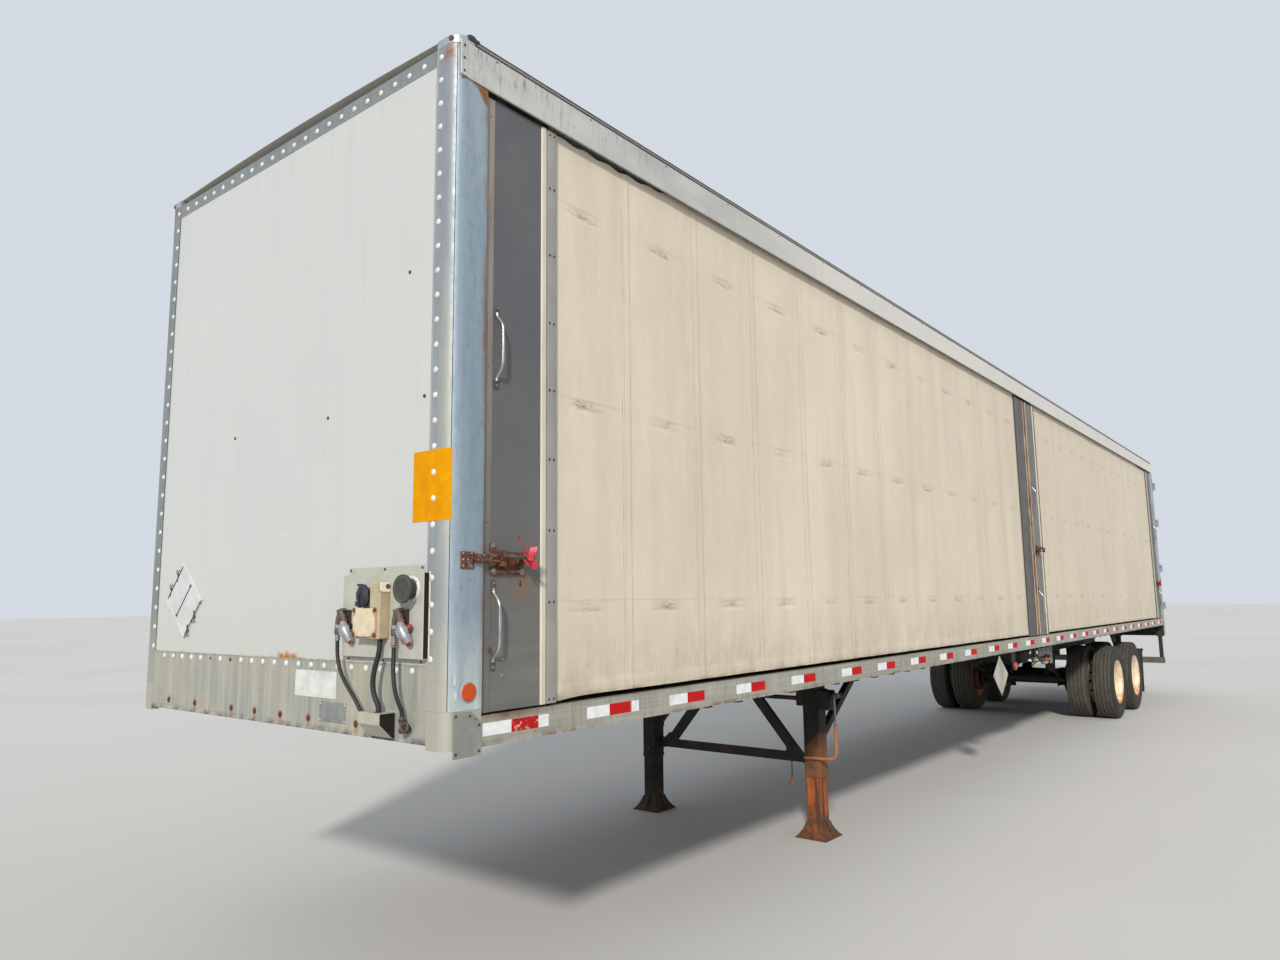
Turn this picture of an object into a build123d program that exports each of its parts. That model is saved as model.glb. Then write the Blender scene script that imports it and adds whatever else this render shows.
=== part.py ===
from build123d import *
import os
from math import sin, cos, tan, radians, sqrt, pi

os.makedirs("parts", exist_ok=True)

# Curtain-sided box semi trailer, 53 ft long, 102 in wide, 13 ft 6 in high.
# Millimetres. +X is forward, +Y is the left (crank) side, +Z is up.
# The origin is on the ground, under the centre of the body.

# ---------------------------------------------------------------- overall
LENGTH = 16154.0
WIDTH = 2591.0
HEIGHT = 4115.0
XF = LENGTH / 2            # face of the front wall frame
XR = -LENGTH / 2           # rear face of the rear frame
YS = WIDTH / 2             # outer side plane

# ---------------------------------------------------------------- heights
Z_RAIL_BOT = 1176.0        # side bottom rail
Z_RAIL_TOP = 1292.0
Z_DECK = 1292.0            # top of the floor
DECK_T = 35.0
Z_FASCIA_BOT = 3902.0      # side top rail cover
Z_FASCIA_TOP = 4062.0
Z_FRONT_BOT = 1193.0       # front bottom rail
Z_FRONT_RAIL_TOP = 1491.0
Z_FRONT_TOP_RAIL = 3977.0
Z_FRONT_TOP = 4051.0
Z_ROOF_EDGE = 4086.0
Z_CURTAIN_BOT = 1352.0
Z_CURTAIN_TOP = 3985.0
Z_PANEL_BOT = 1300.0
Z_PANEL_TOP = 4020.0

# ---------------------------------------------------------------- side stations, from the front
X_POST_REAR = 7905.0       # rear edge of the front corner post
X_END_FRONT = 7897.0       # front curtain's leading panel
X_END_PANEL = 7857.0
X_END_STRIP = 7596.0
X_END_STRIP2 = 7552.0
X_CURTAIN_F0 = 7502.0      # front curtain runs from here
X_CURTAIN_F1 = 300.0       # to here
X_MID_F = -52.0            # end of the front middle panel
X_MID_R = -68.0            # start of the rear middle panel
X_CURTAIN_R0 = -420.0
X_CURTAIN_R1 = -7540.0
X_END_REAR = -7897.0
X_REAR_POST = -7905.0
CORNER_R = 60.0
PROUD = 85.0               # how far fittings stand out of the front and the rear

# curtain and panel depth positions (|y|)
Y_PANEL_IN = 1240.0
Y_PANEL_OUT = 1278.0
Y_CURTAIN_IN = 1256.0
Y_CURTAIN_OUT = 1270.0

# ---------------------------------------------------------------- running gear
AXLE_X = {"front": -3965.0, "rear": -5210.0}
WHEEL_Z = 500.0
TYRE_R = 500.0
TYRE_W = 276.0
RIM_R = 286.0
Y_TYRE_OUT = 1146.0        # middle of the outer tyre
Y_TYRE_IN = 811.0
LEG_X = 4168.0
LEG_Y = 761.0
KINGPIN_X = XF - 914.0
COUPLER_Z = 1176.0


def put(name, shape):
    shape.label = name
    export_step(shape, "parts/" + name + ".step")


def box(x0, x1, y0, y1, z0, z1):
    x0, x1 = sorted((x0, x1))
    y0, y1 = sorted((y0, y1))
    z0, z1 = sorted((z0, z1))
    return Pos(x0, y0, z0) * Box(x1 - x0, y1 - y0, z1 - z0, align=(Align.MIN, Align.MIN, Align.MIN))


def cyl(p0, p1, r):
    a, b = Vector(*p0), Vector(*p1)
    d = b - a
    pl = Plane(origin=a, z_dir=d)
    return pl * Cylinder(r, d.length, align=(Align.CENTER, Align.CENTER, Align.MIN))


def bar(p0, p1, w, h):
    """Square bar from p0 to p1, w wide and h high in its own section."""
    a, b = Vector(*p0), Vector(*p1)
    d = b - a
    pl = Plane(origin=a, z_dir=d)
    return pl * Box(w, h, d.length, align=(Align.CENTER, Align.CENTER, Align.MIN))


def poly_x(pts, x0, x1):
    """Closed outline in Y and Z, drawn along X."""
    f = Plane.YZ.offset(0) * make_face(Polyline(*[(p[0], p[1]) for p in pts], close=True))
    return Pos(x0, 0, 0) * extrude(f, x1 - x0, dir=(1, 0, 0))


def poly_y(pts, y0, y1):
    """Closed outline in X and Z, drawn along Y."""
    f = make_face(Polyline(*[(p[0], 0, p[1]) for p in pts], close=True))
    return Pos(0, y0, 0) * extrude(f, y1 - y0, dir=(0, 1, 0))


def poly_z(pts, z0, z1):
    """Closed outline in X and Y, drawn along Z."""
    f = make_face(Polyline(*[(p[0], p[1], 0) for p in pts], close=True))
    return Pos(0, 0, z0) * extrude(f, z1 - z0, dir=(0, 0, 1))


def both(shape):
    """The left piece and its mirror image on the right."""
    return [shape, mirror(shape, about=Plane.XZ)]


def fuse(items):
    out = items[0]
    for s in items[1:]:
        out = out + s
    return out


def node(name, solids):
    if not isinstance(solids, list):
        solids = [solids]
    flat = []
    for s in solids:
        flat += list(s.solids())
    put(name, flat[0] if len(flat) == 1 else Compound(children=flat))


def rod(points, radii, r):
    """Round bar along straight runs joined by arcs."""
    path = FilletPolyline(*points, radius=radii) if len(points) > 2 else Line(*points)
    start = path @ 0
    tangent = path % 0
    return sweep(Plane(origin=start, z_dir=tangent) * Circle(r), path=path)


# ================================================================ front wall and its frame
Y_FLANGE = 1180.0          # inner edge of the corner posts' front flange
node("front_wall", box(XF - 42, XF - 2, -Y_FLANGE, Y_FLANGE, Z_FRONT_RAIL_TOP, Z_FRONT_TOP_RAIL))

# radiused corner post: front flange, curve, side face; 40 mm deep wall
a = YS - CORNER_R
outer = Polyline((XF, Y_FLANGE), (XF, a))
arc_o = RadiusArc((XF, a), (XF - CORNER_R, YS), -CORNER_R)
line_o = Polyline((XF - CORNER_R, YS), (X_POST_REAR, YS), (X_POST_REAR, YS - 42),
                  (XF - CORNER_R, YS - 42))
arc_i = RadiusArc((XF - CORNER_R, YS - 42), (XF - 42, a), CORNER_R - 42)
line_i = Polyline((XF - 42, a), (XF - 42, Y_FLANGE), (XF, Y_FLANGE))
post_face = make_face([outer, arc_o, line_o, arc_i, line_i])
post = Pos(0, 0, Z_RAIL_BOT) * extrude(post_face, Z_FRONT_TOP - Z_RAIL_BOT, dir=(0, 0, 1))
node("front_corner_posts", both(post))

front_rail = poly_y([(XF, Z_FRONT_BOT), (XF, Z_FRONT_RAIL_TOP), (XF - 42, Z_FRONT_RAIL_TOP),
                     (XF - 42, Z_FRONT_BOT + 16), (XF - 110, Z_FRONT_BOT + 16), (XF - 110, Z_FRONT_BOT)],
                    -Y_FLANGE, Y_FLANGE)
node("front_rails", [box(XF - 60, XF, -Y_FLANGE, Y_FLANGE, Z_FRONT_TOP_RAIL, Z_FRONT_TOP), front_rail])

# ================================================================ roof
n = 1285.0
roof_face = make_face([Polyline((-n, Z_ROOF_EDGE), (-n, Z_FASCIA_TOP), (n, Z_FASCIA_TOP), (n, Z_ROOF_EDGE)),
                       ThreePointArc((n, Z_ROOF_EDGE), (0, HEIGHT), (-n, Z_ROOF_EDGE))])
roof = extrude(Plane.YZ * roof_face, XF - 4 - XR, dir=(1, 0, 0))
XE, CUT = XF - 4 - XR, 34.0          # front corners cut back over the radiused posts
for s in (-1, 1):
    wedge = make_face(Polyline((XE - CUT - 12, s * (n + 12)), (XE + 12, s * (n + 12)), (XE + 12, s * (n - CUT - 12)),
                               (XE - CUT - 12, s * (n + 12))))
    roof -= Pos(0, 0, Z_FASCIA_TOP - 20) * extrude(wedge, 120, dir=(0, 0, 1))
node("roof_panel", Pos(XR, 0, 0) * roof)

BOW_Y = 1190.0
BOW_COUNT = 25
bow_step = (XF - 300 - (XR + 300)) / (BOW_COUNT - 1)
node("roof_bows", [box(XR + 300 + i * bow_step - 20, XR + 300 + i * bow_step + 20, -BOW_Y, BOW_Y,
                       Z_FASCIA_TOP - 38, Z_FASCIA_TOP) for i in range(BOW_COUNT)])

# ================================================================ side rails
# top rail: outer cover plate, top flange and the track that the curtain rollers run on
top_rail = poly_x([(YS, Z_FASCIA_BOT), (YS, Z_FASCIA_TOP), (BOW_Y, Z_FASCIA_TOP), (BOW_Y, Z_FASCIA_TOP - 120),
                   (BOW_Y + 38, Z_FASCIA_TOP - 120), (BOW_Y + 38, Z_FASCIA_TOP - 14),
                   (YS - 6, Z_FASCIA_TOP - 14), (YS - 6, Z_FASCIA_BOT)], X_REAR_POST, X_POST_REAR)
# short stretch of the cover that laps over the corner post
node("side_top_rails", both(top_rail))

# bottom rail: outer face with a top and a bottom flange
bottom_rail = poly_x([(YS, Z_RAIL_BOT), (YS, Z_RAIL_TOP), (1225, Z_RAIL_TOP), (1225, Z_RAIL_TOP - 12),
                      (YS - 9, Z_RAIL_TOP - 12), (YS - 9, Z_RAIL_BOT + 9), (1240, Z_RAIL_BOT + 9),
                      (1240, Z_RAIL_BOT)], XR, X_POST_REAR)
node("side_bottom_rails", both(bottom_rail))

# ================================================================ floor and under-floor
node("floor_deck", box(XR + 102, XF - 42, -1225, 1225, Z_DECK - DECK_T, Z_DECK))

CM_H, CM_W, CM_T = 100.0, 58.0, 6.0
CM_TOP = Z_DECK - DECK_T
def i_beam(x, y0, y1, z0, z1, w, t):
    h = w / 2
    return poly_y([(x - h, z0), (x + h, z0), (x + h, z0 + t), (x + t / 2, z0 + t), (x + t / 2, z1 - t),
                   (x + h, z1 - t), (x + h, z1), (x - h, z1), (x - h, z1 - t), (x - t / 2, z1 - t),
                   (x - t / 2, z0 + t), (x - h, z0 + t)], y0, y1)

CM_X0, CM_X1, CM_STEP = -7850.0, 6250.0, 305.0
cms = []
x = CM_X1
while x >= CM_X0:
    cms.append(i_beam(x, -1240, 1240, CM_TOP - CM_H, CM_TOP, CM_W, CM_T))
    x -= CM_STEP
node("crossmembers", cms)

# upper coupler: bearing plate, ribs up to the floor, and the king pin
COUPLER_X0, COUPLER_X1, COUPLER_Y = 6400.0, XF - 110.0, 1040.0
coupler = [box(COUPLER_X0, COUPLER_X1, -COUPLER_Y, COUPLER_Y, COUPLER_Z, COUPLER_Z + 10)
           - cyl((KINGPIN_X, 0, COUPLER_Z - 5), (KINGPIN_X, 0, COUPLER_Z + 15), 36.0)]
for rx in (6430, 6800, KINGPIN_X - 150, KINGPIN_X + 150, 7620, COUPLER_X1 - 30):
    coupler.append(box(rx - 20, rx + 20, -1240, 1240, COUPLER_Z + 10, CM_TOP))
for ry in (-COUPLER_Y + 15, 0, COUPLER_Y - 15):
    coupler.append(box(COUPLER_X0, COUPLER_X1, ry - 8, ry + 8, COUPLER_Z + 9, CM_TOP))
node("upper_coupler", fuse(coupler))
# king pin, set in the plate. rows: radius, height, below the plate
pin = [cyl((KINGPIN_X, 0, COUPLER_Z - 1), (KINGPIN_X, 0, COUPLER_Z + 9), 35.7)]
for kr, kh, kz in ((35.7, 14.0, 0.0), (25.4, 35.0, 14.0), (35.7, 35.0, 49.0)):
    pin.append(cyl((KINGPIN_X, 0, COUPLER_Z - kz), (KINGPIN_X, 0, COUPLER_Z - kz - kh), kr))
node("king_pin", fuse(pin))

# ================================================================ rear frame
DOOR_EDGE = 1240.0
Z_SILL_BOT = 990.0
node("rear_corner_posts", both(box(XR, X_REAR_POST, 1245, YS, Z_RAIL_TOP, Z_FASCIA_TOP)))
node("rear_header", box(XR, XR + 100, -1245, 1245, 3888, Z_FASCIA_TOP))
node("rear_sill", fuse([box(XR, XR + 102, -1225, 1225, 1146, Z_RAIL_TOP),
                        box(XR, XR + 102, -1290, 1290, Z_SILL_BOT, Z_RAIL_BOT - 2)]))

# under-ride guard: cross tube on two braced uprights
GUARD_Z = 510.0
guard = [box(XR, XR + 90, -1255, 1255, GUARD_Z, GUARD_Z + 100)]
for s in (-1, 1):
    guard.append(box(XR + 2, XR + 82, s * 480, s * 580, GUARD_Z + 90, Z_SILL_BOT))
    guard.append(box(XR + 2, XR + 82, s * 1185, s * 1240, GUARD_Z + 90, Z_SILL_BOT))
    guard.append(bar((XR + 60, s * 530, GUARD_Z + 130), (XR + 560, s * 530, 1035), 60, 50))
    guard.append(box(XR + 500, XR + 640, s * 490, s * 570, 1030, CM_TOP - CM_H - 90))
node("under_ride_guard", fuse(guard))

# ================================================================ landing gear
LEG_HALF, INNER_HALF = 64.0, 51.0
legs = []
for s in (1, -1):
    y = s * LEG_Y
    outer_tube = box(LEG_X - LEG_HALF, LEG_X + LEG_HALF, y - LEG_HALF, y + LEG_HALF, 420, CM_TOP - CM_H)
    inner_tube = box(LEG_X - INNER_HALF, LEG_X + INNER_HALF, y - INNER_HALF, y + INNER_HALF, 90, 430)
    foot = box(LEG_X - 127, LEG_X + 127, y - 124, y + 124, 0, 12)
    flare = Pos(LEG_X, y, 12) * extrude(Rectangle(190, 190), 100, taper=26)
    top_plate = box(LEG_X - 150, LEG_X + 150, y - 110, y + 110, CM_TOP - CM_H - 14, CM_TOP - CM_H)
    collar = box(LEG_X - 72, LEG_X + 72, y - 72, y + 72, 418, 450)
    legs.append(fuse([outer_tube, inner_tube, foot, flare, top_plate, collar]))
node("landing_legs", legs)

BRACE_X0, BRACE_X1 = LEG_X - 60, LEG_X - 10
Y_LEG_IN = LEG_Y - LEG_HALF
Z_CROSS0, Z_CROSS1 = 512.0, 574.0
braces = [box(BRACE_X0, BRACE_X1, -Y_LEG_IN, Y_LEG_IN, Z_CROSS0, Z_CROSS1)]
for s in (1, -1):
    braces.append(poly_x([(s * 548, Z_CROSS1 - 14), (s * 643, Z_CROSS1 - 14), (s * 133, CM_TOP - CM_H), (s * 38, CM_TOP - CM_H)],
                         BRACE_X0 + 5, BRACE_X1 - 5))
braces.append(box(BRACE_X0 - 30, BRACE_X1 + 10, -165, 165, CM_TOP - CM_H - 12, CM_TOP - CM_H))
node("landing_gear_braces", fuse(braces))
# fore and aft stays, one behind each leg
stays = []
for s in (1, -1):
    y = s * LEG_Y
    stay = fuse([bar((LEG_X - LEG_HALF - 20, y, 700), (LEG_X - 690, y, CM_TOP - CM_H - 34), 50, 50),
                 box(LEG_X - LEG_HALF - 50, LEG_X - LEG_HALF, y - 30, y + 30, 660, 740),
                 box(LEG_X - 780, LEG_X - 640, y - 45, y + 45, CM_TOP - CM_H - 30, CM_TOP - CM_H)])
    stays.append(stay)
node("landing_gear_stays", stays)

# gearbox, cross shaft and stowed crank handle on the left leg
Y_LEG_OUT = LEG_Y + LEG_HALF
X_LEG_FRONT = LEG_X + LEG_HALF
CRANK_X, CRANK_Y = LEG_X + 78.0, LEG_Y + 206.0
crank = [box(LEG_X - 70, LEG_X + 70, Y_LEG_OUT, Y_LEG_OUT + 90, 905, 1060),
         cyl((LEG_X, Y_LEG_OUT + 80, 1020), (LEG_X, CRANK_Y + 12, 1020), 16),
         box(LEG_X - 20, CRANK_X + 14, CRANK_Y - 14, CRANK_Y + 14, 1004, 1036),
         rod([(CRANK_X, CRANK_Y, 1030), (CRANK_X, CRANK_Y, 574), (CRANK_X, LEG_Y - LEG_HALF + 10, 566)], [45], 11)]
node("landing_gear_crank", [fuse(crank), cyl((LEG_X + 24, -Y_LEG_IN, 985), (LEG_X + 24, Y_LEG_IN, 985), 17)])

# ================================================================ bogie
RAIL_Y = 530.0
Z_SLIDE = CM_TOP - CM_H            # top of the slide rails
node("slide_rails", [fuse([box(-7900, -2150, s * RAIL_Y - 40, s * RAIL_Y + 40, Z_SLIDE - 8, Z_SLIDE),
                           box(-7900, -2150, s * RAIL_Y + 28 * s, s * RAIL_Y + 40 * s, Z_SLIDE - 90, Z_SLIDE),
                           box(-7900, -2150, s * RAIL_Y - 40, s * RAIL_Y + 40, Z_SLIDE - 90, Z_SLIDE - 82)])
                     for s in (1, -1)])
Z_BOGIE_TOP, Z_BOGIE_BOT = Z_SLIDE - 90, Z_SLIDE - 210
BOGIE_X0, BOGIE_X1 = -6000.0, -3180.0
bogie = []
for s in (1, -1):
    bogie.append(box(BOGIE_X0, BOGIE_X1, s * RAIL_Y - 45, s * RAIL_Y + 45, Z_BOGIE_BOT, Z_BOGIE_TOP))
for bx in (-3260.0, -3950.0, -4590.0, -5210.0, -5920.0):
    bogie.append(box(bx - 40, bx + 40, -RAIL_Y, RAIL_Y, Z_BOGIE_BOT + 10, Z_BOGIE_TOP - 15))
node("bogie_frame", fuse(bogie))

AXLE_GAP = AXLE_X["front"] - AXLE_X["rear"]
HANG_X = [AXLE_X["front"] + AXLE_GAP / 2, (AXLE_X["front"] + AXLE_X["rear"]) / 2, AXLE_X["rear"] - AXLE_GAP / 2]
hangers = []
for s in (1, -1):
    for hx, hz in zip(HANG_X, (700.0, 700.0, 700.0)):
        hangers.append(poly_y([(hx - 110, Z_BOGIE_BOT), (hx + 110, Z_BOGIE_BOT), (hx + 55, hz), (hx - 55, hz)],
                              s * RAIL_Y - 45, s * RAIL_Y + 45))
node("spring_hangers", hangers)
springs = []
for s in (1, -1):
    for k in ("front", "rear"):
        ax = AXLE_X[k]
        e = AXLE_GAP / 2 - 8
        springs.append(poly_y([(ax - e, 700), (ax - e, 678), (ax - 330, 640), (ax - 60, 606), (ax + 60, 606),
                               (ax + 330, 640), (ax + e, 678), (ax + e, 700), (ax + 330, 668), (ax, 672),
                               (ax - 330, 668)], s * RAIL_Y - 38, s * RAIL_Y + 38))
node("leaf_springs", springs)

AXLE_R, SPINDLE_R = 63.5, 38.0
for k in ("front", "rear"):
    ax = AXLE_X[k]
    parts_a = [cyl((ax, -600, WHEEL_Z), (ax, 600, WHEEL_Z), AXLE_R),
               cyl((ax, -1085, WHEEL_Z), (ax, 1085, WHEEL_Z), SPINDLE_R)]
    for s in (1, -1):
        parts_a.append(box(ax - 60, ax + 60, s * RAIL_Y - 50, s * RAIL_Y + 50, WHEEL_Z + 30, 606))
        parts_a.append(cyl((ax, s * 585, WHEEL_Z), (ax, s * 600, WHEEL_Z), 160))
        parts_a.append(cyl((ax - 250, s * 330, WHEEL_Z + 60), (ax - 95, s * 330, WHEEL_Z + 60), 82))
        parts_a.append(box(ax - 100, ax, s * 330 - 30, s * 330 + 30, WHEEL_Z + 20, WHEEL_Z + 90))
        parts_a.append(cyl((ax - 40, s * 330, WHEEL_Z + 50), (ax - 40, s * 590, WHEEL_Z + 50), 18))
    node("axle_" + k, fuse(parts_a))

# ---------------------------------------------------------------- dual wheels
def ring(pts, ax, side):
    """Closed outline in Y (outward) and radius, turned about the axle."""
    f = make_face(Polyline(*[(0, p[0], p[1]) for p in pts], close=True))
    r = revolve(f, Axis((0, 0, 0), (0, 1, 0)), 360)
    if side < 0:
        r = mirror(r, about=Plane.XZ)
    return Pos(ax, 0, WHEEL_Z) * r

def tyre_outline(yc):
    w = TYRE_W / 2
    # y from the middle, radius
    table = [(-0.78 * w, RIM_R), (-0.95 * w, RIM_R + 45), (-w, RIM_R + 95), (-0.93 * w, TYRE_R - 45),
             (-0.82 * w, TYRE_R - 8), (-0.5 * w, TYRE_R), (0.5 * w, TYRE_R), (0.82 * w, TYRE_R - 8),
             (0.93 * w, TYRE_R - 45), (w, RIM_R + 95), (0.95 * w, RIM_R + 45), (0.78 * w, RIM_R)]
    return [(yc + a, r) for a, r in table]

def rim_outline(yc, face):
    """Rim barrel with a disc on its face side (+1 outward, -1 inward)."""
    w = 0.78 * TYRE_W / 2
    return [(yc - w, RIM_R), (yc + w, RIM_R), (yc + w, RIM_R - 18), (yc + w - 40, RIM_R - 30),
            (yc - w + 40, RIM_R - 30), (yc - w, RIM_R - 18)]

Y_HUB = (Y_TYRE_OUT + Y_TYRE_IN) / 2       # face where the two discs meet
for k in ("front", "rear"):
    ax = AXLE_X[k]
    for side, sname in ((1, "left"), (-1, "right")):
        node("tyres_" + k + "_" + sname, [ring(tyre_outline(Y_TYRE_OUT), ax, side),
                                          ring(tyre_outline(Y_TYRE_IN), ax, side)])
        w = 0.78 * TYRE_W / 2
        outer_rim = ring(rim_outline(Y_TYRE_OUT, 1), ax, side)
        inner_rim = ring(rim_outline(Y_TYRE_IN, -1), ax, side)
        disc_o = ring([(Y_HUB, 90), (Y_HUB + 12, 90), (Y_HUB + 12, 165), (Y_TYRE_OUT - w + 52, RIM_R - 24),
                       (Y_TYRE_OUT - w + 30, RIM_R - 24), (Y_HUB, 180)], ax, side)
        disc_i = ring([(Y_HUB, 90), (Y_HUB - 12, 90), (Y_HUB - 12, 165), (Y_TYRE_IN + w - 52, RIM_R - 24),
                       (Y_TYRE_IN + w - 30, RIM_R - 24), (Y_HUB, 180)], ax, side)
        hub = ring([(640, SPINDLE_R + 2), (640, 205), (860, 205), (870, 120), (Y_HUB - 12, 120), (Y_HUB - 12, 100),
                    (Y_HUB + 45, 100), (Y_HUB + 60, 85), (Y_HUB + 150, 80), (Y_HUB + 160, 60), (Y_HUB + 160, 0),
                    (1095, 0), (1095, SPINDLE_R + 2)], ax, side)
        node("wheels_" + k + "_" + sname, fuse([outer_rim, disc_o, disc_i, inner_rim, hub]))

# ================================================================ tank, flaps
node("air_tank", fuse([cyl((-2700, -420, 930), (-2700, 420, 930), 125),
                       box(-2780, -2620, -320, -280, 1000, Z_SLIDE), box(-2780, -2620, 280, 320, 1000, Z_SLIDE)]))
flaps = []
for s in (1, -1):
    flaps.append(fuse([box(-5868, -5860, s * 680, s * 1285, 200, 850),
                       box(-5883, -5853, s * 575, s * 1285, 835, 870)]))
node("mud_flaps", flaps)

# ================================================================ curtains (soft) and middle panels
# name, side, first x, last x
for cname, s, cx0, cx1 in (("curtain_front_left", 1, X_CURTAIN_F1, X_CURTAIN_F0),
                           ("curtain_front_right", -1, X_CURTAIN_F1, X_CURTAIN_F0),
                           ("curtain_rear_left", 1, X_CURTAIN_R1, X_CURTAIN_R0),
                           ("curtain_rear_right", -1, X_CURTAIN_R1, X_CURTAIN_R0)):
    node(cname, box(cx0, cx1, s * Y_CURTAIN_IN, s * Y_CURTAIN_OUT, Z_CURTAIN_BOT, Z_CURTAIN_TOP))

def end_panel(xa, xb, strips, y_in=Y_PANEL_IN):
    """Rigid end panel of a curtain, left side: plain panel between xa and xb with raised strips."""
    body = [box(xa, xb, y_in, Y_PANEL_OUT, Z_PANEL_BOT, Z_PANEL_TOP)]
    for sx0, sx1, out in strips:
        body.append(box(sx0, sx1, y_in, out, Z_PANEL_BOT, Z_PANEL_TOP))
    return body

def grab(x, z0, z1):
    """Grab handle on the panel's outer face, bent from round bar."""
    y = Y_PANEL_OUT
    pts = [(x, y + 5.6, z0), (x, y + 44, z0 + 38), (x, y + 44, z1 - 38), (x, y + 5.6, z1)]
    return [rod(pts, [30, 30], 8), box(x - 14, x + 14, y, y + 7, z0 - 45, z0 + 10), box(x - 14, x + 14, y, y + 7, z1 - 10, z1 + 45)]

mid = []
mid_f = fuse(end_panel(X_MID_F, X_CURTAIN_F1, [(X_CURTAIN_F1 - 46, X_CURTAIN_F1, 1282)]))
mid_r = fuse(end_panel(X_CURTAIN_R0, X_MID_R, [(X_CURTAIN_R0, X_CURTAIN_R0 + 46, 1282)]))
node("middle_panels", both(mid_f) + both(mid_r))
MID_HANDLES = ((2655.0, 2925.0), (1505.0, 1775.0))
mid_h = []
for z0, z1 in MID_HANDLES:
    mid_h += both(fuse(grab(-145.0, z0, z1)))
node("middle_handles", mid_h)

END_HANDLES = ((2655.0, 2925.0), (1505.0, 1775.0))      # z of each grab handle
lead_front = end_panel(X_CURTAIN_F0, X_END_FRONT, [(X_END_PANEL, X_END_FRONT, 1283), (X_END_STRIP2, X_END_STRIP, 1282)])
lead_rear = end_panel(X_END_REAR, X_CURTAIN_R1, [(X_END_REAR, X_END_REAR + 40, 1283), (X_CURTAIN_R1 - 46, X_CURTAIN_R1, 1282)])
for z0, z1 in END_HANDLES:
    lead_front += grab(X_END_PANEL - 29, z0, z1)
    lead_rear += grab(X_END_REAR + 69, z0, z1)
# over-centre latch: base strip, body and lever
Z_LATCH = 1905.0
lead_front += [box(X_END_FRONT - 8, X_END_PANEL - 190, Y_PANEL_OUT - 2, Y_PANEL_OUT + 20, Z_LATCH - 30, Z_LATCH + 30),
               box(X_END_PANEL - 170, X_END_PANEL - 110, Y_PANEL_OUT, Y_PANEL_OUT + 44, Z_LATCH - 26, Z_LATCH + 40)]
lead_rear += [box(X_END_REAR + 8, X_END_REAR + 230, Y_PANEL_OUT - 2, Y_PANEL_OUT + 20, Z_LATCH - 30, Z_LATCH + 30),
              box(X_END_REAR + 150, X_END_REAR + 210, Y_PANEL_OUT, Y_PANEL_OUT + 44, Z_LATCH - 26, Z_LATCH + 40)]
pf, pr = both(fuse(lead_front)), both(fuse(lead_rear))
node("lead_panel_front_left", pf[0])
node("lead_panel_front_right", pf[1])
node("lead_panel_rear_left", pr[0])
node("lead_panel_rear_right", pr[1])

# ================================================================ rear doors
DOOR_T = 45.0
Z_DOOR0, Z_DOOR1 = 1299.0, 3881.0
PIN_X, PIN_Y, PIN_R = XR - PROUD + 17.0, 1312.0, 9.6
HINGE_Z = (1520.0, 2180.0, 2990.0, 3660.0)
door = box(XR, XR + DOOR_T, 4, DOOR_EDGE, Z_DOOR0, Z_DOOR1)
dl = both(door)
node("rear_door_left", dl[0])
node("rear_door_right", dl[1])

# hardware on the door: hinge straps, two lock rods with guides and handles
KN = 30.0                                   # half height of the strap's knuckle
hardware = []
for hz in HINGE_Z:
    strap = fuse([box(XR - 8, XR - 0.0, 1020, DOOR_EDGE - 4, hz - KN, hz + KN),
                  box(XR - 18, XR - 8, DOOR_EDGE - 40, PIN_Y + 12, hz - KN, hz + KN),
                  box(PIN_X, XR - 12, PIN_Y - 4, PIN_Y + 12, hz - KN, hz + KN),
                  cyl((PIN_X, PIN_Y, hz - KN), (PIN_X, PIN_Y, hz + KN), 17)])
    strap = strap - cyl((PIN_X, PIN_Y, hz - KN - 1), (PIN_X, PIN_Y, hz + KN + 1), PIN_R + 0.4)
    hardware.append(strap)
for ry in (180.0, 860.0):
    lock = [cyl((XR - 30, ry, Z_DOOR0 - 40), (XR - 30, ry, Z_DOOR1 + 40), 13)]
    for gz in (1420.0, 2300.0, 3100.0, 3760.0):
        lock.append(box(XR - 46, XR, ry - 26, ry + 26, gz - 35, gz + 35))
    lock.append(box(XR - 44, XR - 18, ry, ry + 330, 2040, 2075))
    lock.append(box(XR - 22, XR, ry + 270, ry + 320, 2020, 2095))
    hardware.append(fuse(lock))
hl = [both(h) for h in hardware]
node("door_hardware_left", [h[0] for h in hl])
node("door_hardware_right", [h[1] for h in hl])

# hinge butts on the corner posts, with their pins
butts = []
for hz in HINGE_Z:
    b = []
    for dz in (-1, 1):
        z0, z1 = hz + dz * (KN + 5), hz + dz * (KN + 30)
        b += [box(PIN_X, XR + 60, YS, PIN_Y + 12, z0, z1),
              cyl((PIN_X, PIN_Y, min(z0, z1)), (PIN_X, PIN_Y, max(z0, z1)), 17)]
    b.append(cyl((PIN_X, PIN_Y, hz - KN - 30), (PIN_X, PIN_Y, hz + KN + 30), PIN_R))
    butts.append(fuse(b))
node("door_hinge_butts", [m for b in butts for m in both(b)])

# ================================================================ service connections on the front wall
# shallow tray for the connections, with a fixing flange along its top
SP_Y0, SP_Y1, SP_Z0, SP_Z1 = 645.0, 1186.0, 1516.0, 1851.0
SP_X = XF + 28
node("service_panel", fuse([box(XF, SP_X, SP_Y0, SP_Y1, SP_Z0, SP_Z1),
                            box(XF - 2, XF + 2, SP_Y0, 1152, SP_Z1 - 4, SP_Z1 + 30)]))
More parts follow.
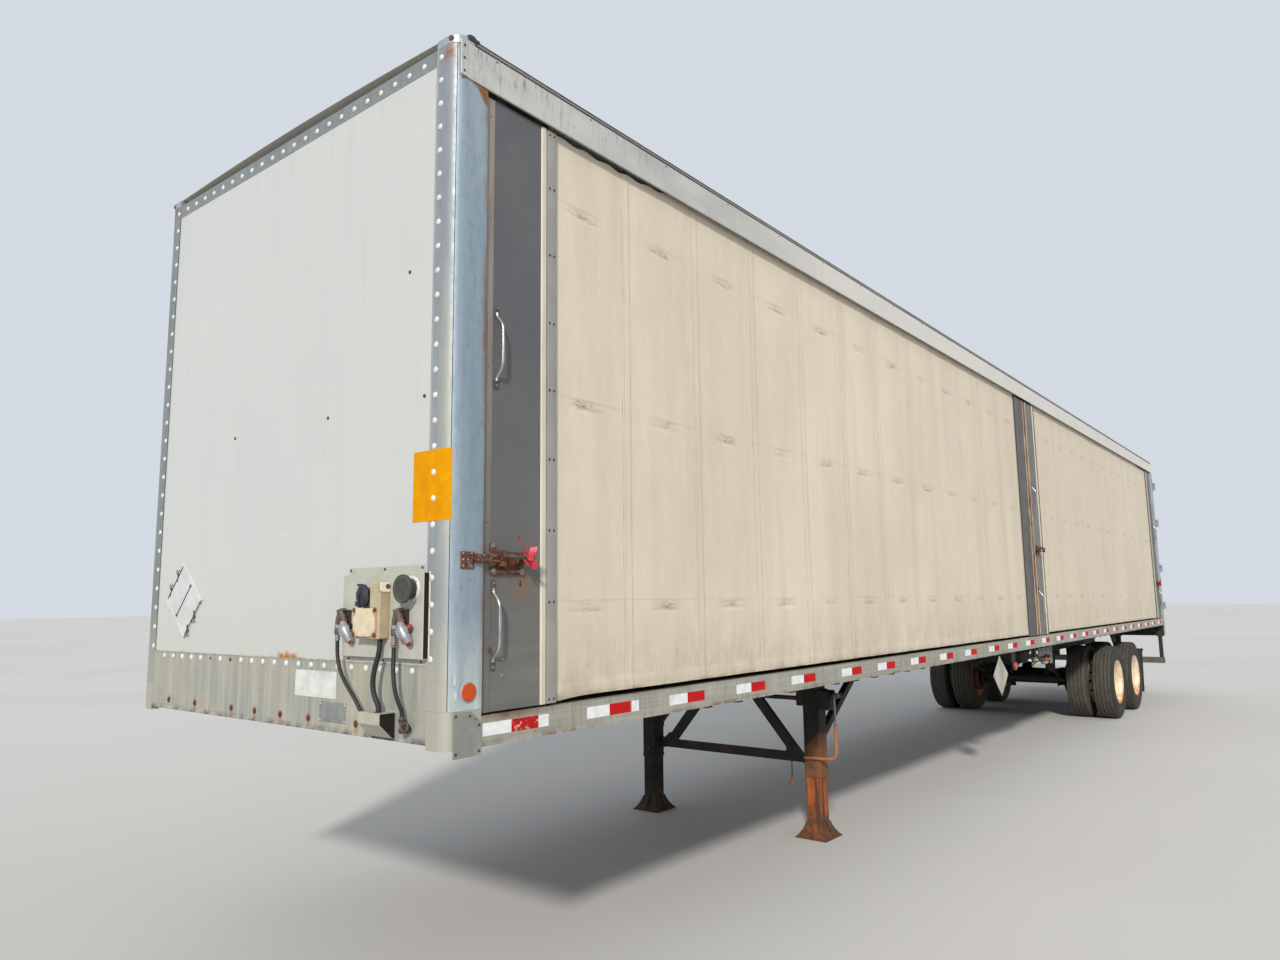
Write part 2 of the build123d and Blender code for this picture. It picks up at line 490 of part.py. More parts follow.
# junction box: tall box with a cover plate low on its front, round electrical socket beside it
node("service_box", fuse([box(SP_X, SP_X + 49, 905, 970, 1592, 1817),
                          box(SP_X, SP_X + 49, 803, 910, 1592, 1709),
                          box(SP_X, XF + PROUD, 799, 953, 1600, 1713),
                          box(SP_X, SP_X + 20, 812, 908, 1705, 1800),
                          cyl((SP_X + 15, 840, 1764), (XF + PROUD - 4, 840, 1764), 40)]))
node("service_lamp", cyl((SP_X, 1112, 1787), (SP_X + 52, 1112, 1787), 56))
# hose couplings. rows: y of the hose neck, direction of the coupling head in y
NECK_X, NECK_BOT = XF + 53, 1590.0
glads = []
for gy in (651.0, 1038.0):
    glads.append(fuse([box(SP_X, NECK_X + 4, gy - 8, gy + 60, 1640, 1706),
                       cyl((SP_X + 8, gy + 58, 1619), (XF + 70, gy + 58, 1619), 30),
                       box(SP_X + 5, NECK_X, gy + 16, gy + 50, 1620, 1645),
                       cyl((NECK_X, gy, NECK_BOT), (NECK_X, gy, 1660), 12)]))
node("hose_couplings", glads)
# wedge-shaped hood that takes two of the lines, one in its side and one in its top, and an elbow for the third
HOOD_Y0, HOOD_Y1, HOOD_TOP = 846.0, 987.0, 1306.0
ELBOW_Y, ELBOW_TOP = 1068.0, 1290.0
node("hose_hood", [poly_y([(XF, 1205), (XF + 16, 1205), (XF + 76, 1262), (XF + 76, HOOD_TOP), (XF, HOOD_TOP)], HOOD_Y0, HOOD_Y1),
                   box(XF, XF + 50, ELBOW_Y - 20, ELBOW_Y + 20, ELBOW_TOP - 46, ELBOW_TOP)])

# lines: name, radius, route
LINES = (
    ("hose_left", 8.0, [(NECK_X, 651, NECK_BOT), (NECK_X, 651, 1535), (NECK_X + 2, 670, 1473), (NECK_X + 2, 715, 1415),
                        (NECK_X - 2, 770, 1363), (NECK_X - 7, 808, 1318), (NECK_X - 12, HOOD_Y0 + 6, 1256)]),
    ("hose_right", 8.5, [(NECK_X, 1038, NECK_BOT), (NECK_X, 1038, 1535), (NECK_X + 5, 1043, 1470), (NECK_X + 3, 1052, 1400),
                         (NECK_X - 10, 1063, 1345), (NECK_X - 24, ELBOW_Y, 1318), (NECK_X - 24, ELBOW_Y, ELBOW_TOP)]),
    ("cable_middle", 10.5, [(SP_X + 22, 944, 1592), (SP_X + 22, 944, 1545), (SP_X + 29, 922, 1480), (SP_X + 31, 912, 1420),
                            (SP_X + 27, 921, 1366), (SP_X + 21, 944, 1334), (SP_X + 21, 944, HOOD_TOP)]),
)
for hname, hr, pts in LINES:
    V = [Vector(*p) for p in pts]
    radii = []
    for i in range(1, len(V) - 1):
        d0, d1 = V[i] - V[i - 1], V[i + 1] - V[i]
        turn = radians(d0.get_angle(d1))
        radii.append(0.45 * min(d0.length, d1.length) / tan(turn / 2))
    path = FilletPolyline(*pts, radius=radii)
    tube = sweep(Plane(origin=path @ 0, z_dir=path % 0) * Circle(hr), path=path)
    if hname == "hose_left":
        tube = tube - box(XF, XF + PROUD, HOOD_Y0, HOOD_Y1, 1200, HOOD_TOP)
    print(hname, "length", round(path.length, 1), "radii", [round(r) for r in radii], "volume ratio",
          round(tube.volume / (pi * hr * hr * path.length), 4))
    node(hname, tube)
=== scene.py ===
import bpy
import bmesh
from math import sin, cos, tan, radians, pi, sqrt, atan2, floor, exp, hypot
from mathutils import Vector, Matrix, noise as mn


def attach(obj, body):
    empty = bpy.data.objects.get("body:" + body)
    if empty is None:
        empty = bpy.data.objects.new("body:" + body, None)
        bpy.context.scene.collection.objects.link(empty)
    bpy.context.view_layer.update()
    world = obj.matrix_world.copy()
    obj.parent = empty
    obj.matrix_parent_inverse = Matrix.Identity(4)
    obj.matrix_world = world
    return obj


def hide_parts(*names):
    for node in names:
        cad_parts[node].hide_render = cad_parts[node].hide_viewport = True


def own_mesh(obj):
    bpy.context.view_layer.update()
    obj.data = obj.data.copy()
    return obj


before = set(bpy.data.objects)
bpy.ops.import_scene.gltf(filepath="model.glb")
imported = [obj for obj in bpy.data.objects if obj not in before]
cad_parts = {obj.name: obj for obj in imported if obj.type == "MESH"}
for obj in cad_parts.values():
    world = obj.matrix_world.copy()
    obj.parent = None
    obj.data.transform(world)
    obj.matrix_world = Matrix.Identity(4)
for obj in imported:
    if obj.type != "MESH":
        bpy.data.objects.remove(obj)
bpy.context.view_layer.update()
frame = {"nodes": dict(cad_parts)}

NODES = frame["nodes"]
SCN = bpy.context.scene

# Curtain-sided semi trailer. Metres; +X forward, +Y left, +Z up.
XF, XR, YS = 8.077, -8.077, 1.2955
CORNER_R = 0.060
Z_RAIL_BOT, Z_RAIL_TOP = 1.176, 1.292
Z_FASCIA_BOT, Z_FASCIA_TOP = 3.902, 4.062
X_POST_REAR = 7.905
SIDES = ((1, "left"), (-1, "right"))


# ================================================================ camera
CAM_AT = Vector((10.2884, 3.9938, 1.7346))
YAW, PITCH, ROLL = -2.4698, 0.1337, -0.0122
fwd = Vector((cos(YAW) * cos(PITCH), sin(YAW) * cos(PITCH), sin(PITCH)))
right = Vector((sin(YAW), -cos(YAW), 0))
up = right.cross(fwd)
r2, u2 = right * cos(ROLL) + up * sin(ROLL), -right * sin(ROLL) + up * cos(ROLL)
cam_data = bpy.data.cameras.new("camera")
cam = bpy.data.objects.new("camera", cam_data)
SCN.collection.objects.link(cam)
cam.matrix_world = Matrix(((r2.x, u2.x, -fwd.x, CAM_AT.x), (r2.y, u2.y, -fwd.y, CAM_AT.y),
                           (r2.z, u2.z, -fwd.z, CAM_AT.z), (0, 0, 0, 1)))
cam_data.sensor_fit = "HORIZONTAL"
cam_data.sensor_width = 36.0
cam_data.lens = 25.0
cam_data.clip_start, cam_data.clip_end = 0.1, 600.0
SCN.camera = cam


# ================================================================ node materials
def lin(c):
    c = c / 255.0
    return c / 12.92 if c <= 0.04045 else ((c + 0.055) / 1.055) ** 2.4


def C(r, g, b):
    return (lin(r), lin(g), lin(b), 1.0)


class Mat:
    """A small builder for procedural materials in the object's own metres."""

    def __init__(self, name, rough=0.6, metal=0.0):
        self.m = bpy.data.materials.new(name)
        self.m.use_nodes = True
        self.t = self.m.node_tree
        self.t.nodes.clear()
        self.out = self.t.nodes.new("ShaderNodeOutputMaterial")
        self.b = self.t.nodes.new("ShaderNodeBsdfPrincipled")
        self.t.links.new(self.b.outputs[0], self.out.inputs[0])
        self.b.inputs["Roughness"].default_value = rough
        self.b.inputs["Metallic"].default_value = metal
        tc = self.t.nodes.new("ShaderNodeTexCoord")
        self.co = tc.outputs["Object"]
        self._xyz = None
        self._bump = None

    def put(self, sock, v):
        if isinstance(v, bpy.types.NodeSocket):
            self.t.links.new(v, sock)
        elif v is not None:
            sock.default_value = v

    def xyz(self, i):
        if self._xyz is None:
            n = self.t.nodes.new("ShaderNodeSeparateXYZ")
            self.put(n.inputs[0], self.co)
            self._xyz = n
        return self._xyz.outputs[i]

    def vec(self, stretch=(1, 1, 1), shift=(0, 0, 0)):
        n = self.t.nodes.new("ShaderNodeMapping")
        self.put(n.inputs["Vector"], self.co)
        n.inputs["Scale"].default_value = stretch
        n.inputs["Location"].default_value = shift
        return n.outputs[0]

    def noise(self, scale, detail=4.0, rough=0.55, stretch=None, dist=0.0, shift=(0, 0, 0)):
        n = self.t.nodes.new("ShaderNodeTexNoise")
        v = self.co if stretch is None and shift == (0, 0, 0) else self.vec(stretch or (1, 1, 1), shift)
        self.put(n.inputs["Vector"], v)
        n.inputs["Scale"].default_value = scale
        n.inputs["Detail"].default_value = detail
        n.inputs["Roughness"].default_value = rough
        n.inputs["Distortion"].default_value = dist
        return n.outputs[0]

    def voro(self, scale, stretch=None, feature="F1", out=0):
        n = self.t.nodes.new("ShaderNodeTexVoronoi")
        n.feature = feature
        self.put(n.inputs["Vector"], self.co if stretch is None else self.vec(stretch))
        n.inputs["Scale"].default_value = scale
        return n.outputs[out]

    def math(self, op, a, b=None, c=None, clamp=False):
        n = self.t.nodes.new("ShaderNodeMath")
        n.operation = op
        n.use_clamp = clamp
        for i, v in enumerate((a, b, c)):
            if v is not None:
                self.put(n.inputs[i], v)
        return n.outputs[0]

    def rng(self, v, a, b, c=0.0, d=1.0, smooth=False):
        n = self.t.nodes.new("ShaderNodeMapRange")
        n.interpolation_type = "SMOOTHSTEP" if smooth else "LINEAR"
        for i, x in enumerate((v, a, b, c, d)):
            self.put(n.inputs[i], x)
        return n.outputs[0]

    def mix(self, f, a, b, mode="MIX"):
        n = self.t.nodes.new("ShaderNodeMix")
        n.data_type = "RGBA"
        n.blend_type = mode
        n.clamp_factor = True
        self.put(n.inputs[0], f)
        self.put(n.inputs[6], a)
        self.put(n.inputs[7], b)
        return n.outputs[2]

    def band(self, v, mid, half, soft):
        """1 near mid, falling to 0 past half, over soft."""
        d = self.math("ABSOLUTE", self.math("SUBTRACT", v, mid))
        return self.rng(d, half, half + soft, 1.0, 0.0, True)

    def color(self, v):
        self.put(self.b.inputs["Base Color"], v)
        return self

    def rough(self, v):
        self.put(self.b.inputs["Roughness"], v)
        return self

    def bump(self, height, strength=0.3, dist=0.01):
        n = self.t.nodes.new("ShaderNodeBump")
        n.inputs["Strength"].default_value = strength
        n.inputs["Distance"].default_value = dist
        self.put(n.inputs["Height"], height)
        if self._bump is not None:
            self.put(n.inputs["Normal"], self._bump)
        self._bump = n.outputs[0]
        self.put(self.b.inputs["Normal"], self._bump)
        return self


def painted(name, base, dirt, rough=0.5, metal=0.0, cloud=1.2, amount=0.5, grain=0.15, streak=0.0, rust=0.0,
            rust_col=None, rust_scale=6.0, bump_scale=260.0, streak_scale=10.0):
    """Weathered paint or plating: clouds, rain streaks down Z, specks of rust, fine grain."""
    m = Mat(name, rough, metal)
    f = m.rng(m.noise(cloud, 5, 0.6), 0.38, 0.68, 0.0, amount)
    col = m.mix(f, base, dirt)
    if streak:
        s = m.noise(streak_scale, 4, 0.6, stretch=(1, 1, 0.06))
        col = m.mix(m.rng(s, 0.48, 0.72, 0.0, streak), col, dirt)
    fine = m.noise(180, 3, 0.6)
    col = m.mix(m.rng(fine, 0.35, 0.7, 0.0, grain), col, dirt)
    r = m.rng(m.noise(9, 4), 0.3, 0.7, rough - 0.08, rough + 0.1)
    h = fine
    if rust:
        rn = m.noise(rust_scale, 7, 0.72, dist=0.6)
        rf = m.rng(rn, 0.62 - 0.12 * rust, 0.70 - 0.10 * rust, 0.0, 1.0)
        rc = m.mix(m.noise(60, 5, 0.7), rust_col or C(104, 58, 32), C(58, 34, 24))
        col = m.mix(rf, col, rc)
        r = m.math("MAXIMUM", r, m.math("MULTIPLY", rf, 0.9))
        h = m.math("ADD", fine, rf)
    m.color(col).rough(r)
    m.bump(m.noise(bump_scale, 2, 0.5), 0.12, 0.002)
    m.bump(h, 0.25, 0.0015)
    return m


# ---------------------------------------------------------------- painted panels and plated steel
m = Mat("white_wall", 0.42)
col = m.mix(m.rng(m.noise(0.9, 5, 0.6), 0.35, 0.7, 0, 0.55), C(186, 188, 186), C(178, 180, 179))
col = m.mix(m.rng(m.noise(14, 3, 0.6, stretch=(1, 1, 0.04)), 0.52, 0.75, 0, 0.22), col, C(166, 166, 160))
col = m.mix(m.rng(m.noise(150, 2), 0.55, 0.75, 0, 0.12), col, C(170, 170, 166))
low = m.rng(m.xyz(2), 1.48, 2.1, 0.35, 0.0, True)
col = m.mix(m.math("MULTIPLY", low, m.noise(7, 5, 0.7)), col, C(170, 160, 140))
rustm = m.math("MULTIPLY", m.band(m.xyz(1), 0.175, 0.055, 0.05), m.rng(m.math("ADD", m.xyz(2), m.math("MULTIPLY", m.noise(22, 3), 0.05)), 1.525, 1.550, 1.0, 0.0, True))
rustm = m.math("MULTIPLY", rustm, m.rng(m.noise(60, 4, 0.6), 0.30, 0.46, 0.35, 1))
thin = m.math("MULTIPLY", m.rng(m.xyz(2), 1.493, 1.503, 1.0, 0.0, True), m.rng(m.math("ADD", m.noise(9, 4, 0.7), m.rng(m.math("ABSOLUTE", m.math("SUBTRACT", m.xyz(1), 0.2)), 0.1, 0.9, 0.06, -0.08)), 0.50, 0.62, 0, 0.7))
col = m.mix(m.math("MAXIMUM", rustm, thin), col, m.mix(m.noise(90, 3), C(188, 118, 34), C(120, 72, 24)))
m.color(col).rough(m.rng(m.noise(3, 4), 0.3, 0.7, 0.34, 0.52))
m.bump(m.noise(1.7, 3, 0.5), 0.12, 0.02)
m.bump(m.noise(240, 2), 0.10, 0.001)
WHITE_WALL = m.m

m = Mat("galvanized_side", 0.5, 0.35)
col = m.mix(m.rng(m.noise(7, 5, 0.65, stretch=(1, 1, 0.12)), 0.36, 0.66, 0, 0.8), C(128, 146, 160), C(158, 172, 178))
col = m.mix(m.rng(m.noise(38, 5, 0.7, stretch=(1, 1, 0.5)), 0.5, 0.7, 0, 0.4), col, C(98, 116, 138))
col = m.mix(m.rng(m.noise(330, 2), 0.45, 0.7, 0, 0.14), col, C(178, 188, 192))
edge = m.math("MULTIPLY", m.rng(m.xyz(0), 7.905, 7.932, 1.0, 0.0, True), m.rng(m.noise(6, 6, 0.75, stretch=(1, 1, 0.35)), 0.36, 0.60, 0, 0.95))
wz = m.math("ADD", m.xyz(2), m.math("MULTIPLY", m.math("SUBTRACT", m.noise(11, 5, 0.7), 0.5), 0.10))
wedge = m.math("SUBTRACT", wz, m.rng(m.xyz(0), 7.915, 8.010, 3.815, 3.925))
topr = m.math("MULTIPLY", m.rng(wedge, -0.012, 0.016, 0.0, 1.0, True), m.rng(m.xyz(0), 7.80, 7.90, 0, 1))
rf = m.math("MAXIMUM", edge, topr)
col = m.mix(rf, col, m.mix(m.noise(45, 4), C(156, 110, 64), C(112, 76, 50)))
lowm = m.math("MULTIPLY", m.rng(m.xyz(2), 1.25, 1.75, 0.9, 0.0, True), m.rng(m.noise(12, 5, 0.7, stretch=(1, 1, 0.2)), 0.30, 0.60))
col = m.mix(lowm, col, C(206, 212, 206))
m.color(col).rough(m.math("ADD", m.rng(m.noise(20, 4), 0.3, 0.7, 0.42, 0.6), m.math("MULTIPLY", rf, 0.3)))
m.bump(m.noise(60, 4, stretch=(1, 1, 0.3)), 0.15, 0.002)
m.bump(rf, 0.3, 0.001)
GALV_SIDE = m.m



def flange_material(name, base, pale, dark, cream_col, amount):
    m = Mat(name, 0.5, 0.3)
    col = m.mix(m.rng(m.noise(9, 5, 0.65, stretch=(1, 1, 0.10)), 0.36, 0.64, 0, 0.9), base, pale)
    col = m.mix(m.rng(m.noise(45, 5, 0.7, stretch=(1, 1, 0.3)), 0.5, 0.72, 0, 0.5), col, dark)
    cream = m.math("MAXIMUM", m.rng(m.xyz(2), 1.35, 1.9, 0.9, 0.0, True),
                   m.math("MULTIPLY", m.rng(m.xyz(2), 2.3, 3.5, 1.0, 0.12), m.math("MULTIPLY", m.rng(m.math("ABSOLUTE", m.xyz(1)), 1.205, 1.25, 0.1, amount, True),
                          m.rng(m.noise(5, 5, 0.7, stretch=(1, 1, 0.2)), 0.35, 0.62))))
    col = m.mix(cream, col, cream_col)
    col = m.mix(m.rng(m.noise(26, 6, 0.75, stretch=(1, 1, 0.25)), 0.60, 0.70, 0, 0.5), col, C(96, 92, 82))
    topr = m.math("MULTIPLY", m.rng(m.xyz(2), 3.9, 4.04, 0.0, 1.0, True), m.rng(m.noise(14, 6, 0.7), 0.45, 0.6, 0, 1))
    topr = m.math("MULTIPLY", topr, m.rng(m.math("ABSOLUTE", m.xyz(1)), 1.12, 1.27, 0.07, 1.0, True))
    col = m.mix(topr, col, C(138, 90, 50))
    m.color(col).rough(m.rng(m.noise(20, 4), 0.3, 0.7, 0.40, 0.60))
    m.bump(m.noise(70, 4, stretch=(1, 1, 0.2)), 0.15, 0.002)
    return m.m


GALV_FLANGE = flange_material("galvanized_flange", C(131, 140, 148), C(149, 154, 155), C(112, 122, 130), C(170, 168, 154), 0.60)
GALV_FLANGE_DARK = flange_material("galvanized_flange_dark", C(118, 127, 130), C(136, 143, 142), C(98, 107, 111), C(158, 158, 146), 0.35)

m = Mat("galvanized_rail", 0.45, 0.35)
col = m.mix(m.rng(m.noise(8, 5, 0.65, stretch=(1, 0.15, 1)), 0.36, 0.64, 0, 0.9), C(140, 152, 164), C(176, 182, 186))
col = m.mix(m.rng(m.noise(60, 5, 0.7), 0.5, 0.72, 0, 0.4), col, C(110, 120, 130))
m.color(col).rough(m.rng(m.noise(20, 4), 0.3, 0.7, 0.36, 0.56))
m.bump(m.noise(90, 4), 0.12, 0.002)
GALV_RAIL = m.m
FOOT = painted("foot_plate_galvanized", C(152, 154, 147), C(122, 125, 119), 0.5, 0.25, cloud=9, amount=0.7, streak=0.4, grain=0.2, rust=0.12).m

# front bottom rail: bare aluminium gone cream and grey, streaked by rain, rust below its bolts
m = Mat("front_rail_streaked", 0.55, 0.12)
s1 = m.noise(22, 5, 0.7, stretch=(1, 1, 0.035))
s2 = m.noise(70, 4, 0.65, stretch=(1, 1, 0.03), shift=(0, 3.1, 0))
col = m.mix(m.rng(s1, 0.36, 0.62), C(165, 163, 149), C(136, 139, 135))
col = m.mix(m.rng(s2, 0.50, 0.70, 0, 0.42), col, C(116, 124, 126))
col = m.mix(m.rng(m.noise(3, 5, 0.7), 0.45, 0.7, 0, 0.6), col, C(176, 170, 148))
rust = None
for by in (-0.973, -0.684, -0.31, -0.091, 0.135, 0.365, 0.721):
    r1 = m.math("MULTIPLY", m.band(m.xyz(1), by, 0.004, 0.022), m.rng(m.xyz(2), 1.19, 1.252, 0.75, 1.0))
    r1 = m.math("MULTIPLY", r1, m.rng(m.xyz(2), 1.245, 1.275, 1.0, 0.0, True))
    rust = r1 if rust is None else m.math("MAXIMUM", rust, r1)
rust = m.math("MULTIPLY", rust, m.rng(m.noise(55, 4, 0.7, stretch=(1, 1, 0.3)), 0.36, 0.6, 0, 0.85))
low = m.math("MULTIPLY", m.rng(m.xyz(2), 1.193, 1.225, 1.0, 0.0, True), m.rng(m.noise(13, 6, 0.75), 0.44, 0.58, 0, 0.9))
col = m.mix(rust, col, C(150, 94, 58))
col = m.mix(low, col, C(74, 68, 60))
m.color(col).rough(m.rng(m.noise(30, 4), 0.3, 0.7, 0.46, 0.7))
m.bump(s2, 0.10, 0.002)
m.bump(m.noise(200, 3), 0.12, 0.001)
FRONT_RAIL = m.m

# side top rail cover: pale aluminium, dark rain marks, worst near the front
m = Mat("fascia_weathered", 0.48, 0.25)
col = m.mix(m.rng(m.noise(2.2, 5, 0.65, stretch=(0.5, 1, 2)), 0.35, 0.66), C(196, 195, 190), C(172, 172, 168))
col = m.mix(m.rng(m.noise(40, 4, 0.6, stretch=(0.12, 1, 3)), 0.5, 0.72, 0, 0.5), col, C(208, 207, 203))
near = m.rng(m.math("ABSOLUTE", m.xyz(0)), 6.3, 8.0, 0.25, 1.0, True)
st = m.math("MULTIPLY", m.rng(m.noise(34, 6, 0.75, stretch=(1, 1, 0.16)), 0.52, 0.64), m.rng(m.noise(1.4, 4, 0.7), 0.40, 0.60))
st = m.math("MULTIPLY", m.math("MULTIPLY", st, near), m.rng(m.xyz(2), 3.93, 4.05, 0.35, 1.0, True))
col = m.mix(st, col, C(88, 82, 74))
br = m.math("MULTIPLY", m.rng(m.noise(1.1, 4, 0.6, shift=(3, 0, 0)), 0.50, 0.68, 0, 0.5), m.rng(m.xyz(2), 3.95, 4.05, 0.0, 1.0, True))
col = m.mix(br, col, C(160, 140, 116))
far = m.math("MULTIPLY", m.rng(m.xyz(0), 4.2, 6.6, 0.9, 0.0, True), m.rng(m.noise(3, 4, 0.6, stretch=(0.4, 1, 2)), 0.3, 0.7, 0.75, 1.0))
col = m.mix(far, col, C(219, 215, 206))
col = m.mix(m.rng(m.xyz(2), 3.903, 3.909, 0.5, 0.0, True), col, C(120, 112, 100))
m.color(col).rough(m.rng(m.noise(12, 4), 0.3, 0.7, 0.40, 0.62))
m.bump(m.noise(1.6, 3, 0.5), 0.10, 0.02)
m.bump(m.noise(120, 3, stretch=(0.2, 1, 1)), 0.10, 0.001)
FASCIA = m.m

# side bottom rail: aluminium under road film, drawn lines along X, rust at the front end
m = Mat("side_rail_weathered", 0.52, 0.30)
col = m.mix(m.rng(m.noise(30, 4, 0.6, stretch=(0.05, 1, 3)), 0.38, 0.64), C(170, 167, 154), C(150, 148, 136))
col = m.mix(m.rng(m.noise(60, 5, 0.7, stretch=(1, 1, 0.06)), 0.46, 0.66, 0, 0.6), col, C(126, 122, 108))
col = m.mix(m.rng(m.noise(1.1, 5, 0.7), 0.46, 0.66, 0, 0.5), col, C(196, 194, 184))
fr = m.rng(m.xyz(0), 7.45, 7.85, 0.0, 1.0, True)
rr = m.math("MULTIPLY", fr, m.math("MULTIPLY", m.rng(m.xyz(2), 1.255, 1.285, 0.0, 1.0, True), m.rng(m.noise(10, 6, 0.7, stretch=(0.4, 1, 1)), 0.36, 0.52)))
r3 = m.math("MULTIPLY", m.rng(m.xyz(2), 1.178, 1.205, 0.7, 0.0, True), m.rng(m.noise(8, 6, 0.75), 0.50, 0.60))
rf = m.math("MAXIMUM", rr, r3)
col = m.mix(rf, col, m.mix(m.noise(50, 4), C(132, 86, 58), C(96, 66, 48)))
m.color(col).rough(m.rng(m.noise(18, 4), 0.3, 0.7, 0.42, 0.68))
m.bump(m.noise(50, 3, stretch=(0.04, 1, 3)), 0.12, 0.002)
SIDE_RAIL = m.m

# painted shade: the roof edge band above the rail cover is dark brown-grey, standing in for its shade
m = Mat("roof_edge_painted_shade", 0.6, 0.2)
col = m.mix(m.rng(m.noise(5, 5, 0.7, stretch=(0.3, 1, 1)), 0.4, 0.62), C(62, 60, 56), C(88, 80, 72))
col = m.mix(m.rng(m.noise(40, 4, 0.7), 0.55, 0.7, 0, 0.6), col, C(44, 42, 40))
m.color(col)
m.bump(m.noise(80, 4), 0.15, 0.002)
ROOF_EDGE_PAINTED_SHADE = m.m

m = painted("roof_skin", C(206, 206, 200), C(164, 160, 150), 0.5, 0.1, cloud=0.7, amount=0.6, streak=0.0, rust=0.0)
s = m.noise(3, 5, 0.7, stretch=(1, 0.25, 1))
m.bump(m.noise(1.2, 4), 0.2, 0.03)
ROOF = m.m

# ---------------------------------------------------------------- curtain vinyl
SEAM_P = 0.6096


def curtain_material(name, seam0, phase):
    """Beige coated fabric. seam0 is the X of one sewn seam; rub marks sit half way between seams."""
    m = Mat(name, 0.62)
    x, z = m.xyz(0), m.xyz(2)
    col = m.mix(m.rng(m.noise(0.8, 5, 0.6, shift=(phase, 0, 0)), 0.36, 0.66), C(213, 202, 181), C(203, 192, 171))
    col = m.mix(m.rng(m.noise(5, 5, 0.65, stretch=(1, 1, 0.10), shift=(phase, 0, 0)), 0.44, 0.70, 0, 0.50), col, C(188, 177, 157))
    col = m.mix(m.rng(m.noise(24, 5, 0.7, stretch=(1, 1, 0.3)), 0.52, 0.76, 0, 0.25), col, C(226, 216, 196))
    # distance along X from the nearest seam, and from the middle of the bay
    u = m.math("FLOORED_MODULO", m.math("SUBTRACT", x, seam0 - SEAM_P / 2), SEAM_P)
    du = m.math("ABSOLUTE", m.math("SUBTRACT", u, SEAM_P / 2))          # 0 on a seam
    dm = m.math("SUBTRACT", SEAM_P / 2, du)                             # 0 mid bay
    line = m.math("MAXIMUM", m.band(m.math("SUBTRACT", u, SEAM_P / 2), 0.031, 0.0010, 0.0022),
                  m.band(m.math("SUBTRACT", u, SEAM_P / 2), -0.031, 0.0010, 0.0022))
    line = m.math("MAXIMUM", line, m.math("MULTIPLY", m.band(m.math("SUBTRACT", u, SEAM_P / 2), 0.014, 0.0008, 0.002), 0.6))
    col = m.mix(m.math("MULTIPLY", line, m.rng(m.noise(9, 3), 0.3, 0.6, 0.25, 0.7)), col, C(140, 128, 108))
    # rub marks where the bows bear on the cloth
    smudge = None
    for zc, w in ((3.560, 1.0), (2.628, 1.0), (1.702, 0.9)):
        dz = m.math("ADD", z, m.math("MULTIPLY", m.math("SUBTRACT", m.noise(6, 3, shift=(phase, 0, zc)), 0.5), 0.05))
        b = m.math("MULTIPLY", m.band(dz, zc, 0.006, 0.026), m.band(dm, 0.0, 0.045, 0.10))
        core = m.math("MULTIPLY", m.band(dz, zc - 0.006, 0.003, 0.012), m.band(dm, 0.0, 0.016, 0.05))
        b = m.math("MULTIPLY", b, m.rng(m.noise(30, 6, 0.78, stretch=(0.5, 1, 2.2), shift=(phase, 0, zc)), 0.45, 0.62, 0, 0.75 * w))
        core = m.math("MULTIPLY", core, m.rng(m.noise(55, 5, 0.75, stretch=(0.5, 1, 1.6)), 0.42, 0.60, 0, 0.85 * w))
        b = m.math("MAXIMUM", b, core)
        smudge = b if smudge is None else m.math("MAXIMUM", smudge, b)
    bay = m.rng(m.noise(1.7, 2, shift=(phase, 7, 0)), 0.35, 0.62, 0.35, 1.0)
    col = m.mix(m.math("MULTIPLY", smudge, bay), col, C(88, 80, 70))
    # faint level line across the bays at each row of marks
    lv = m.math("MAXIMUM", m.math("MAXIMUM", m.band(z, 3.585, 0.001, 0.004), m.band(z, 2.655, 0.001, 0.004)), m.band(z, 1.735, 0.001, 0.004))
    col = m.mix(m.math("MULTIPLY", lv, m.rng(m.noise(3, 3), 0.40, 0.62, 0, 0.30)), col, C(150, 138, 118))
    # dust and handling marks towards the hem; the cloth is also darker towards the rear end, and towards the top under
    # the cover
    low = m.math("MULTIPLY", m.rng(z, 1.32, 1.78, 1.0, 0.0, True), m.rng(m.noise(7, 6, 0.75, stretch=(1, 1, 0.45)), 0.38, 0.66))
    col = m.mix(m.math("MULTIPLY", low, 0.50), col, C(160, 146, 122))
    spot = m.math("MULTIPLY", m.rng(z, 1.36, 1.62, 1.0, 0.0, True), m.rng(m.noise(16, 6, 0.8, stretch=(1, 1, 0.6)), 0.60, 0.68))
    col = m.mix(m.math("MULTIPLY", spot, 0.6), col, C(104, 94, 80))
    hem = m.math("MULTIPLY", m.rng(z, 1.31, 1.345, 1.0, 0.0, True), m.rng(m.noise(20, 5, 0.7, stretch=(0.4, 1, 1)), 0.4, 0.6))
    col = m.mix(m.math("MULTIPLY", hem, 0.7), col, C(120, 106, 88))
    col = m.mix(m.rng(x, -1.0, 4.5, 0.26, 0.0, True), col, C(176, 160, 134))
    top = m.rng(z, 3.70, 3.90, 0.0, 0.30, True)
    col = m.mix(m.math("MULTIPLY", top, m.noise(6, 4, stretch=(1, 1, 0.2))), col, C(170, 158, 138))
    m.color(col).rough(m.rng(m.noise(8, 4), 0.3, 0.7, 0.55, 0.72))
    m.b.inputs["Sheen Weight"].default_value = 0.08
    # woven scrim showing through the coating, and soft creases
    w1 = m.math("SINE", m.math("MULTIPLY", x, 2 * pi / 0.0026))
    w2 = m.math("SINE", m.math("MULTIPLY", z, 2 * pi / 0.0026))
    m.bump(m.math("MULTIPLY", w1, w2), 0.05, 0.0006)
    m.bump(m.noise(7, 5, 0.6, stretch=(1, 1, 0.35), shift=(phase, 0, 0)), 0.22, 0.012)
    m.bump(line, -0.5, 0.0015)
    m.bump(smudge, -0.35, 0.002)
    return m.m


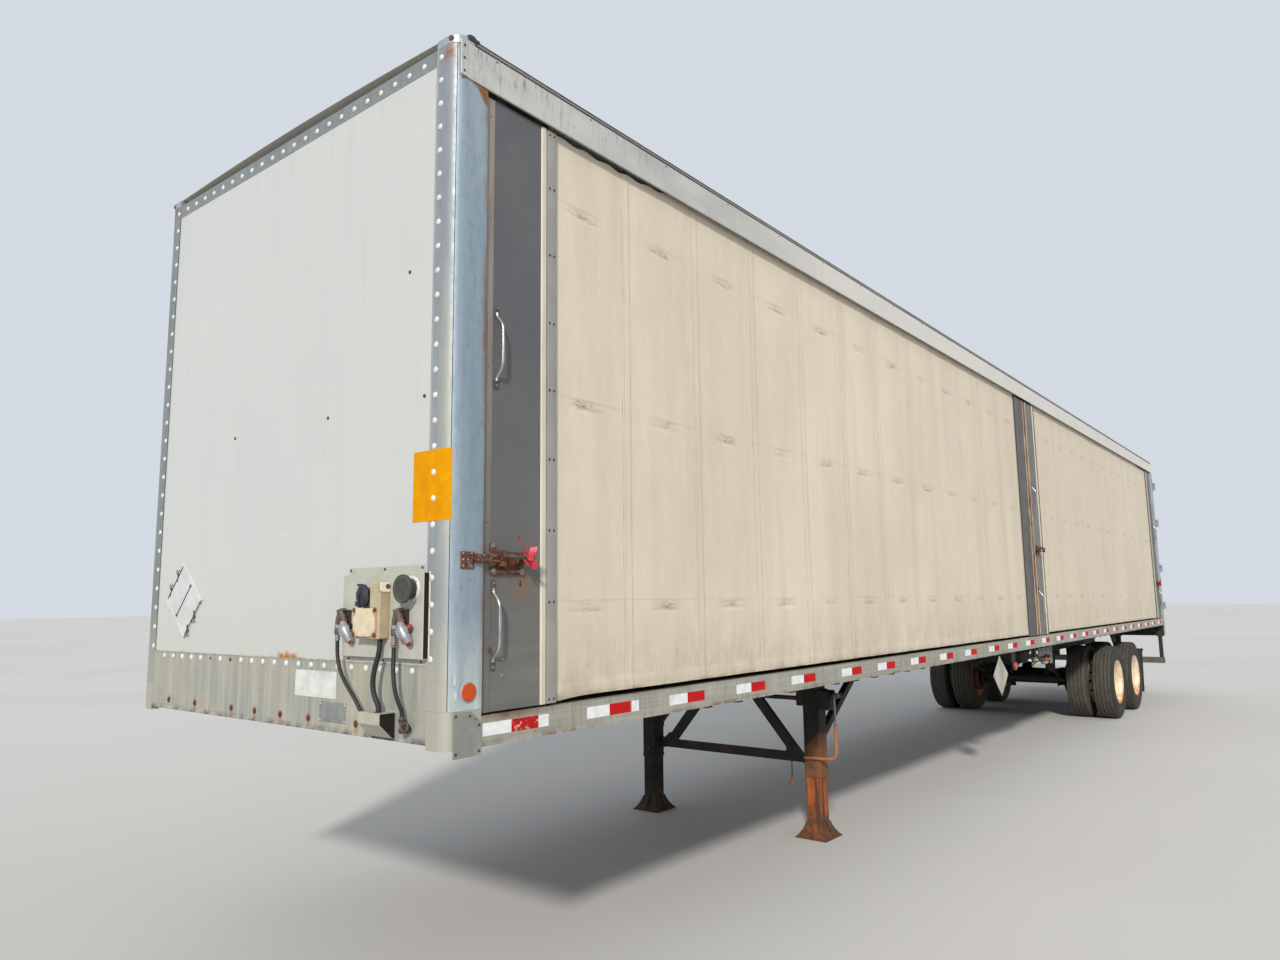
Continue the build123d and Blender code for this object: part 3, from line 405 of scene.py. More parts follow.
# ---------------------------------------------------------------- end panels and their strips
m = Mat("panel_grey", 0.55)
z = m.xyz(2)
col = m.mix(m.rng(z, 1.4, 3.0, 0.0, 1.0, True), C(96, 98, 95), C(84, 85, 88))
col = m.mix(m.rng(m.noise(2.2, 6, 0.7), 0.40, 0.66, 0, 0.55), col, C(98, 98, 98))
col = m.mix(m.rng(m.noise(90, 4, 0.7), 0.50, 0.72, 0, 0.16), col, C(122, 122, 124))
col = m.mix(m.math("MULTIPLY", m.rng(z, 1.3, 2.0, 1.0, 0.0, True), m.rng(m.noise(5, 6, 0.72, stretch=(0.5, 1, 2)), 0.42, 0.66, 0, 0.7)), col, C(122, 118, 108))
lt = m.math("MULTIPLY", m.band(m.xyz(2), 1.86, 0.07, 0.12), m.band(m.math("ABSOLUTE", m.xyz(0)), 7.73, 0.10, 0.10))
lt = m.math("MULTIPLY", lt, m.rng(m.noise(11, 6, 0.75, stretch=(1, 1, 0.4)), 0.44, 0.62))
col = m.mix(m.math("MULTIPLY", lt, 0.75), col, C(122, 92, 66))
m.color(col).rough(m.rng(m.noise(14, 4), 0.3, 0.7, 0.48, 0.68))
m.bump(m.noise(160, 3, 0.6), 0.22, 0.0012)
PANEL_GREY = m.m

m = Mat("channel_strip", 0.58, 0.05)
col = m.mix(m.rng(m.xyz(2), 1.7, 3.5, 0.0, 1.0, True), C(112, 110, 106), C(148, 138, 130))
col = m.mix(m.rng(m.noise(14, 5, 0.7, stretch=(1, 1, 0.1)), 0.45, 0.68, 0, 0.6), col, C(96, 90, 84))
col = m.mix(m.rng(m.noise(40, 5, 0.7), 0.56, 0.70, 0, 0.4), col, C(134, 112, 92))
m.color(col).rough(m.rng(m.noise(14, 4), 0.3, 0.7, 0.48, 0.7))
m.bump(m.noise(120, 3, 0.6), 0.2, 0.0015)
CHANNEL = m.m
CREAM = painted("cream_strip", C(204, 198, 184), C(172, 160, 140), 0.45, 0.0, cloud=2.5, amount=0.5, streak=0.4).m
STRIP = painted("grey_strip", C(168, 165, 156), C(136, 132, 122), 0.42, 0.45, cloud=4, amount=0.5, streak=0.3).m
MID_DARK = painted("middle_dark", C(76, 76, 78), C(104, 100, 94), 0.55, 0.1, cloud=2, amount=0.7, streak=0.6, streak_scale=24).m
MID_GREY = painted("middle_grey", C(118, 118, 114), C(92, 90, 86), 0.55, 0.1, cloud=2, amount=0.7, streak=0.6, streak_scale=24).m
MID_BROWN = painted("middle_rust", C(150, 122, 92), C(96, 66, 46), 0.75, 0.1, cloud=6, amount=0.9, streak=0.8, rust=0.8, streak_scale=30).m

# ---------------------------------------------------------------- running gear
# near-black chassis paint, set darker than black paint so that these parts read as the shade under the body: partly
# painted shade
BLACK_PAINT_AND_SHADE = painted("chassis_black_and_painted_shade", C(25, 25, 26), C(50, 45, 40), 0.66, 0.05, cloud=3, amount=0.5, grain=0.3, rust=0.42,
                rust_scale=5).m
DARK_PAINT_AND_SHADE = painted("chassis_dark_and_painted_shade", C(22, 22, 23), C(40, 37, 34), 0.7, 0.0, cloud=4, amount=0.5, grain=0.3, rust=0.3, rust_scale=4).m

# leg rust and painted shadow: above a line that slants with Y (near 0.68 m on the left leg) the legs are near-black
# painted shadow of the body, and the right leg is painted shadow all over; below the line the rust shows as if sunlit
m = Mat("leg_rust_and_painted_shadow", 0.8)
z, y = m.xyz(2), m.xyz(1)
painted_sunlit_mask = m.math("MULTIPLY", m.rng(y, 0.2, 0.5), m.rng(m.math("ADD", m.math("SUBTRACT", z, m.math("MULTIPLY", m.math("SUBTRACT", y, 0.70), 0.78)), m.math("MULTIPLY", m.noise(6, 4), 0.08)), 0.63, 0.70, 1.0, 0.0, True))
dark = m.mix(m.rng(m.noise(9, 6, 0.7), 0.40, 0.62), C(24, 22, 20), C(40, 33, 26))
org = m.mix(m.rng(m.noise(16, 6, 0.72, stretch=(1, 1, 0.35)), 0.36, 0.64), C(180, 92, 38), C(104, 53, 26))
org = m.mix(m.rng(m.noise(5, 5, 0.7, shift=(2, 0, 0)), 0.52, 0.66, 0, 0.8), org, C(58, 43, 32))
org = m.mix(m.math("MULTIPLY", m.rng(m.noise(70, 4, 0.7), 0.55, 0.7), 0.5), org, C(166, 102, 49))
strk = m.rng(m.noise(26, 5, 0.7, stretch=(1, 1, 0.05), shift=(0, 3, 0)), 0.49, 0.60, 0, 0.9)
org = m.mix(strk, org, C(58, 42, 30))
# painted shadow: near-black where the sunlit mask is off, rust where it is on
col = m.mix(painted_sunlit_mask, dark, org)
beige = m.math("MULTIPLY", m.math("MULTIPLY", m.rng(m.xyz(2), 0.428, 0.436, 0.0, 1.0), m.rng(m.xyz(2), 0.74, 0.82, 1.0, 0.0, True)), painted_sunlit_mask)
col = m.mix(m.math("MULTIPLY", beige, m.rng(m.noise(12, 5, 0.7), 0.30, 0.56, 0.45, 0.9)), col, m.mix(m.noise(30, 5, 0.7), C(117, 83, 51), C(89, 65, 41)))
lowd = m.math("MULTIPLY", m.rng(m.xyz(2), 0.10, 0.22, 1.0, 0.0, True), m.rng(m.noise(10, 5, 0.7), 0.34, 0.60, 0.4, 0.95))
col = m.mix(lowd, col, m.mix(m.noise(24, 5, 0.7), C(84, 60, 35), C(50, 40, 27)))
m.color(col).rough(m.rng(m.noise(20, 4), 0.3, 0.7, 0.72, 0.95))
m.bump(m.noise(60, 6, 0.75), 0.35, 0.003)
m.bump(m.noise(300, 3), 0.2, 0.001)
LEG_RUST_AND_PAINTED_SHADOW = m.m
HANDLE = painted("crank_handle", C(178, 116, 86), C(134, 80, 54), 0.7, 0.1, cloud=18, amount=0.8, grain=0.3, rust=0.4, rust_scale=26).m

m = Mat("rusty_fittings", 0.82, 0.15)
col = m.mix(m.rng(m.noise(30, 6, 0.72), 0.36, 0.64), C(112, 72, 50), C(62, 44, 36))
col = m.mix(m.rng(m.noise(80, 5, 0.75), 0.54, 0.66, 0, 0.85), col, C(168, 92, 46))
col = m.mix(m.rng(m.noise(24, 4, 0.7, shift=(5, 0, 0)), 0.56, 0.66, 0, 0.6), col, C(146, 138, 126))
m.color(col).rough(m.rng(m.noise(30, 4), 0.3, 0.7, 0.66, 0.95))
m.bump(m.noise(160, 5, 0.75), 0.4, 0.0015)
RUST_METAL = m.m

m = Mat("rust_bolt", 0.85, 0.1)
col = m.mix(m.rng(m.noise(90, 5, 0.7), 0.4, 0.62), C(124, 70, 44), C(70, 44, 34))
m.color(col)
m.bump(m.noise(300, 4), 0.4, 0.001)
RUST_BOLT = m.m

m = Mat("tyre_rubber", 0.82)
side = m.rng(m.noise(5, 5, 0.7), 0.36, 0.66)
col = m.mix(side, C(35, 35, 36), C(49, 47, 45))
col = m.mix(m.rng(m.noise(50, 5, 0.7), 0.50, 0.72, 0, 0.5), col, C(76, 71, 64))
m.color(col).rough(m.rng(m.noise(30, 4), 0.3, 0.7, 0.74, 0.92))
m.bump(m.noise(120, 4, 0.7), 0.25, 0.0015)
TYRE = m.m

m = Mat("tyre_tread", 0.88)
col = m.mix(m.rng(m.noise(9, 5, 0.7), 0.36, 0.66), C(60, 58, 52), C(80, 76, 66))
col = m.mix(m.rng(m.noise(90, 5, 0.7), 0.50, 0.72, 0, 0.6), col, C(96, 91, 79))
m.color(col)
m.bump(m.noise(200, 4, 0.7), 0.3, 0.0015)
TREAD = m.m

m = Mat("wheel_cream", 0.45, 0.0)
col = m.mix(m.rng(m.noise(7, 5, 0.65), 0.36, 0.66), C(232, 220, 192), C(214, 198, 164))
rr = m.noise(13, 7, 0.75, dist=0.5)
rf = m.rng(rr, 0.58, 0.66)
lowr = m.math("MULTIPLY", m.rng(m.xyz(2), 0.22, 0.42, 1.0, 0.0, True), m.rng(m.noise(9, 6, 0.75), 0.40, 0.56))
rf = m.math("MAXIMUM", rf, m.math("MULTIPLY", lowr, 0.9))
wx = m.math("MINIMUM", m.math("ABSOLUTE", m.math("SUBTRACT", m.xyz(0), -3.965)), m.math("ABSOLUTE", m.math("SUBTRACT", m.xyz(0), -5.210)))
wz = m.math("SUBTRACT", m.xyz(2), 0.5)
rad = m.math("SQRT", m.math("ADD", m.math("MULTIPLY", wx, wx), m.math("MULTIPLY", wz, wz)))
edge = m.math("MULTIPLY", m.rng(m.math("ADD", rad, m.math("MULTIPLY", m.math("SUBTRACT", m.noise(8, 5, 0.7), 0.5), 0.10)), 0.268, 0.296), m.rng(m.xyz(2), 0.62, 0.30, 0.35, 1.0))
rf = m.math("MAXIMUM", rf, edge)
col = m.mix(rf, col, m.mix(m.noise(50, 4), C(206, 126, 46), C(140, 78, 36)))
m.color(col).rough(m.math("ADD", m.rng(m.noise(20, 4), 0.3, 0.7, 0.38, 0.5), m.math("MULTIPLY", rf, 0.35)))
m.bump(rf, 0.3, 0.001)
m.bump(m.noise(180, 3), 0.12, 0.001)
WHEEL = m.m
HUB = painted("hub_metal", C(120, 112, 100), C(80, 62, 48), 0.6, 0.4, cloud=14, amount=0.8, rust=0.7, rust_scale=14).m

# ---------------------------------------------------------------- small things
RIVET = painted("rivet_head", C(216, 215, 206), C(188, 184, 170), 0.38, 0.05, cloud=30, amount=0.6).m
SCREW = painted("screw_head", C(86, 84, 82), C(52, 48, 46), 0.5, 0.5, cloud=90, amount=0.7).m
BOLT = painted("bolt_zinc", C(150, 150, 148), C(110, 104, 96), 0.42, 0.7, cloud=60, amount=0.7).m
ZINC = painted("handle_zinc", C(188, 190, 190), C(140, 140, 138), 0.32, 0.85, cloud=20, amount=0.7, grain=0.2).m
RED = painted("latch_red", C(206, 44, 66), C(158, 30, 48), 0.42, 0.0, cloud=40, amount=0.6).m
LABEL = painted("blank_plate", C(206, 208, 205), C(160, 156, 146), 0.5, 0.0, cloud=12, amount=0.6).m
DATA = painted("blank_data_plate", C(146, 150, 148), C(112, 114, 110), 0.45, 0.4, cloud=14, amount=0.7).m
PLACARD = painted("placard_white", C(200, 203, 204), C(168, 168, 160), 0.42, 0.05, cloud=8, amount=0.5).m
KITE = painted("hanging_flap", C(188, 188, 176), C(132, 128, 114), 0.6, 0.0, cloud=7, amount=0.8, streak=0.6).m
SERVICE = painted("service_panel", C(150, 151, 147), C(120, 118, 107), 0.45, 0.15, cloud=4, amount=0.6, streak=0.4).m
# painted shade: near-black surfaces that stand in for the shade in gaps, holes and recesses
SHADOW = painted("painted_gap_shade", C(40, 36, 32), C(60, 52, 44), 0.9, 0.0).m
CREAM_BOX = painted("box_cream", C(184, 174, 146), C(144, 130, 100), 0.5, 0.0, cloud=16, amount=0.6, streak=0.4, rust=0.05,
                    rust_scale=16, rust_col=C(176, 112, 60)).m
HOOD = painted("hood_cream", C(184, 180, 160), C(142, 136, 116), 0.5, 0.0, cloud=12, amount=0.7, streak=0.5).m
RUBBER = painted("rubber_black", C(38, 39, 41), C(72, 70, 66), 0.55, 0.0, cloud=40, amount=0.5, grain=0.3).m
CAP_DARK = painted("socket_cap", C(30, 33, 46), C(60, 63, 74), 0.5, 0.1, cloud=30, amount=0.6).m
CAST = painted("cast_grey", C(150, 150, 150), C(104, 100, 94), 0.5, 0.55, cloud=40, amount=0.8, rust=0.2, rust_scale=30).m
CAST_DARK = painted("cast_dark", C(104, 98, 90), C(66, 54, 44), 0.6, 0.35, cloud=40, amount=0.8, rust=0.5, rust_scale=26).m
BRASS = painted("brass_dull", C(140, 112, 66), C(90, 78, 54), 0.45, 0.8, cloud=60, amount=0.8).m
SEAL_RED = painted("seal_red", C(166, 44, 44), C(112, 38, 34), 0.6, 0.0, cloud=60, amount=0.7).m
SEAL_RUST = painted("seal_rust", C(160, 88, 58), C(108, 60, 42), 0.7, 0.0, cloud=60, amount=0.7).m
SEAL_GREY = painted("door_seal", C(48, 48, 50), C(74, 72, 70), 0.75, 0.0, cloud=10, amount=0.6).m
FLAP = painted("mud_flap", C(34, 34, 35), C(62, 57, 50), 0.8, 0.0, cloud=3, amount=0.6, streak=0.4).m
DOOR = painted("door_white", C(214, 214, 211), C(176, 172, 162), 0.45, 0.05, cloud=0.9, amount=0.6, streak=0.35, streak_scale=12).m
TANK = painted("tank_black", C(26, 26, 29), C(56, 52, 47), 0.45, 0.2, cloud=5, amount=0.6, rust=0.3).m

m = Mat("reflective_white", 0.55)
col = m.mix(m.rng(m.noise(14, 5, 0.7), 0.4, 0.7), C(232, 234, 234), C(206, 208, 204))
hx = m.voro(260)
col = m.mix(m.rng(hx, 0.3, 0.6, 0, 0.10), col, C(180, 182, 182))
col = m.mix(m.rng(m.noise(45, 6, 0.8), 0.66, 0.70, 0, 0.8), col, C(150, 146, 136))
m.color(col)
m.bump(hx, 0.12, 0.0006)
m.b.inputs["Specular IOR Level"].default_value = 0.18
TAPE_W = m.m

m = Mat("reflective_red", 0.6)
col = m.mix(m.rng(m.noise(14, 5, 0.7), 0.4, 0.7), C(196, 12, 16), C(172, 12, 16))
hx = m.voro(260)
col = m.mix(m.rng(hx, 0.3, 0.6, 0, 0.15), col, C(140, 8, 12))
col = m.mix(m.rng(m.noise(45, 6, 0.8, shift=(3, 0, 0)), 0.67, 0.70, 0, 0.9), col, C(196, 176, 166))
m.color(col)
m.bump(hx, 0.12, 0.0006)
m.b.inputs["Specular IOR Level"].default_value = 0.18
TAPE_R = m.m

m = Mat("reflective_red_torn", 0.6)
tear = m.rng(m.noise(26, 5, 0.7, stretch=(1, 1, 1.4), shift=(0.4, 0, 0.7)), 0.555, 0.57)
col = m.mix(tear, m.mix(m.noise(20, 4), C(196, 14, 18), C(164, 14, 18)), C(186, 170, 156))
m.color(col)
m.bump(tear, -0.5, 0.0006)
m.b.inputs["Specular IOR Level"].default_value = 0.18
TAPE_TORN = m.m

m = Mat("warning_yellow_blank", 0.7)
col = m.mix(m.rng(m.noise(18, 5, 0.7), 0.36, 0.66), C(209, 145, 1), C(196, 127, 1))
col = m.mix(m.rng(m.noise(60, 6, 0.8), 0.62, 0.68, 0, 0.7), col, C(196, 92, 20))
m.color(col)
m.bump(m.noise(40, 4), 0.2, 0.001)
m.b.inputs["Specular IOR Level"].default_value = 0.08
STICKER = m.m

m = Mat("amber_lens", 0.42)
pr = m.voro(620, feature="DISTANCE_TO_EDGE")
col = m.mix(m.rng(pr, 0.0, 0.12), C(176, 52, 2), C(208, 74, 6))
col = m.mix(m.rng(m.noise(50, 4), 0.45, 0.65, 0, 0.7), col, C(168, 66, 14))
m.color(col)
m.bump(pr, 0.3, 0.0008)
m.b.inputs["Coat Weight"].default_value = 0.15
m.b.inputs["Specular IOR Level"].default_value = 0.3
AMBER = m.m

m = Mat("red_lens", 0.25)
pr = m.voro(240, feature="DISTANCE_TO_EDGE")
m.color(m.mix(m.rng(pr, 0.0, 0.12), C(110, 8, 10), C(186, 20, 24)))
m.bump(pr, 0.3, 0.0008)
m.b.inputs["Coat Weight"].default_value = 0.6
RED_LENS = m.m

m = Mat("lamp_dark_glass", 0.22)
col = m.mix(m.rng(m.noise(24, 4), 0.36, 0.66), C(108, 104, 80), C(76, 76, 60))
m.color(col)
m.bump(m.math("SINE", m.math("MULTIPLY", m.xyz(2), 2 * pi / 0.006)), 0.25, 0.0008)
m.b.inputs["Coat Weight"].default_value = 0.5
LAMP_GLASS = m.m

m = Mat("deck_boards", 0.75)
bw = 0.31
u = m.math("FLOORED_MODULO", m.math("ADD", m.xyz(1), 5.0), bw)
plank = m.math("FLOOR", m.math("DIVIDE", m.math("ADD", m.xyz(1), 5.0), bw))
tone = m.math("FRACT", m.math("MULTIPLY", m.math("SINE", m.math("MULTIPLY", plank, 12.9898)), 43758.5))
grain = m.noise(14, 6, 0.65, stretch=(0.12, 1, 1), dist=0.4)
col = m.mix(m.rng(grain, 0.36, 0.66), C(140, 104, 68), C(98, 70, 46))
col = m.mix(m.math("MULTIPLY", tone, 0.35), col, C(112, 92, 70))
col = m.mix(m.rng(m.noise(2.5, 5, 0.7), 0.5, 0.7, 0, 0.6), col, C(86, 78, 68))
col = m.mix(m.math("LESS_THAN", u, 0.004), col, C(28, 22, 18))
m.color(col).rough(m.rng(grain, 0.3, 0.7, 0.6, 0.85))
m.bump(grain, 0.25, 0.002)
DECK = m.m
INNER_STEEL = painted("bow_steel", C(150, 154, 158), C(110, 108, 104), 0.5, 0.5, cloud=5, amount=0.6).m


# ================================================================ mesh builder
class MB:
    """Gathers faces of one piece, with a material for each."""

    def __init__(self, name):
        self.name = name
        self.v, self.f, self.mi, self.mats = [], [], [], []
        self.cur = 0

    def use(self, mat):
        if mat not in self.mats:
            self.mats.append(mat)
        self.cur = self.mats.index(mat)
        return self

    def add(self, vs, fs):
        o = len(self.v)
        self.v.extend(tuple(p) for p in vs)
        self.f.extend(tuple(o + i for i in f) for f in fs)
        self.mi.extend([self.cur] * len(fs))

    def done(self, body="root", stands_for=(), slot=None, sharp=32, closed=True):
        me = bpy.data.meshes.new(self.name)
        me.from_pydata(self.v, [], self.f)
        for mt in self.mats:
            me.materials.append(mt)
        me.polygons.foreach_set("material_index", self.mi)
        if closed:
            bm = bmesh.new()
            bm.from_mesh(me)
            bmesh.ops.recalc_face_normals(bm, faces=bm.faces)
            bm.to_mesh(me)
            bm.free()
        me.shade_smooth()
        me.set_sharp_from_angle(angle=radians(sharp))
        ob = bpy.data.objects.new(self.name, me)
        SCN.collection.objects.link(ob)
        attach(ob, body)
        if stands_for:
            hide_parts(*stands_for)
        return ob


def brick(b, lo, hi, c=0.0015):
    """Block with a small chamfer along every edge."""
    lo, hi = [min(p, q) for p, q in zip(lo, hi)], [max(p, q) for p, q in zip(lo, hi)]
    c = min([c] + [0.45 * (h - l) for l, h in zip(lo, hi)])
    vs, fs = [], []
    for i in range(8):
        sx, sy, sz = i & 1, (i >> 1) & 1, (i >> 2) & 1
        x, y, z = (hi[0] if sx else lo[0]), (hi[1] if sy else lo[1]), (hi[2] if sz else lo[2])
        dx, dy, dz = (-c if sx else c), (-c if sy else c), (-c if sz else c)
        vs += [(x, y + dy, z + dz), (x + dx, y, z + dz), (x + dx, y + dy, z)]
        fs.append((3 * i, 3 * i + 1, 3 * i + 2))
    for k, (p, q) in enumerate(((2, 4), (1, 4), (1, 2))):
        a = 7 - p - q
        for side in (0, a):
            fs.append(tuple(3 * (side + e) + k for e in (0, p, p + q, q)))
        for e in (0, p, q, p + q):
            k1, k2 = [n for n in range(3) if n != k]
            fs.append((3 * e + k1, 3 * (e + a) + k1, 3 * (e + a) + k2, 3 * e + k2))
    b.add(vs, fs)


def inset(pts, c):
    """Outline moved inwards by c."""
    n = len(pts)
    area = sum(pts[i][0] * pts[(i + 1) % n][1] - pts[(i + 1) % n][0] * pts[i][1] for i in range(n))
    s = 1 if area > 0 else -1
    out = []
    for i in range(n):
        p0, p1, p2 = Vector(pts[i - 1][:2]), Vector(pts[i][:2]), Vector(pts[(i + 1) % n][:2])
        d0, d1 = (p1 - p0).normalized(), (p2 - p1).normalized()
        n0, n1 = Vector((-d0.y, d0.x)) * s, Vector((-d1.y, d1.x)) * s
        k = n0 + n1
        k = k / max(k.length_squared, 1e-9) * 2
        if k.length > 3:
            k = k.normalized() * 3
        out.append((p1.x + k.x * c, p1.y + k.y * c))
    return out


PUT = {"x": lambda u, v, w: (w, u, v), "y": lambda u, v, w: (u, w, v), "z": lambda u, v, w: (u, v, w)}


def prism(b, pts, axis, a, e, c=0.0):
    """Closed outline drawn along an axis from a to e, its end edges chamfered by c."""
    put, n = PUT[axis], len(pts)
    sg = 1 if e > a else -1
    rings = []
    if c:
        inn = inset(pts, c)
        rings = [(inn, a), (pts, a + sg * c), (pts, e - sg * c), (inn, e)]
    else:
        rings = [(pts, a), (pts, e)]
    vs, fs = [], []
    for ps, w in rings:
        vs += [put(p[0], p[1], w) for p in ps]
    for r in range(len(rings) - 1):
        for i in range(n):
            j = (i + 1) % n
            fs.append((r * n + i, r * n + j, (r + 1) * n + j, (r + 1) * n + i))
    fs.append(tuple(range(n)))
    fs.append(tuple((len(rings) - 1) * n + i for i in range(n)))
    b.add(vs, fs)


def frame_of(axis):
    d = Vector(axis).normalized()
    u = Vector((0, 0, 1)) if abs(d.z) < 0.9 else Vector((1, 0, 0))
    u = (u - d * u.dot(d)).normalized()
    return d, u, d.cross(u)


def lathe(b, prof, at, axis, n=24, loop=False, a0=0.0):
    """Outline turned about an axis. prof holds (radius, distance along the axis) rows."""
    d, u, w = frame_of(axis)
    at = Vector(at)
    vs, fs, rows = [], [], []
    for r, h in prof:
        if r < 1e-7:
            rows.append([len(vs)] * n)
            vs.append(at + d * h)
        else:
            rows.append(list(range(len(vs), len(vs) + n)))
            for i in range(n):
                t = a0 + 2 * pi * i / n
                vs.append(at + d * h + (u * cos(t) + w * sin(t)) * r)
    m = len(rows)
    for k in range(m if loop else m - 1):
        r0, r1 = rows[k], rows[(k + 1) % m]
        for i in range(n):
            j = (i + 1) % n
            q = [r0[i], r0[j], r1[j], r1[i]]
            q = [x for t, x in enumerate(q) if x not in q[:t]]
            if len(q) > 2:
                fs.append(tuple(q))
    if not loop:
        if rows[0][0] != rows[0][-1]:
            fs.append(tuple(rows[0]))
        if rows[-1][0] != rows[-1][-1]:
            fs.append(tuple(rows[-1]))
    b.add(vs, fs)


def dome(b, at, axis, r, h, n=10):
    lathe(b, [(r, -0.0005), (r, h * 0.12), (r * 0.9, h * 0.5), (r * 0.62, h * 0.86), (r * 0.25, h), (0, h)], at, axis, n)


def hexbolt(b, at, axis, r, h, washer=True, a0=0.0):
    if washer:
        lathe(b, [(r * 1.75, -0.0005), (r * 1.75, h * 0.16), (r * 1.65, h * 0.24), (0, h * 0.24)], at, axis, 16)
    lathe(b, [(r, 0), (r, h * 0.85), (r * 0.86, h), (0, h)], at, axis, 6, a0=a0)


def screw(b, at, axis, r, h):
    lathe(b, [(r, -0.0005), (r, h * 0.3), (r * 0.8, h * 0.8), (r * 0.35, h), (r * 0.3, h * 0.55), (0, h * 0.55)], at, axis, 10)


def tube(b, pts, r, n=10, cap=True, flat=1.0):
    """Round bar through the points; r may be a list."""
    P = [Vector(p) for p in pts]
    R = r if isinstance(r, (list, tuple)) else [r] * len(P)
    t0 = (P[1] - P[0]).normalized()
    _, u, _ = frame_of(t0)
    vs, fs = [], []
    prev = t0
    for k, p in enumerate(P):
        if k == 0:
            t = t0
        elif k == len(P) - 1:
            t = (P[k] - P[k - 1]).normalized()
        else:
            t = ((P[k + 1] - P[k]).normalized() + (P[k] - P[k - 1]).normalized()).normalized()
        q = prev.rotation_difference(t)
        u = q @ u
        u = (u - t * u.dot(t)).normalized()
        w = t.cross(u)
        prev = t
        for i in range(n):
            a = 2 * pi * i / n
            vs.append(p + (u * cos(a) * flat + w * sin(a)) * R[k])
    for k in range(len(P) - 1):
        for i in range(n):
            j = (i + 1) % n
            fs.append((k * n + i, k * n + j, (k + 1) * n + j, (k + 1) * n + i))
    if cap:
        fs.append(tuple(range(n)))
        fs.append(tuple((len(P) - 1) * n + i for i in range(n)))
    b.add(vs, fs)


def bent_bar(pts, radius, seg=5):
    """Axis of a rigid bar bent to an arc at each corner."""
    P = [Vector(p) for p in pts]
    out = [P[0]]
    for i in range(1, len(P) - 1):
        a, c, e = P[i - 1], P[i], P[i + 1]
        d0, d1 = (a - c).normalized(), (e - c).normalized()
        half = d0.angle(d1) / 2
        cut = min(radius / tan(half), 0.48 * (a - c).length, 0.48 * (e - c).length)
        rr = cut * tan(half)
        mid = c + (d0 + d1).normalized() * (rr / sin(half))
        s0, s1 = c + d0 * cut, c + d1 * cut
        v0, v1 = s0 - mid, s1 - mid
        ang = v0.angle(v1)
        ax = v0.cross(v1).normalized()
        for k in range(seg + 1):
            out.append(mid + Matrix.Rotation(ang * k / seg, 3, ax) @ v0)
    out.append(P[-1])
    return out


def shell(b, path, z0, z1, t, wave=None, rows=1):
    """Sheet metal that follows a path in plan, t thick, from z0 to z1. path holds (x, y, nx, ny)."""
    n = len(path)
    vs, fs = [], []
    for k in range(rows + 1):
        z = z0 + (z1 - z0) * k / rows
        for off in (0.0, t):
            for x, y, nx, ny in path:
                w = off + (wave(x, y, z) if wave else 0.0)
                vs.append((x + nx * w, y + ny * w, z))
    L = 2 * n
    for k in range(rows):
        for i in range(n - 1):
            fs.append((k * L + n + i, k * L + n + i + 1, (k + 1) * L + n + i + 1, (k + 1) * L + n + i))
            fs.append((k * L + i, (k + 1) * L + i, (k + 1) * L + i + 1, k * L + i + 1))
        for i in (0, n - 1):
            fs.append((k * L + i, k * L + n + i, (k + 1) * L + n + i, (k + 1) * L + i))
    for k in (0, rows):
        for i in range(n - 1):
            fs.append((k * L + i, k * L + i + 1, k * L + n + i + 1, k * L + n + i))
    b.add(vs, fs)


def grid(b, nu, nv, fn):
    """Open sheet of quads through fn(i, j)."""
    vs = [fn(i, j) for j in range(nv) for i in range(nu)]
    fs = [(j * nu + i, j * nu + i + 1, (j + 1) * nu + i + 1, (j + 1) * nu + i) for j in range(nv - 1) for i in range(nu - 1)]
    b.add(vs, fs)


def smooth(a, c, x):
    t = min(1.0, max(0.0, (x - a) / (c - a)))
    return t * t * (3 - 2 * t)


# ================================================================ floor and light
floor_m = Mat("stage_floor", 0.9)
floor_m.color(floor_m.mix(floor_m.rng(floor_m.noise(0.15, 4), 0.3, 0.7), C(196, 194, 190), C(188, 186, 182)))
me = bpy.data.meshes.new("stage_floor")
me.from_pydata([(-150, -150, 0), (150, -150, 0), (150, 150, 0), (-150, 150, 0)], [], [(0, 1, 2, 3)])
me.materials.append(floor_m.m)
stage_floor = bpy.data.objects.new("stage_floor", me)
SCN.collection.objects.link(stage_floor)

world = bpy.data.worlds.new("studio")
SCN.world = world
world.use_nodes = True
bg = world.node_tree.nodes["Background"]
bg.inputs[0].default_value = (0.82, 0.88, 0.96, 1.0)
bg.inputs[1].default_value = 0.80
SCN.view_settings.view_transform = "Standard"

sun_data = bpy.data.lights.new("key", "SUN")
sun_data.energy = 3.2
sun_data.angle = radians(5)
sun_data.color = (1.0, 0.95, 0.88)
sun = bpy.data.objects.new("key", sun_data)
SCN.collection.objects.link(sun)
to_sun = Vector((1.80, 1.06, 1.20)).normalized()
sun.rotation_euler = (-to_sun).to_track_quat("-Z", "Y").to_euler()

# ================================================================ the three service lines
# name, radius, control points (metres), which repeat the routes of the CAD
LINES = (
    ("hose_left", 0.0080, 0.4030, ((8.130, 0.651, 1.590), (8.130, 0.651, 1.535), (8.132, 0.670, 1.473), (8.132, 0.715, 1.415),
                                   (8.128, 0.770, 1.363), (8.123, 0.808, 1.318), (8.118, 0.852, 1.256))),
    ("hose_right", 0.0085, 0.3064, ((8.130, 1.038, 1.590), (8.130, 1.038, 1.535), (8.135, 1.043, 1.470), (8.133, 1.052, 1.400),
                                    (8.120, 1.063, 1.345), (8.106, 1.068, 1.318), (8.106, 1.068, 1.290))),
    ("cable_middle", 0.0105, 0.2970, ((8.127, 0.944, 1.592), (8.127, 0.944, 1.545), (8.134, 0.922, 1.480), (8.136, 0.912, 1.420),
                                      (8.132, 0.921, 1.366), (8.126, 0.944, 1.334), (8.126, 0.944, 1.306))),
)
HOSE = painted("hose_cover", C(22, 23, 25), C(48, 46, 44), 0.55, 0.0, cloud=22, amount=0.6, grain=0.25).m
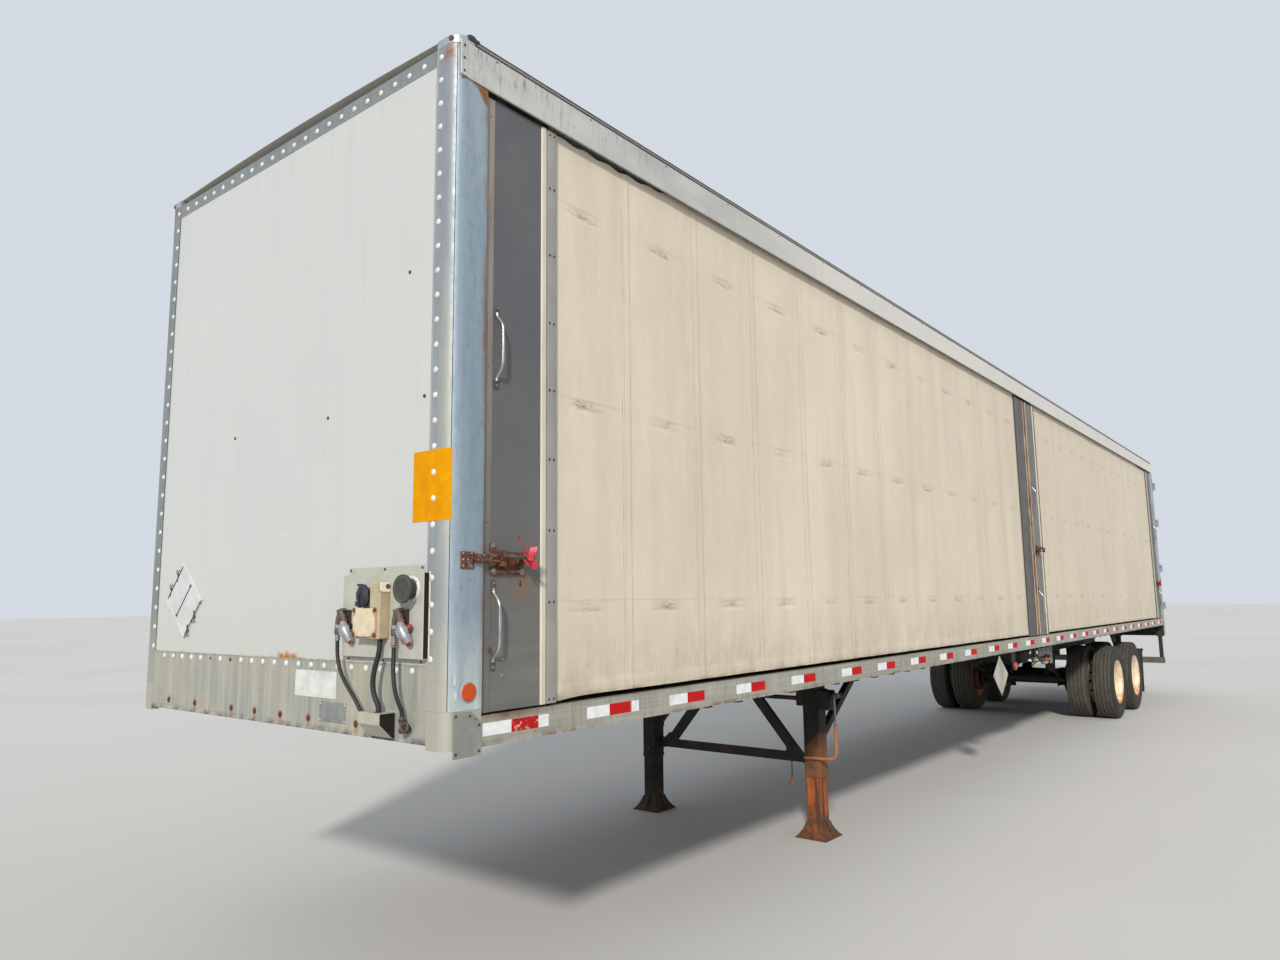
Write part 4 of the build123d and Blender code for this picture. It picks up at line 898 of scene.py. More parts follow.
for cname, rad, length, pts in LINES:
    cu = bpy.data.curves.new("line_" + cname, "CURVE")
    cu.dimensions = "3D"
    sp = cu.splines.new("NURBS")
    sp.points.add(len(pts) - 1)
    for pt, co in zip(sp.points, pts):
        pt.co = (*co, 1.0)
    sp.order_u = 3
    sp.use_endpoint_u = True
    sp.resolution_u = 10
    cu.bevel_depth = rad
    cu.bevel_resolution = 5
    cu.use_fill_caps = True
    cu.materials.append(HOSE)
    ob = bpy.data.objects.new("line_" + cname, cu)
    SCN.collection.objects.link(ob)
    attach(ob, "root")
    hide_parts(cname)

# ================================================================ materials of the CAD parts
FINISH = {
    "front_wall": WHITE_WALL, "front_corner_posts": GALV_FLANGE, "front_rails": FRONT_RAIL, "roof_panel": ROOF,
    "roof_bows": INNER_STEEL, "side_top_rails": FASCIA, "side_bottom_rails": SIDE_RAIL, "floor_deck": DECK,
    "crossmembers": DARK_PAINT_AND_SHADE, "upper_coupler": BLACK_PAINT_AND_SHADE, "king_pin": CAST_DARK, "rear_corner_posts": GALV_RAIL,
    "rear_header": GALV_RAIL, "rear_sill": GALV_RAIL, "under_ride_guard": BLACK_PAINT_AND_SHADE, "landing_legs": LEG_RUST_AND_PAINTED_SHADOW,
    "landing_gear_braces": BLACK_PAINT_AND_SHADE, "landing_gear_stays": BLACK_PAINT_AND_SHADE, "landing_gear_crank": LEG_RUST_AND_PAINTED_SHADOW, "slide_rails": BLACK_PAINT_AND_SHADE,
    "bogie_frame": BLACK_PAINT_AND_SHADE, "spring_hangers": BLACK_PAINT_AND_SHADE, "leaf_springs": BLACK_PAINT_AND_SHADE, "axle_front": BLACK_PAINT_AND_SHADE, "axle_rear": BLACK_PAINT_AND_SHADE,
    "air_tank": TANK, "mud_flaps": FLAP, "rear_door_left": DOOR, "rear_door_right": DOOR, "door_hardware_left": ZINC,
    "door_hardware_right": ZINC, "door_hinge_butts": ZINC, "service_panel": SERVICE, "service_box": CREAM_BOX,
    "service_lamp": LAMP_GLASS, "hose_couplings": CAST, "hose_hood": HOOD, "middle_panels": MID_DARK,
    "middle_handles": ZINC,
}
for k in ("front", "rear"):
    for s, sn in SIDES:
        FINISH["tyres_%s_%s" % (k, sn)] = TYRE
        FINISH["wheels_%s_%s" % (k, sn)] = WHEEL
        FINISH["lead_panel_%s_%s" % (k, sn)] = PANEL_GREY
for nm, mt in FINISH.items():
    ob = NODES[nm] if isinstance(NODES, dict) else bpy.data.objects[nm]
    if not ob.material_slots:
        ob.data.materials.append(mt)
    for sl in ob.material_slots:
        sl.material = mt


# ================================================================ front wall and corner posts
SK = 0.0012                                # corner skins stand this far out of the posts
RIVET_Z = [1.516 + 0.10375 * i for i in range(25)]


def corner_path(a0, a1, n, out=0.0):
    """Points round the left corner's curve from angle a0 to a1 (degrees from +X), with normals."""
    r = CORNER_R + out
    return [(XF - CORNER_R + r * cos(radians(a0 + (a1 - a0) * i / n)), YS - CORNER_R + r * sin(radians(a0 + (a1 - a0) * i / n)),
             cos(radians(a0 + (a1 - a0) * i / n)), sin(radians(a0 + (a1 - a0) * i / n))) for i in range(n + 1)]


def mirrored(path, s):
    return [(x, s * y, nx, s * ny) for x, y, nx, ny in path]


for s, sn in SIDES:
    b = MB("corner_flange_" + sn).use(GALV_FLANGE if s > 0 else GALV_FLANGE_DARK)
    path = [(XF, 1.1690, 1, 0), (XF, 1.1695, 1, 0), (XF, 1.2050, 1, 0)] + corner_path(0, 43.6, 7)
    shell(b, mirrored(path, s), 1.3220, 4.0485, SK, rows=24)
    # folded edge over the wall sheet
    prism(b, [(XF - 0.0005, s * 1.1690), (XF + 0.0026, s * 1.1690), (XF + 0.0026, s * 1.1745), (XF + 0.0008, s * 1.1760), (XF - 0.0005, s * 1.1760)],
          "z", 1.4925, 4.047)
    b.done(slot="galvanized")
    b = MB("corner_side_" + sn).use(GALV_SIDE)
    path = corner_path(46.2, 90, 8) + [(8.000, YS, 0, 1), (7.960, YS, 0, 1), (7.910, YS, 0, 1), (7.9055, YS, 0, 1)]
    shell(b, mirrored(path, s), 1.3220, 3.9035, SK, rows=24,
          wave=lambda x, y, z: 0.0004 * mn.noise(Vector((x * 3, 0, z * 2.2))) if x < 8.0 else 0.0)
    b.use(SHADOW)
    shell(b, mirrored(corner_path(43.8, 46.0, 2), s), 1.3220, 4.046, 0.0003)
    b.done(slot="galvanized")

# second sheet of the wall, lapped over the first along a line near the middle
b = MB("wall_lap_sheet").use(WHITE_WALL)
shell(b, [(8.0750, 0.060, 1, 0), (8.0750, 0.0605, 1, 0), (8.0750, 1.166, 1, 0)], 1.4925, 3.9760, 0.0009)
b.done(slot="white_panel")

b = MB("wall_fixings").use(RIVET)
for z in RIVET_Z:
    dome(b, (XF + SK - 0.0004, 1.198, z), (1, 0, 0), 0.0138, 0.0064)
    dome(b, (XF + SK, -1.1905, z), (1, 0, 0), 0.0132, 0.0060)
for k in range(22):
    y = 1.083 - 0.1031 * k
    if abs(y) < 1.15:
        dome(b, (XF + 0.0010, y, 4.009), (1, 0, 0), 0.0136, 0.0060)
for k in range(22):
    y = -1.054 + 0.1019 * k
    if k == 5:
        b.use(SHADOW)
        lathe(b, [(0.0075, -0.0005), (0.0075, 0.0004), (0, 0.0004)], (XF, y, 1.468), (1, 0, 0), 12)
        b.use(RIVET)
    elif k == 7:
        b.use(RUST_BOLT)
        dome(b, (XF, y, 1.468), (1, 0, 0), 0.0105, 0.0050)
        b.use(RIVET)
    elif abs(y) < 1.165:
        dome(b, (XF, y, 1.468), (1, 0, 0), 0.0138, 0.0060)
b.use(RUST_BOLT)
for i, y in enumerate((-0.973, -0.684, -0.310, -0.091, 0.135, 0.365, 0.721)):
    hexbolt(b, (XF, y, 1.240), (1, 0, 0), 0.0086, 0.0075, a0=0.3 * i)
b.use(SCREW)
for y, z in ((1.013, 3.111), (1.127, 2.561), (0.437, 2.565), (-0.404, 2.575)):
    screw(b, (8.0752 if y < 0.06 else 8.0759, y, z), (1, 0, 0), 0.0085, 0.0040)
b.use(RIVET)
screw(b, (8.0759, 0.090, 2.050), (1, 0, 0), 0.0060, 0.0030)
b.done(slot="galvanized")

# front bottom rail: pressed lip along its top and worn lower edge
b = MB("front_rail_trim").use(FRONT_RAIL)
prism(b, [(XF - 0.001, 1.4862), (XF + 0.0022, 1.4875), (XF + 0.0022, 1.4905), (XF - 0.0005, 1.4920), (XF - 0.003, 1.4920)], "y", -1.166, 1.166)
prism(b, [(XF - 0.001, 1.1935), (XF + 0.0030, 1.1945), (XF + 0.0034, 1.2010), (XF + 0.0016, 1.2060), (XF - 0.001, 1.2070)], "y", -1.175, 1.175)
b.use(FRONT_RAIL)
prism(b, [(XF - 0.001, 3.9775), (XF + 0.0016, 3.9780), (XF + 0.0016, 3.9805), (XF - 0.001, 3.9820)], "y", -1.166, 1.166)
b.done(slot="aluminium")

# blank sticker that wraps the corner, and the blank plates
b = MB("wall_stickers").use(STICKER)
path = [(8.0760, 1.067, 1, 0), (8.0760, 1.090, 1, 0), (8.0760, 1.140, 1, 0), (8.0762, 1.1660, 1, 0), (8.0801, 1.1700, 1, 0),
        (8.0801, 1.1745, 1, 0), (8.0786, 1.1790, 1, 0), (8.0783, 1.2050, 1, 0)] + corner_path(0, 50, 8, SK + 0.0001)
shell(b, path, 2.050, 2.334, 0.0004, rows=10, wave=lambda x, y, z: 0.0005 * mn.noise(Vector((x * 30, y * 30, z * 22))) + 0.0002)
b.use(RIVET)
for z in RIVET_Z:
    if 2.03 < z < 2.35:
        dome(b, (8.0784, 1.198, z), (1, 0, 0), 0.0138, 0.0064)
b.use(LABEL)
brick(b, (8.0748, 0.252, 1.3310), (8.0785, 0.572, 1.4440), 0.0006)
b.use(DATA)
brick(b, (8.0755, 0.452, 1.2340), (8.0789, 0.648, 1.3170), 0.0006)
b.use(RIVET)
for y in (0.460, 0.640):
    for z in (1.242, 1.309):
        dome(b, (8.0789, y, z), (1, 0, 0), 0.0035, 0.0018, 8)
b.done(slot="service_grey")

# diamond holder for a placard, blank: flap halves, rails and clips
PC = Vector((-0.865, 1.762))
TIP = {"top": Vector((-0.876, 1.963)), "left": Vector((-1.065, 1.763)), "right": Vector((-0.657, 1.760)), "bottom": Vector((-0.834, 1.563))}
XW = 8.0752
b = MB("placard_holder").use(PLACARD)
prism(b, [tuple(TIP["top"]), tuple(TIP["left"]), tuple(TIP["bottom"]), tuple(TIP["right"])], "x", XW - 0.0005, XW + 0.0035, 0.0008)


def on_dia(u, v):
    """u along the lower-left to upper-right pair of edges, v across; each from -1 to 1."""
    t, l, bo, r = TIP["top"], TIP["left"], TIP["bottom"], TIP["right"]
    p = (1 + u) / 2
    q = (1 + v) / 2
    return (bo.lerp(r, p)).lerp(l.lerp(t, p), q)


def plank(u0, u1, v0, v1, x0, x1, c=0.0006):
    prism(b, [tuple(on_dia(u0, v0)), tuple(on_dia(u1, v0)), tuple(on_dia(u1, v1)), tuple(on_dia(u0, v1))], "x", x0, x1, c)


# raised flap plates on both sides of the hinge line, a little apart
plank(-0.86, 0.86, 0.025, 0.90, XW + 0.0030, XW + 0.0058)
plank(-0.86, 0.86, -0.90, -0.025, XW + 0.0030, XW + 0.0050)
# channels that the cards slide in
plank(0.86, 1.00, -0.985, 0.985, XW + 0.0030, XW + 0.0120, 0.0015)
plank(-1.00, -0.86, -0.985, 0.985, XW + 0.0030, XW + 0.0120, 0.0015)
b.use(SCREW)
p0, p1 = on_dia(-0.84, 0.0), on_dia(0.84, 0.0)
tube(b, [(XW + 0.0052, p0.x, p0.y), (XW + 0.0052, p1.x, p1.y)], 0.0024, 8)
for v in (0.945, -0.945):
    q0, q1 = on_dia(-0.86, v), on_dia(0.86, v)
    tube(b, [(XW + 0.0058, q0.x, q0.y), (XW + 0.0058, q1.x, q1.y)], 0.0020, 8)
for q in (on_dia(-0.80, 0.0), on_dia(0.72, 0.0), on_dia(0.84, -0.96)):
    dome(b, (XW + 0.0060, q.x, q.y), (1, 0, 0), 0.0085, 0.0040)
# wire clips with rust round them
for u, v, sg in ((0.30, 0.96, 1), (-0.46, 0.96, 1), (0.12, -0.96, -1), (-0.62, -0.96, -1)):
    q = on_dia(u, v)
    b.use(RUST_BOLT)
    dome(b, (XW + 0.0030, q.x, q.y), (1, 0, 0), 0.0130, 0.0042)
    b.use(SCREW)
    for k in (-1, 1):
        tube(b, [(XW + 0.0060, q.x, q.y), (XW + 0.0105, q.x + 0.010 * k, q.y + 0.020 * sg), (XW + 0.0060, q.x + 0.016 * k, q.y + 0.034 * sg)], 0.0022, 6)
    tube(b, [(XW + 0.0060, q.x, q.y), (XW + 0.0090, q.x - 0.006 * sg, q.y - 0.030 * sg)], 0.0026, 6)
b.done(slot="white_panel")

# ================================================================ corner castings, cover plates, reflectors, marker lamps
for s, sn in SIDES:
    b = MB("corner_cap_" + sn).use(GALV_RAIL)
    cap = [(7.985, 1.172), (8.080, 1.172)] + [(x, y) for x, y, _, _ in corner_path(0, 90, 8, 0.0035)] + [(7.985, YS + 0.0035)]
    prism(b, [(x, s * y) for x, y in cap], "z", 4.0470, 4.0890, 0.004)
    b.use(BOLT)
    dome(b, (8.060, s * 1.190, 4.0885), (0, 0, 1), 0.007, 0.004)
    b.use(RUST_BOLT)
    dome(b, (8.0770, s * 1.2580, 4.0700), (0.8, s * 0.6, 0), 0.0120, 0.0050, 14)
    b.use(CAP_DARK)
    prism(b, [(7.9700, 4.0720), (8.0220, 4.0720), (8.0260, 4.0800), (8.0200, 4.0980), (8.0060, 4.1060), (7.9860, 4.1060), (7.9720, 4.0960)], "y",
          s * 1.2520, s * 1.3020, 0.0050)
    b.use(RUBBER)
    brick(b, (7.950, s * 1.2680, 4.086), (7.984, s * 1.2950, 4.103), 0.004)
    b.done(slot="galvanized")
    # cover plate at the foot of the post
    b = MB("post_foot_plate_" + sn).use(FOOT)
    zb = 1.147 if s > 0 else 1.176
    prism(b, [(8.045, 1.322), (7.955, 1.314), (7.903, 1.269), (7.903, zb), (8.045, zb)], "y", s * (YS - 0.0005), s * (YS + 0.0036), 0.0008)
    b.use(GALV_FLANGE)
    path = [(XF, 1.176, 1, 0), (XF, 1.205, 1, 0)] + corner_path(0, 90, 10)
    shell(b, mirrored(path, s), 1.178, 1.3205, 0.0010)
    b.use(SCREW)
    for x, z in ((8.034, 1.305), (7.918, 1.262), (7.918, zb + 0.018), (8.032, zb + 0.018), (7.965, 1.300)):
        screw(b, (x, s * (YS + 0.0034), z), (0, s, 0), 0.0060, 0.0030)
    b.use(GALV_RAIL)
    lathe(b, [(0.0400, 0), (0.0400, 0.0030), (0.0375, 0.0045)], (7.974, s * (YS + SK), 1.390), (0, s, 0), 28)
    b.use(AMBER)
    lathe(b, [(0.0355, 0.001), (0.0355, 0.0060), (0.0335, 0.0080), (0.018, 0.0092), (0, 0.0095)], (7.974, s * (YS + SK), 1.390), (0, s, 0), 28)
    b.use(LABEL)
    brick(b, (8.028, s * (YS + SK - 0.0002), 1.362), (8.043, s * (YS + SK + 0.0005), 1.398), 0.0002)
    brick(b, (8.034, s * (YS + SK - 0.0002), 1.420), (8.046, s * (YS + SK + 0.0005), 1.466), 0.0002)
    b.done(slot="galvanized")

# ================================================================ side top rail cover and roof edge
for s, sn in SIDES:
    b = MB("top_cover_" + sn).use(FASCIA)
    xs = [-8.056 + i * (16.114 / 160) for i in range(161)]

    def ripple(x, y, z):
        f = 1 - abs((z - 3.982) / 0.08) ** 2
        return 0.0008 * mn.noise(Vector((x * 1.3, 0, z * 2))) * max(0.0, f)

    cover = [(YS + 0.0003, 3.9020), (YS + 0.0003, 3.9060), (YS + 0.0003, 3.9300), (YS + 0.0003, 3.9560), (YS + 0.0003, 3.9820),
             (YS + 0.0003, 4.0080), (YS + 0.0003, 4.0340), (YS + 0.0003, 4.0600)]
    vs, fs = [], []
    n = len(cover)
    for x in xs:
        for off in (0.0018, 0.0042):
            for y, z in cover:
                yy = y + off + ripple(x, y, z)
                zz = z - (0.0015 if z < 3.903 and off > 0.003 else 0.0)
                vs.append((x, s * yy, zz))
    L = 2 * n
    for k in range(len(xs) - 1):
        for i in range(n - 1):
            fs.append((k * L + n + i, k * L + n + i + 1, (k + 1) * L + n + i + 1, (k + 1) * L + n + i))
            fs.append((k * L + i, (k + 1) * L + i, (k + 1) * L + i + 1, k * L + i + 1))
        for i in (0, n - 1):
            fs.append((k * L + i, k * L + n + i, (k + 1) * L + n + i, (k + 1) * L + i))
    for k in (0, len(xs) - 1):
        for i in range(n - 1):
            fs.append((k * L + i, k * L + i + 1, k * L + n + i + 1, k * L + n + i))
    b.add(vs, fs)
    # end strips with screws
    for x0 in (8.0235, -8.0595):
        brick(b, (x0, s * (YS + 0.0040), 3.9040), (x0 + 0.036, s * (YS + 0.0068), 4.0590), 0.0008)
        b.use(SCREW)
        for z in (3.925, 3.982, 4.038):
            screw(b, (x0 + 0.018, s * (YS + 0.0066), z), (0, s, 0), 0.0060, 0.0030)
        b.use(FASCIA)
    b.use(SCREW)
    k = 0
    while 7.86 - 0.6096 * k > -7.9:
        screw(b, (7.86 - 0.6096 * k, s * (YS + 0.0040), 4.0500), (0, s, 0), 0.0050, 0.0028)
        k += 1
    b.done(slot="aluminium")
    # the roof edge band's dark colour is painted shade
    b = MB("roof_edge_" + sn).use(ROOF_EDGE_PAINTED_SHADE)
    prism(b, [(s * y, z) for y, z in ((1.250, 4.0600), (1.2945, 4.0590), (1.2992, 4.0620), (1.2992, 4.0720), (1.2935, 4.0755),
                                      (1.2925, 4.0920), (1.2880, 4.0975), (1.2500, 4.0990))], "x", -8.070, 7.986, 0.002)
    b.use(FASCIA)
    prism(b, [(s * y, z) for y, z in ((1.2900, 4.0745), (1.2955, 4.0765), (1.2955, 4.0795), (1.2900, 4.0810))], "x", -8.068, 7.986, 0.0)
    b.done(slot="aluminium")

# ================================================================ reflective tape on the side rails
for s, sn in SIDES:
    b = MB("rail_tape_" + sn)
    starts = [7.897, 7.290, 6.681, 6.067, 5.453, 4.778, 4.205, 3.597, 2.983, 2.380, 1.724, 1.141, 0.526, -0.080, -0.690,
              -1.300, -1.915, -2.520, -3.135, -3.740, -4.350, -4.965, -5.575, -6.180, -6.790, -7.400]
    for i, x in enumerate(starts):
        z = 1.2390 + 0.0012 * sin(2.1 * i)
        b.use(TAPE_W)
        brick(b, (x, s * (YS - 0.0002), z - 0.0250), (x - 0.1520, s * (YS + 0.0006), z + 0.0250), 0.0002)
        b.use(TAPE_TORN if i == 0 else TAPE_R)
        if x - 0.306 > -8.06:
            brick(b, (x - 0.1525, s * (YS - 0.0002), z - 0.0250), (x - 0.3045, s * (YS + 0.0006), z + 0.0250), 0.0002)
    b.use(TAPE_W)
    for x0, x1 in ((7.591, 7.532), (6.978, 6.925)):
        brick(b, (x0, s * (YS - 0.0002), 1.2145), (x1, s * (YS + 0.0006), 1.2640), 0.0002)
    b.done(slot="lamp")

# ================================================================ curtains
MARK_Z = (3.560, 2.628, 1.702)


def curtain(name, s, x0, x1, seam0, phase, rail_end):
    """One sheet of coated cloth. rail_end is the X of its leading edge."""
    lo, hi = min(x0, x1), max(x0, x1)
    xs = {lo, hi}
    k0 = int((lo - seam0) / SEAM_P) - 2
    for k in range(k0, k0 + 18):
        c = seam0 + k * SEAM_P
        for d in (0, 0.014, 0.0275, 0.0305, 0.034, 0.048, 0.068):
            xs |= {c - d, c + d}
        c += SEAM_P / 2
        for d in (0, 0.018, 0.036, 0.056, 0.078, 0.102, 0.13, 0.165, 0.20):
            xs |= {c - d, c + d}
    xs = sorted(x for x in xs if lo <= x <= hi)
    keepx = [xs[0]]
    for x in xs[1:]:
        if x - keepx[-1] > 0.0028:
            keepx.append(x)
    keepx[-1] = hi
    xs = keepx
    zs = {1.306, 1.309, 1.316, 1.330, 1.350, 1.362, 1.366, 1.385, 3.955, 3.935, 3.915, 3.895, 3.880, 3.850}
    z = 1.42
    while z < 3.84:
        zs.add(round(z, 3))
        z += 0.046
    for zc in MARK_Z:
        zs = {z for z in zs if abs(z - zc) > 0.075} | {zc + d for d in (-0.07, -0.054, -0.042, -0.032, -0.024, -0.016, -0.008, 0, 0.008, 0.016, 0.024,
                                                                         0.032, 0.042, 0.054, 0.07)}
    zs = sorted(zs)

    def place(i, j):
        x, z = xs[i], zs[j]
        u = (x - seam0 + SEAM_P * 40) % SEAM_P
        ds = min(u, SEAM_P - u)
        dm = SEAM_P / 2 - ds
        bay = floor((x - seam0) / SEAM_P)
        env = smooth(1.30, 1.75, z) * (1 - smooth(3.55, 3.93, z))
        soft = smooth(0.0, 0.35, hi - x) * smooth(0.0, 0.30, x - lo)
        y = 1.2640 + 0.0042 * cos(pi * dm / SEAM_P) * (0.35 + 0.65 * env) * (0.8 + 0.5 * mn.noise(Vector((bay * 7.3, z * 0.7, phase))))
        y += 0.0034 * mn.noise(Vector((x * 1.0, z * 0.55, phase))) * soft
        y += 0.0011 * mn.noise(Vector((x * 4.2, z * 1.1, phase + 5)))
        y += 0.0005 * mn.noise(Vector((x * 17, z * 5, phase + 9)))
        y += 0.0012 * (1 - smooth(0.0295, 0.0325, ds))
        for r, zc in enumerate(MARK_Z):
            if abs(z - zc) < 0.12:
                a = 0.75 + 0.5 * mn.noise(Vector((bay * 3.7, r * 5.1, phase)))
                tilt = 0.10 * mn.noise(Vector((bay * 9.1, r * 2.3, phase + 2)))
                dz = z - zc - tilt * dm
                y -= 0.0048 * a * exp(-(dm / 0.085) ** 2 - (dz / 0.024) ** 2)
                y += 0.0019 * a * exp(-(dm / 0.13) ** 2 - (dz / 0.046) ** 2) * cos(dz * 2 * pi / 0.036)
        if z < 1.364:
            y += 0.0011
        y += 0.0024 * mn.noise(Vector((x * 3.4, 0.3, phase))) * (1 - smooth(1.31, 1.52, z))
        if z < 1.45:
            hem = 1.3165 - 0.0125 * exp(-((x - rail_end) / 0.13) ** 2) + 0.0022 * mn.noise(Vector((x * 2.6, 0.0, phase)))
            z = hem + (z - 1.306) * (1.45 - hem) / (1.45 - 1.306)
        if z > 3.86:
            d = abs(x - rail_end)
            near = 1 - smooth(0.5, 1.5, d)
            top = 3.955 - near * (0.0600 - 0.0055 * cos(2 * pi * (x - rail_end + 0.078) / 0.165))
            z = 3.86 + (z - 3.86) * (top - 3.86) / (3.955 - 3.86)
        return (x, s * y, z)

    b = MB("sheet_" + name).use(curtain_material("curtain_vinyl_" + name, seam0, phase))
    grid(b, len(xs), len(zs), place)
    ob = b.done(stands_for=(name,), slot="curtain_vinyl", closed=False, sharp=60)
    # outward normals
    bm = bmesh.new()
    bm.from_mesh(ob.data)
    if sum(f.normal.y for f in bm.faces) * s < 0:
        bmesh.ops.reverse_faces(bm, faces=bm.faces)
    bm.to_mesh(ob.data)
    bm.free()
    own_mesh(ob)
    return ob


for s, sn in SIDES:
    curtain("curtain_front_" + sn, s, 0.290, 7.492, 6.958, 1.0 + s, 7.492)
    curtain("curtain_rear_" + sn, s, -7.530, -0.410, -0.690, 11.0 + s, -7.530)


# ================================================================ curtain ends: latches, handles, panels
def grab_handle(b, x, yo, s, z0, z1, metal=None):
    """Bow handle bent from round bar, its ends flattened to feet and bolted down."""
    metal = metal or ZINC
    b.use(metal)
    Y = lambda d: s * (yo + d)
    pts = bent_bar([(x, Y(0.0058), z0 - 0.012), (x, Y(0.0058), z0 + 0.004), (x, Y(0.0430), z0 + 0.046), (x, Y(0.0450), (z0 + z1) / 2),
                    (x, Y(0.0430), z1 - 0.046), (x, Y(0.0058), z1 - 0.004), (x, Y(0.0058), z1 + 0.012)], 0.06, 6)
    tube(b, pts, 0.0068, 12)
    b.use(CAST_DARK)
    for za, zb in ((z0 - 0.044, z0 + 0.006), (z1 - 0.006, z1 + 0.044)):
        out = [(x - 0.012, za + 0.004), (x - 0.008, za), (x + 0.008, za), (x + 0.012, za + 0.004), (x + 0.012, zb - 0.010), (x + 0.008, zb),
               (x - 0.008, zb), (x - 0.012, zb - 0.010)]
        prism(b, out, "y", Y(0), Y(0.0052), 0.0012)
    b.use(BOLT)
    for z in (z0 - 0.032, z0 - 0.008, z1 + 0.008, z1 + 0.032):
        hexbolt(b, (x, Y(0.0050), z), (0, s, 0), 0.0058, 0.0046, washer=False, a0=z * 9)


def ribbon(b, pts, w, t, side):
    """Flat band through the points, w wide along side."""
    P = [Vector(p) for p in pts]
    sd = Vector(side).normalized()
    vs, fs = [], []
    for k, p in enumerate(P):
        a = P[max(0, k - 1)]
        c = P[min(len(P) - 1, k + 1)]
        n = (c - a).cross(sd).normalized()
        for q in (p + sd * w / 2 + n * t / 2, p - sd * w / 2 + n * t / 2, p - sd * w / 2 - n * t / 2, p + sd * w / 2 - n * t / 2):
            vs.append(q)
    for k in range(len(P) - 1):
        for i in range(4):
            j = (i + 1) % 4
            fs.append((4 * k + i, 4 * k + j, 4 * k + 4 + j, 4 * k + 4 + i))
    fs += [(0, 1, 2, 3), tuple(4 * (len(P) - 1) + i for i in range(4))]
    b.add(vs, fs)


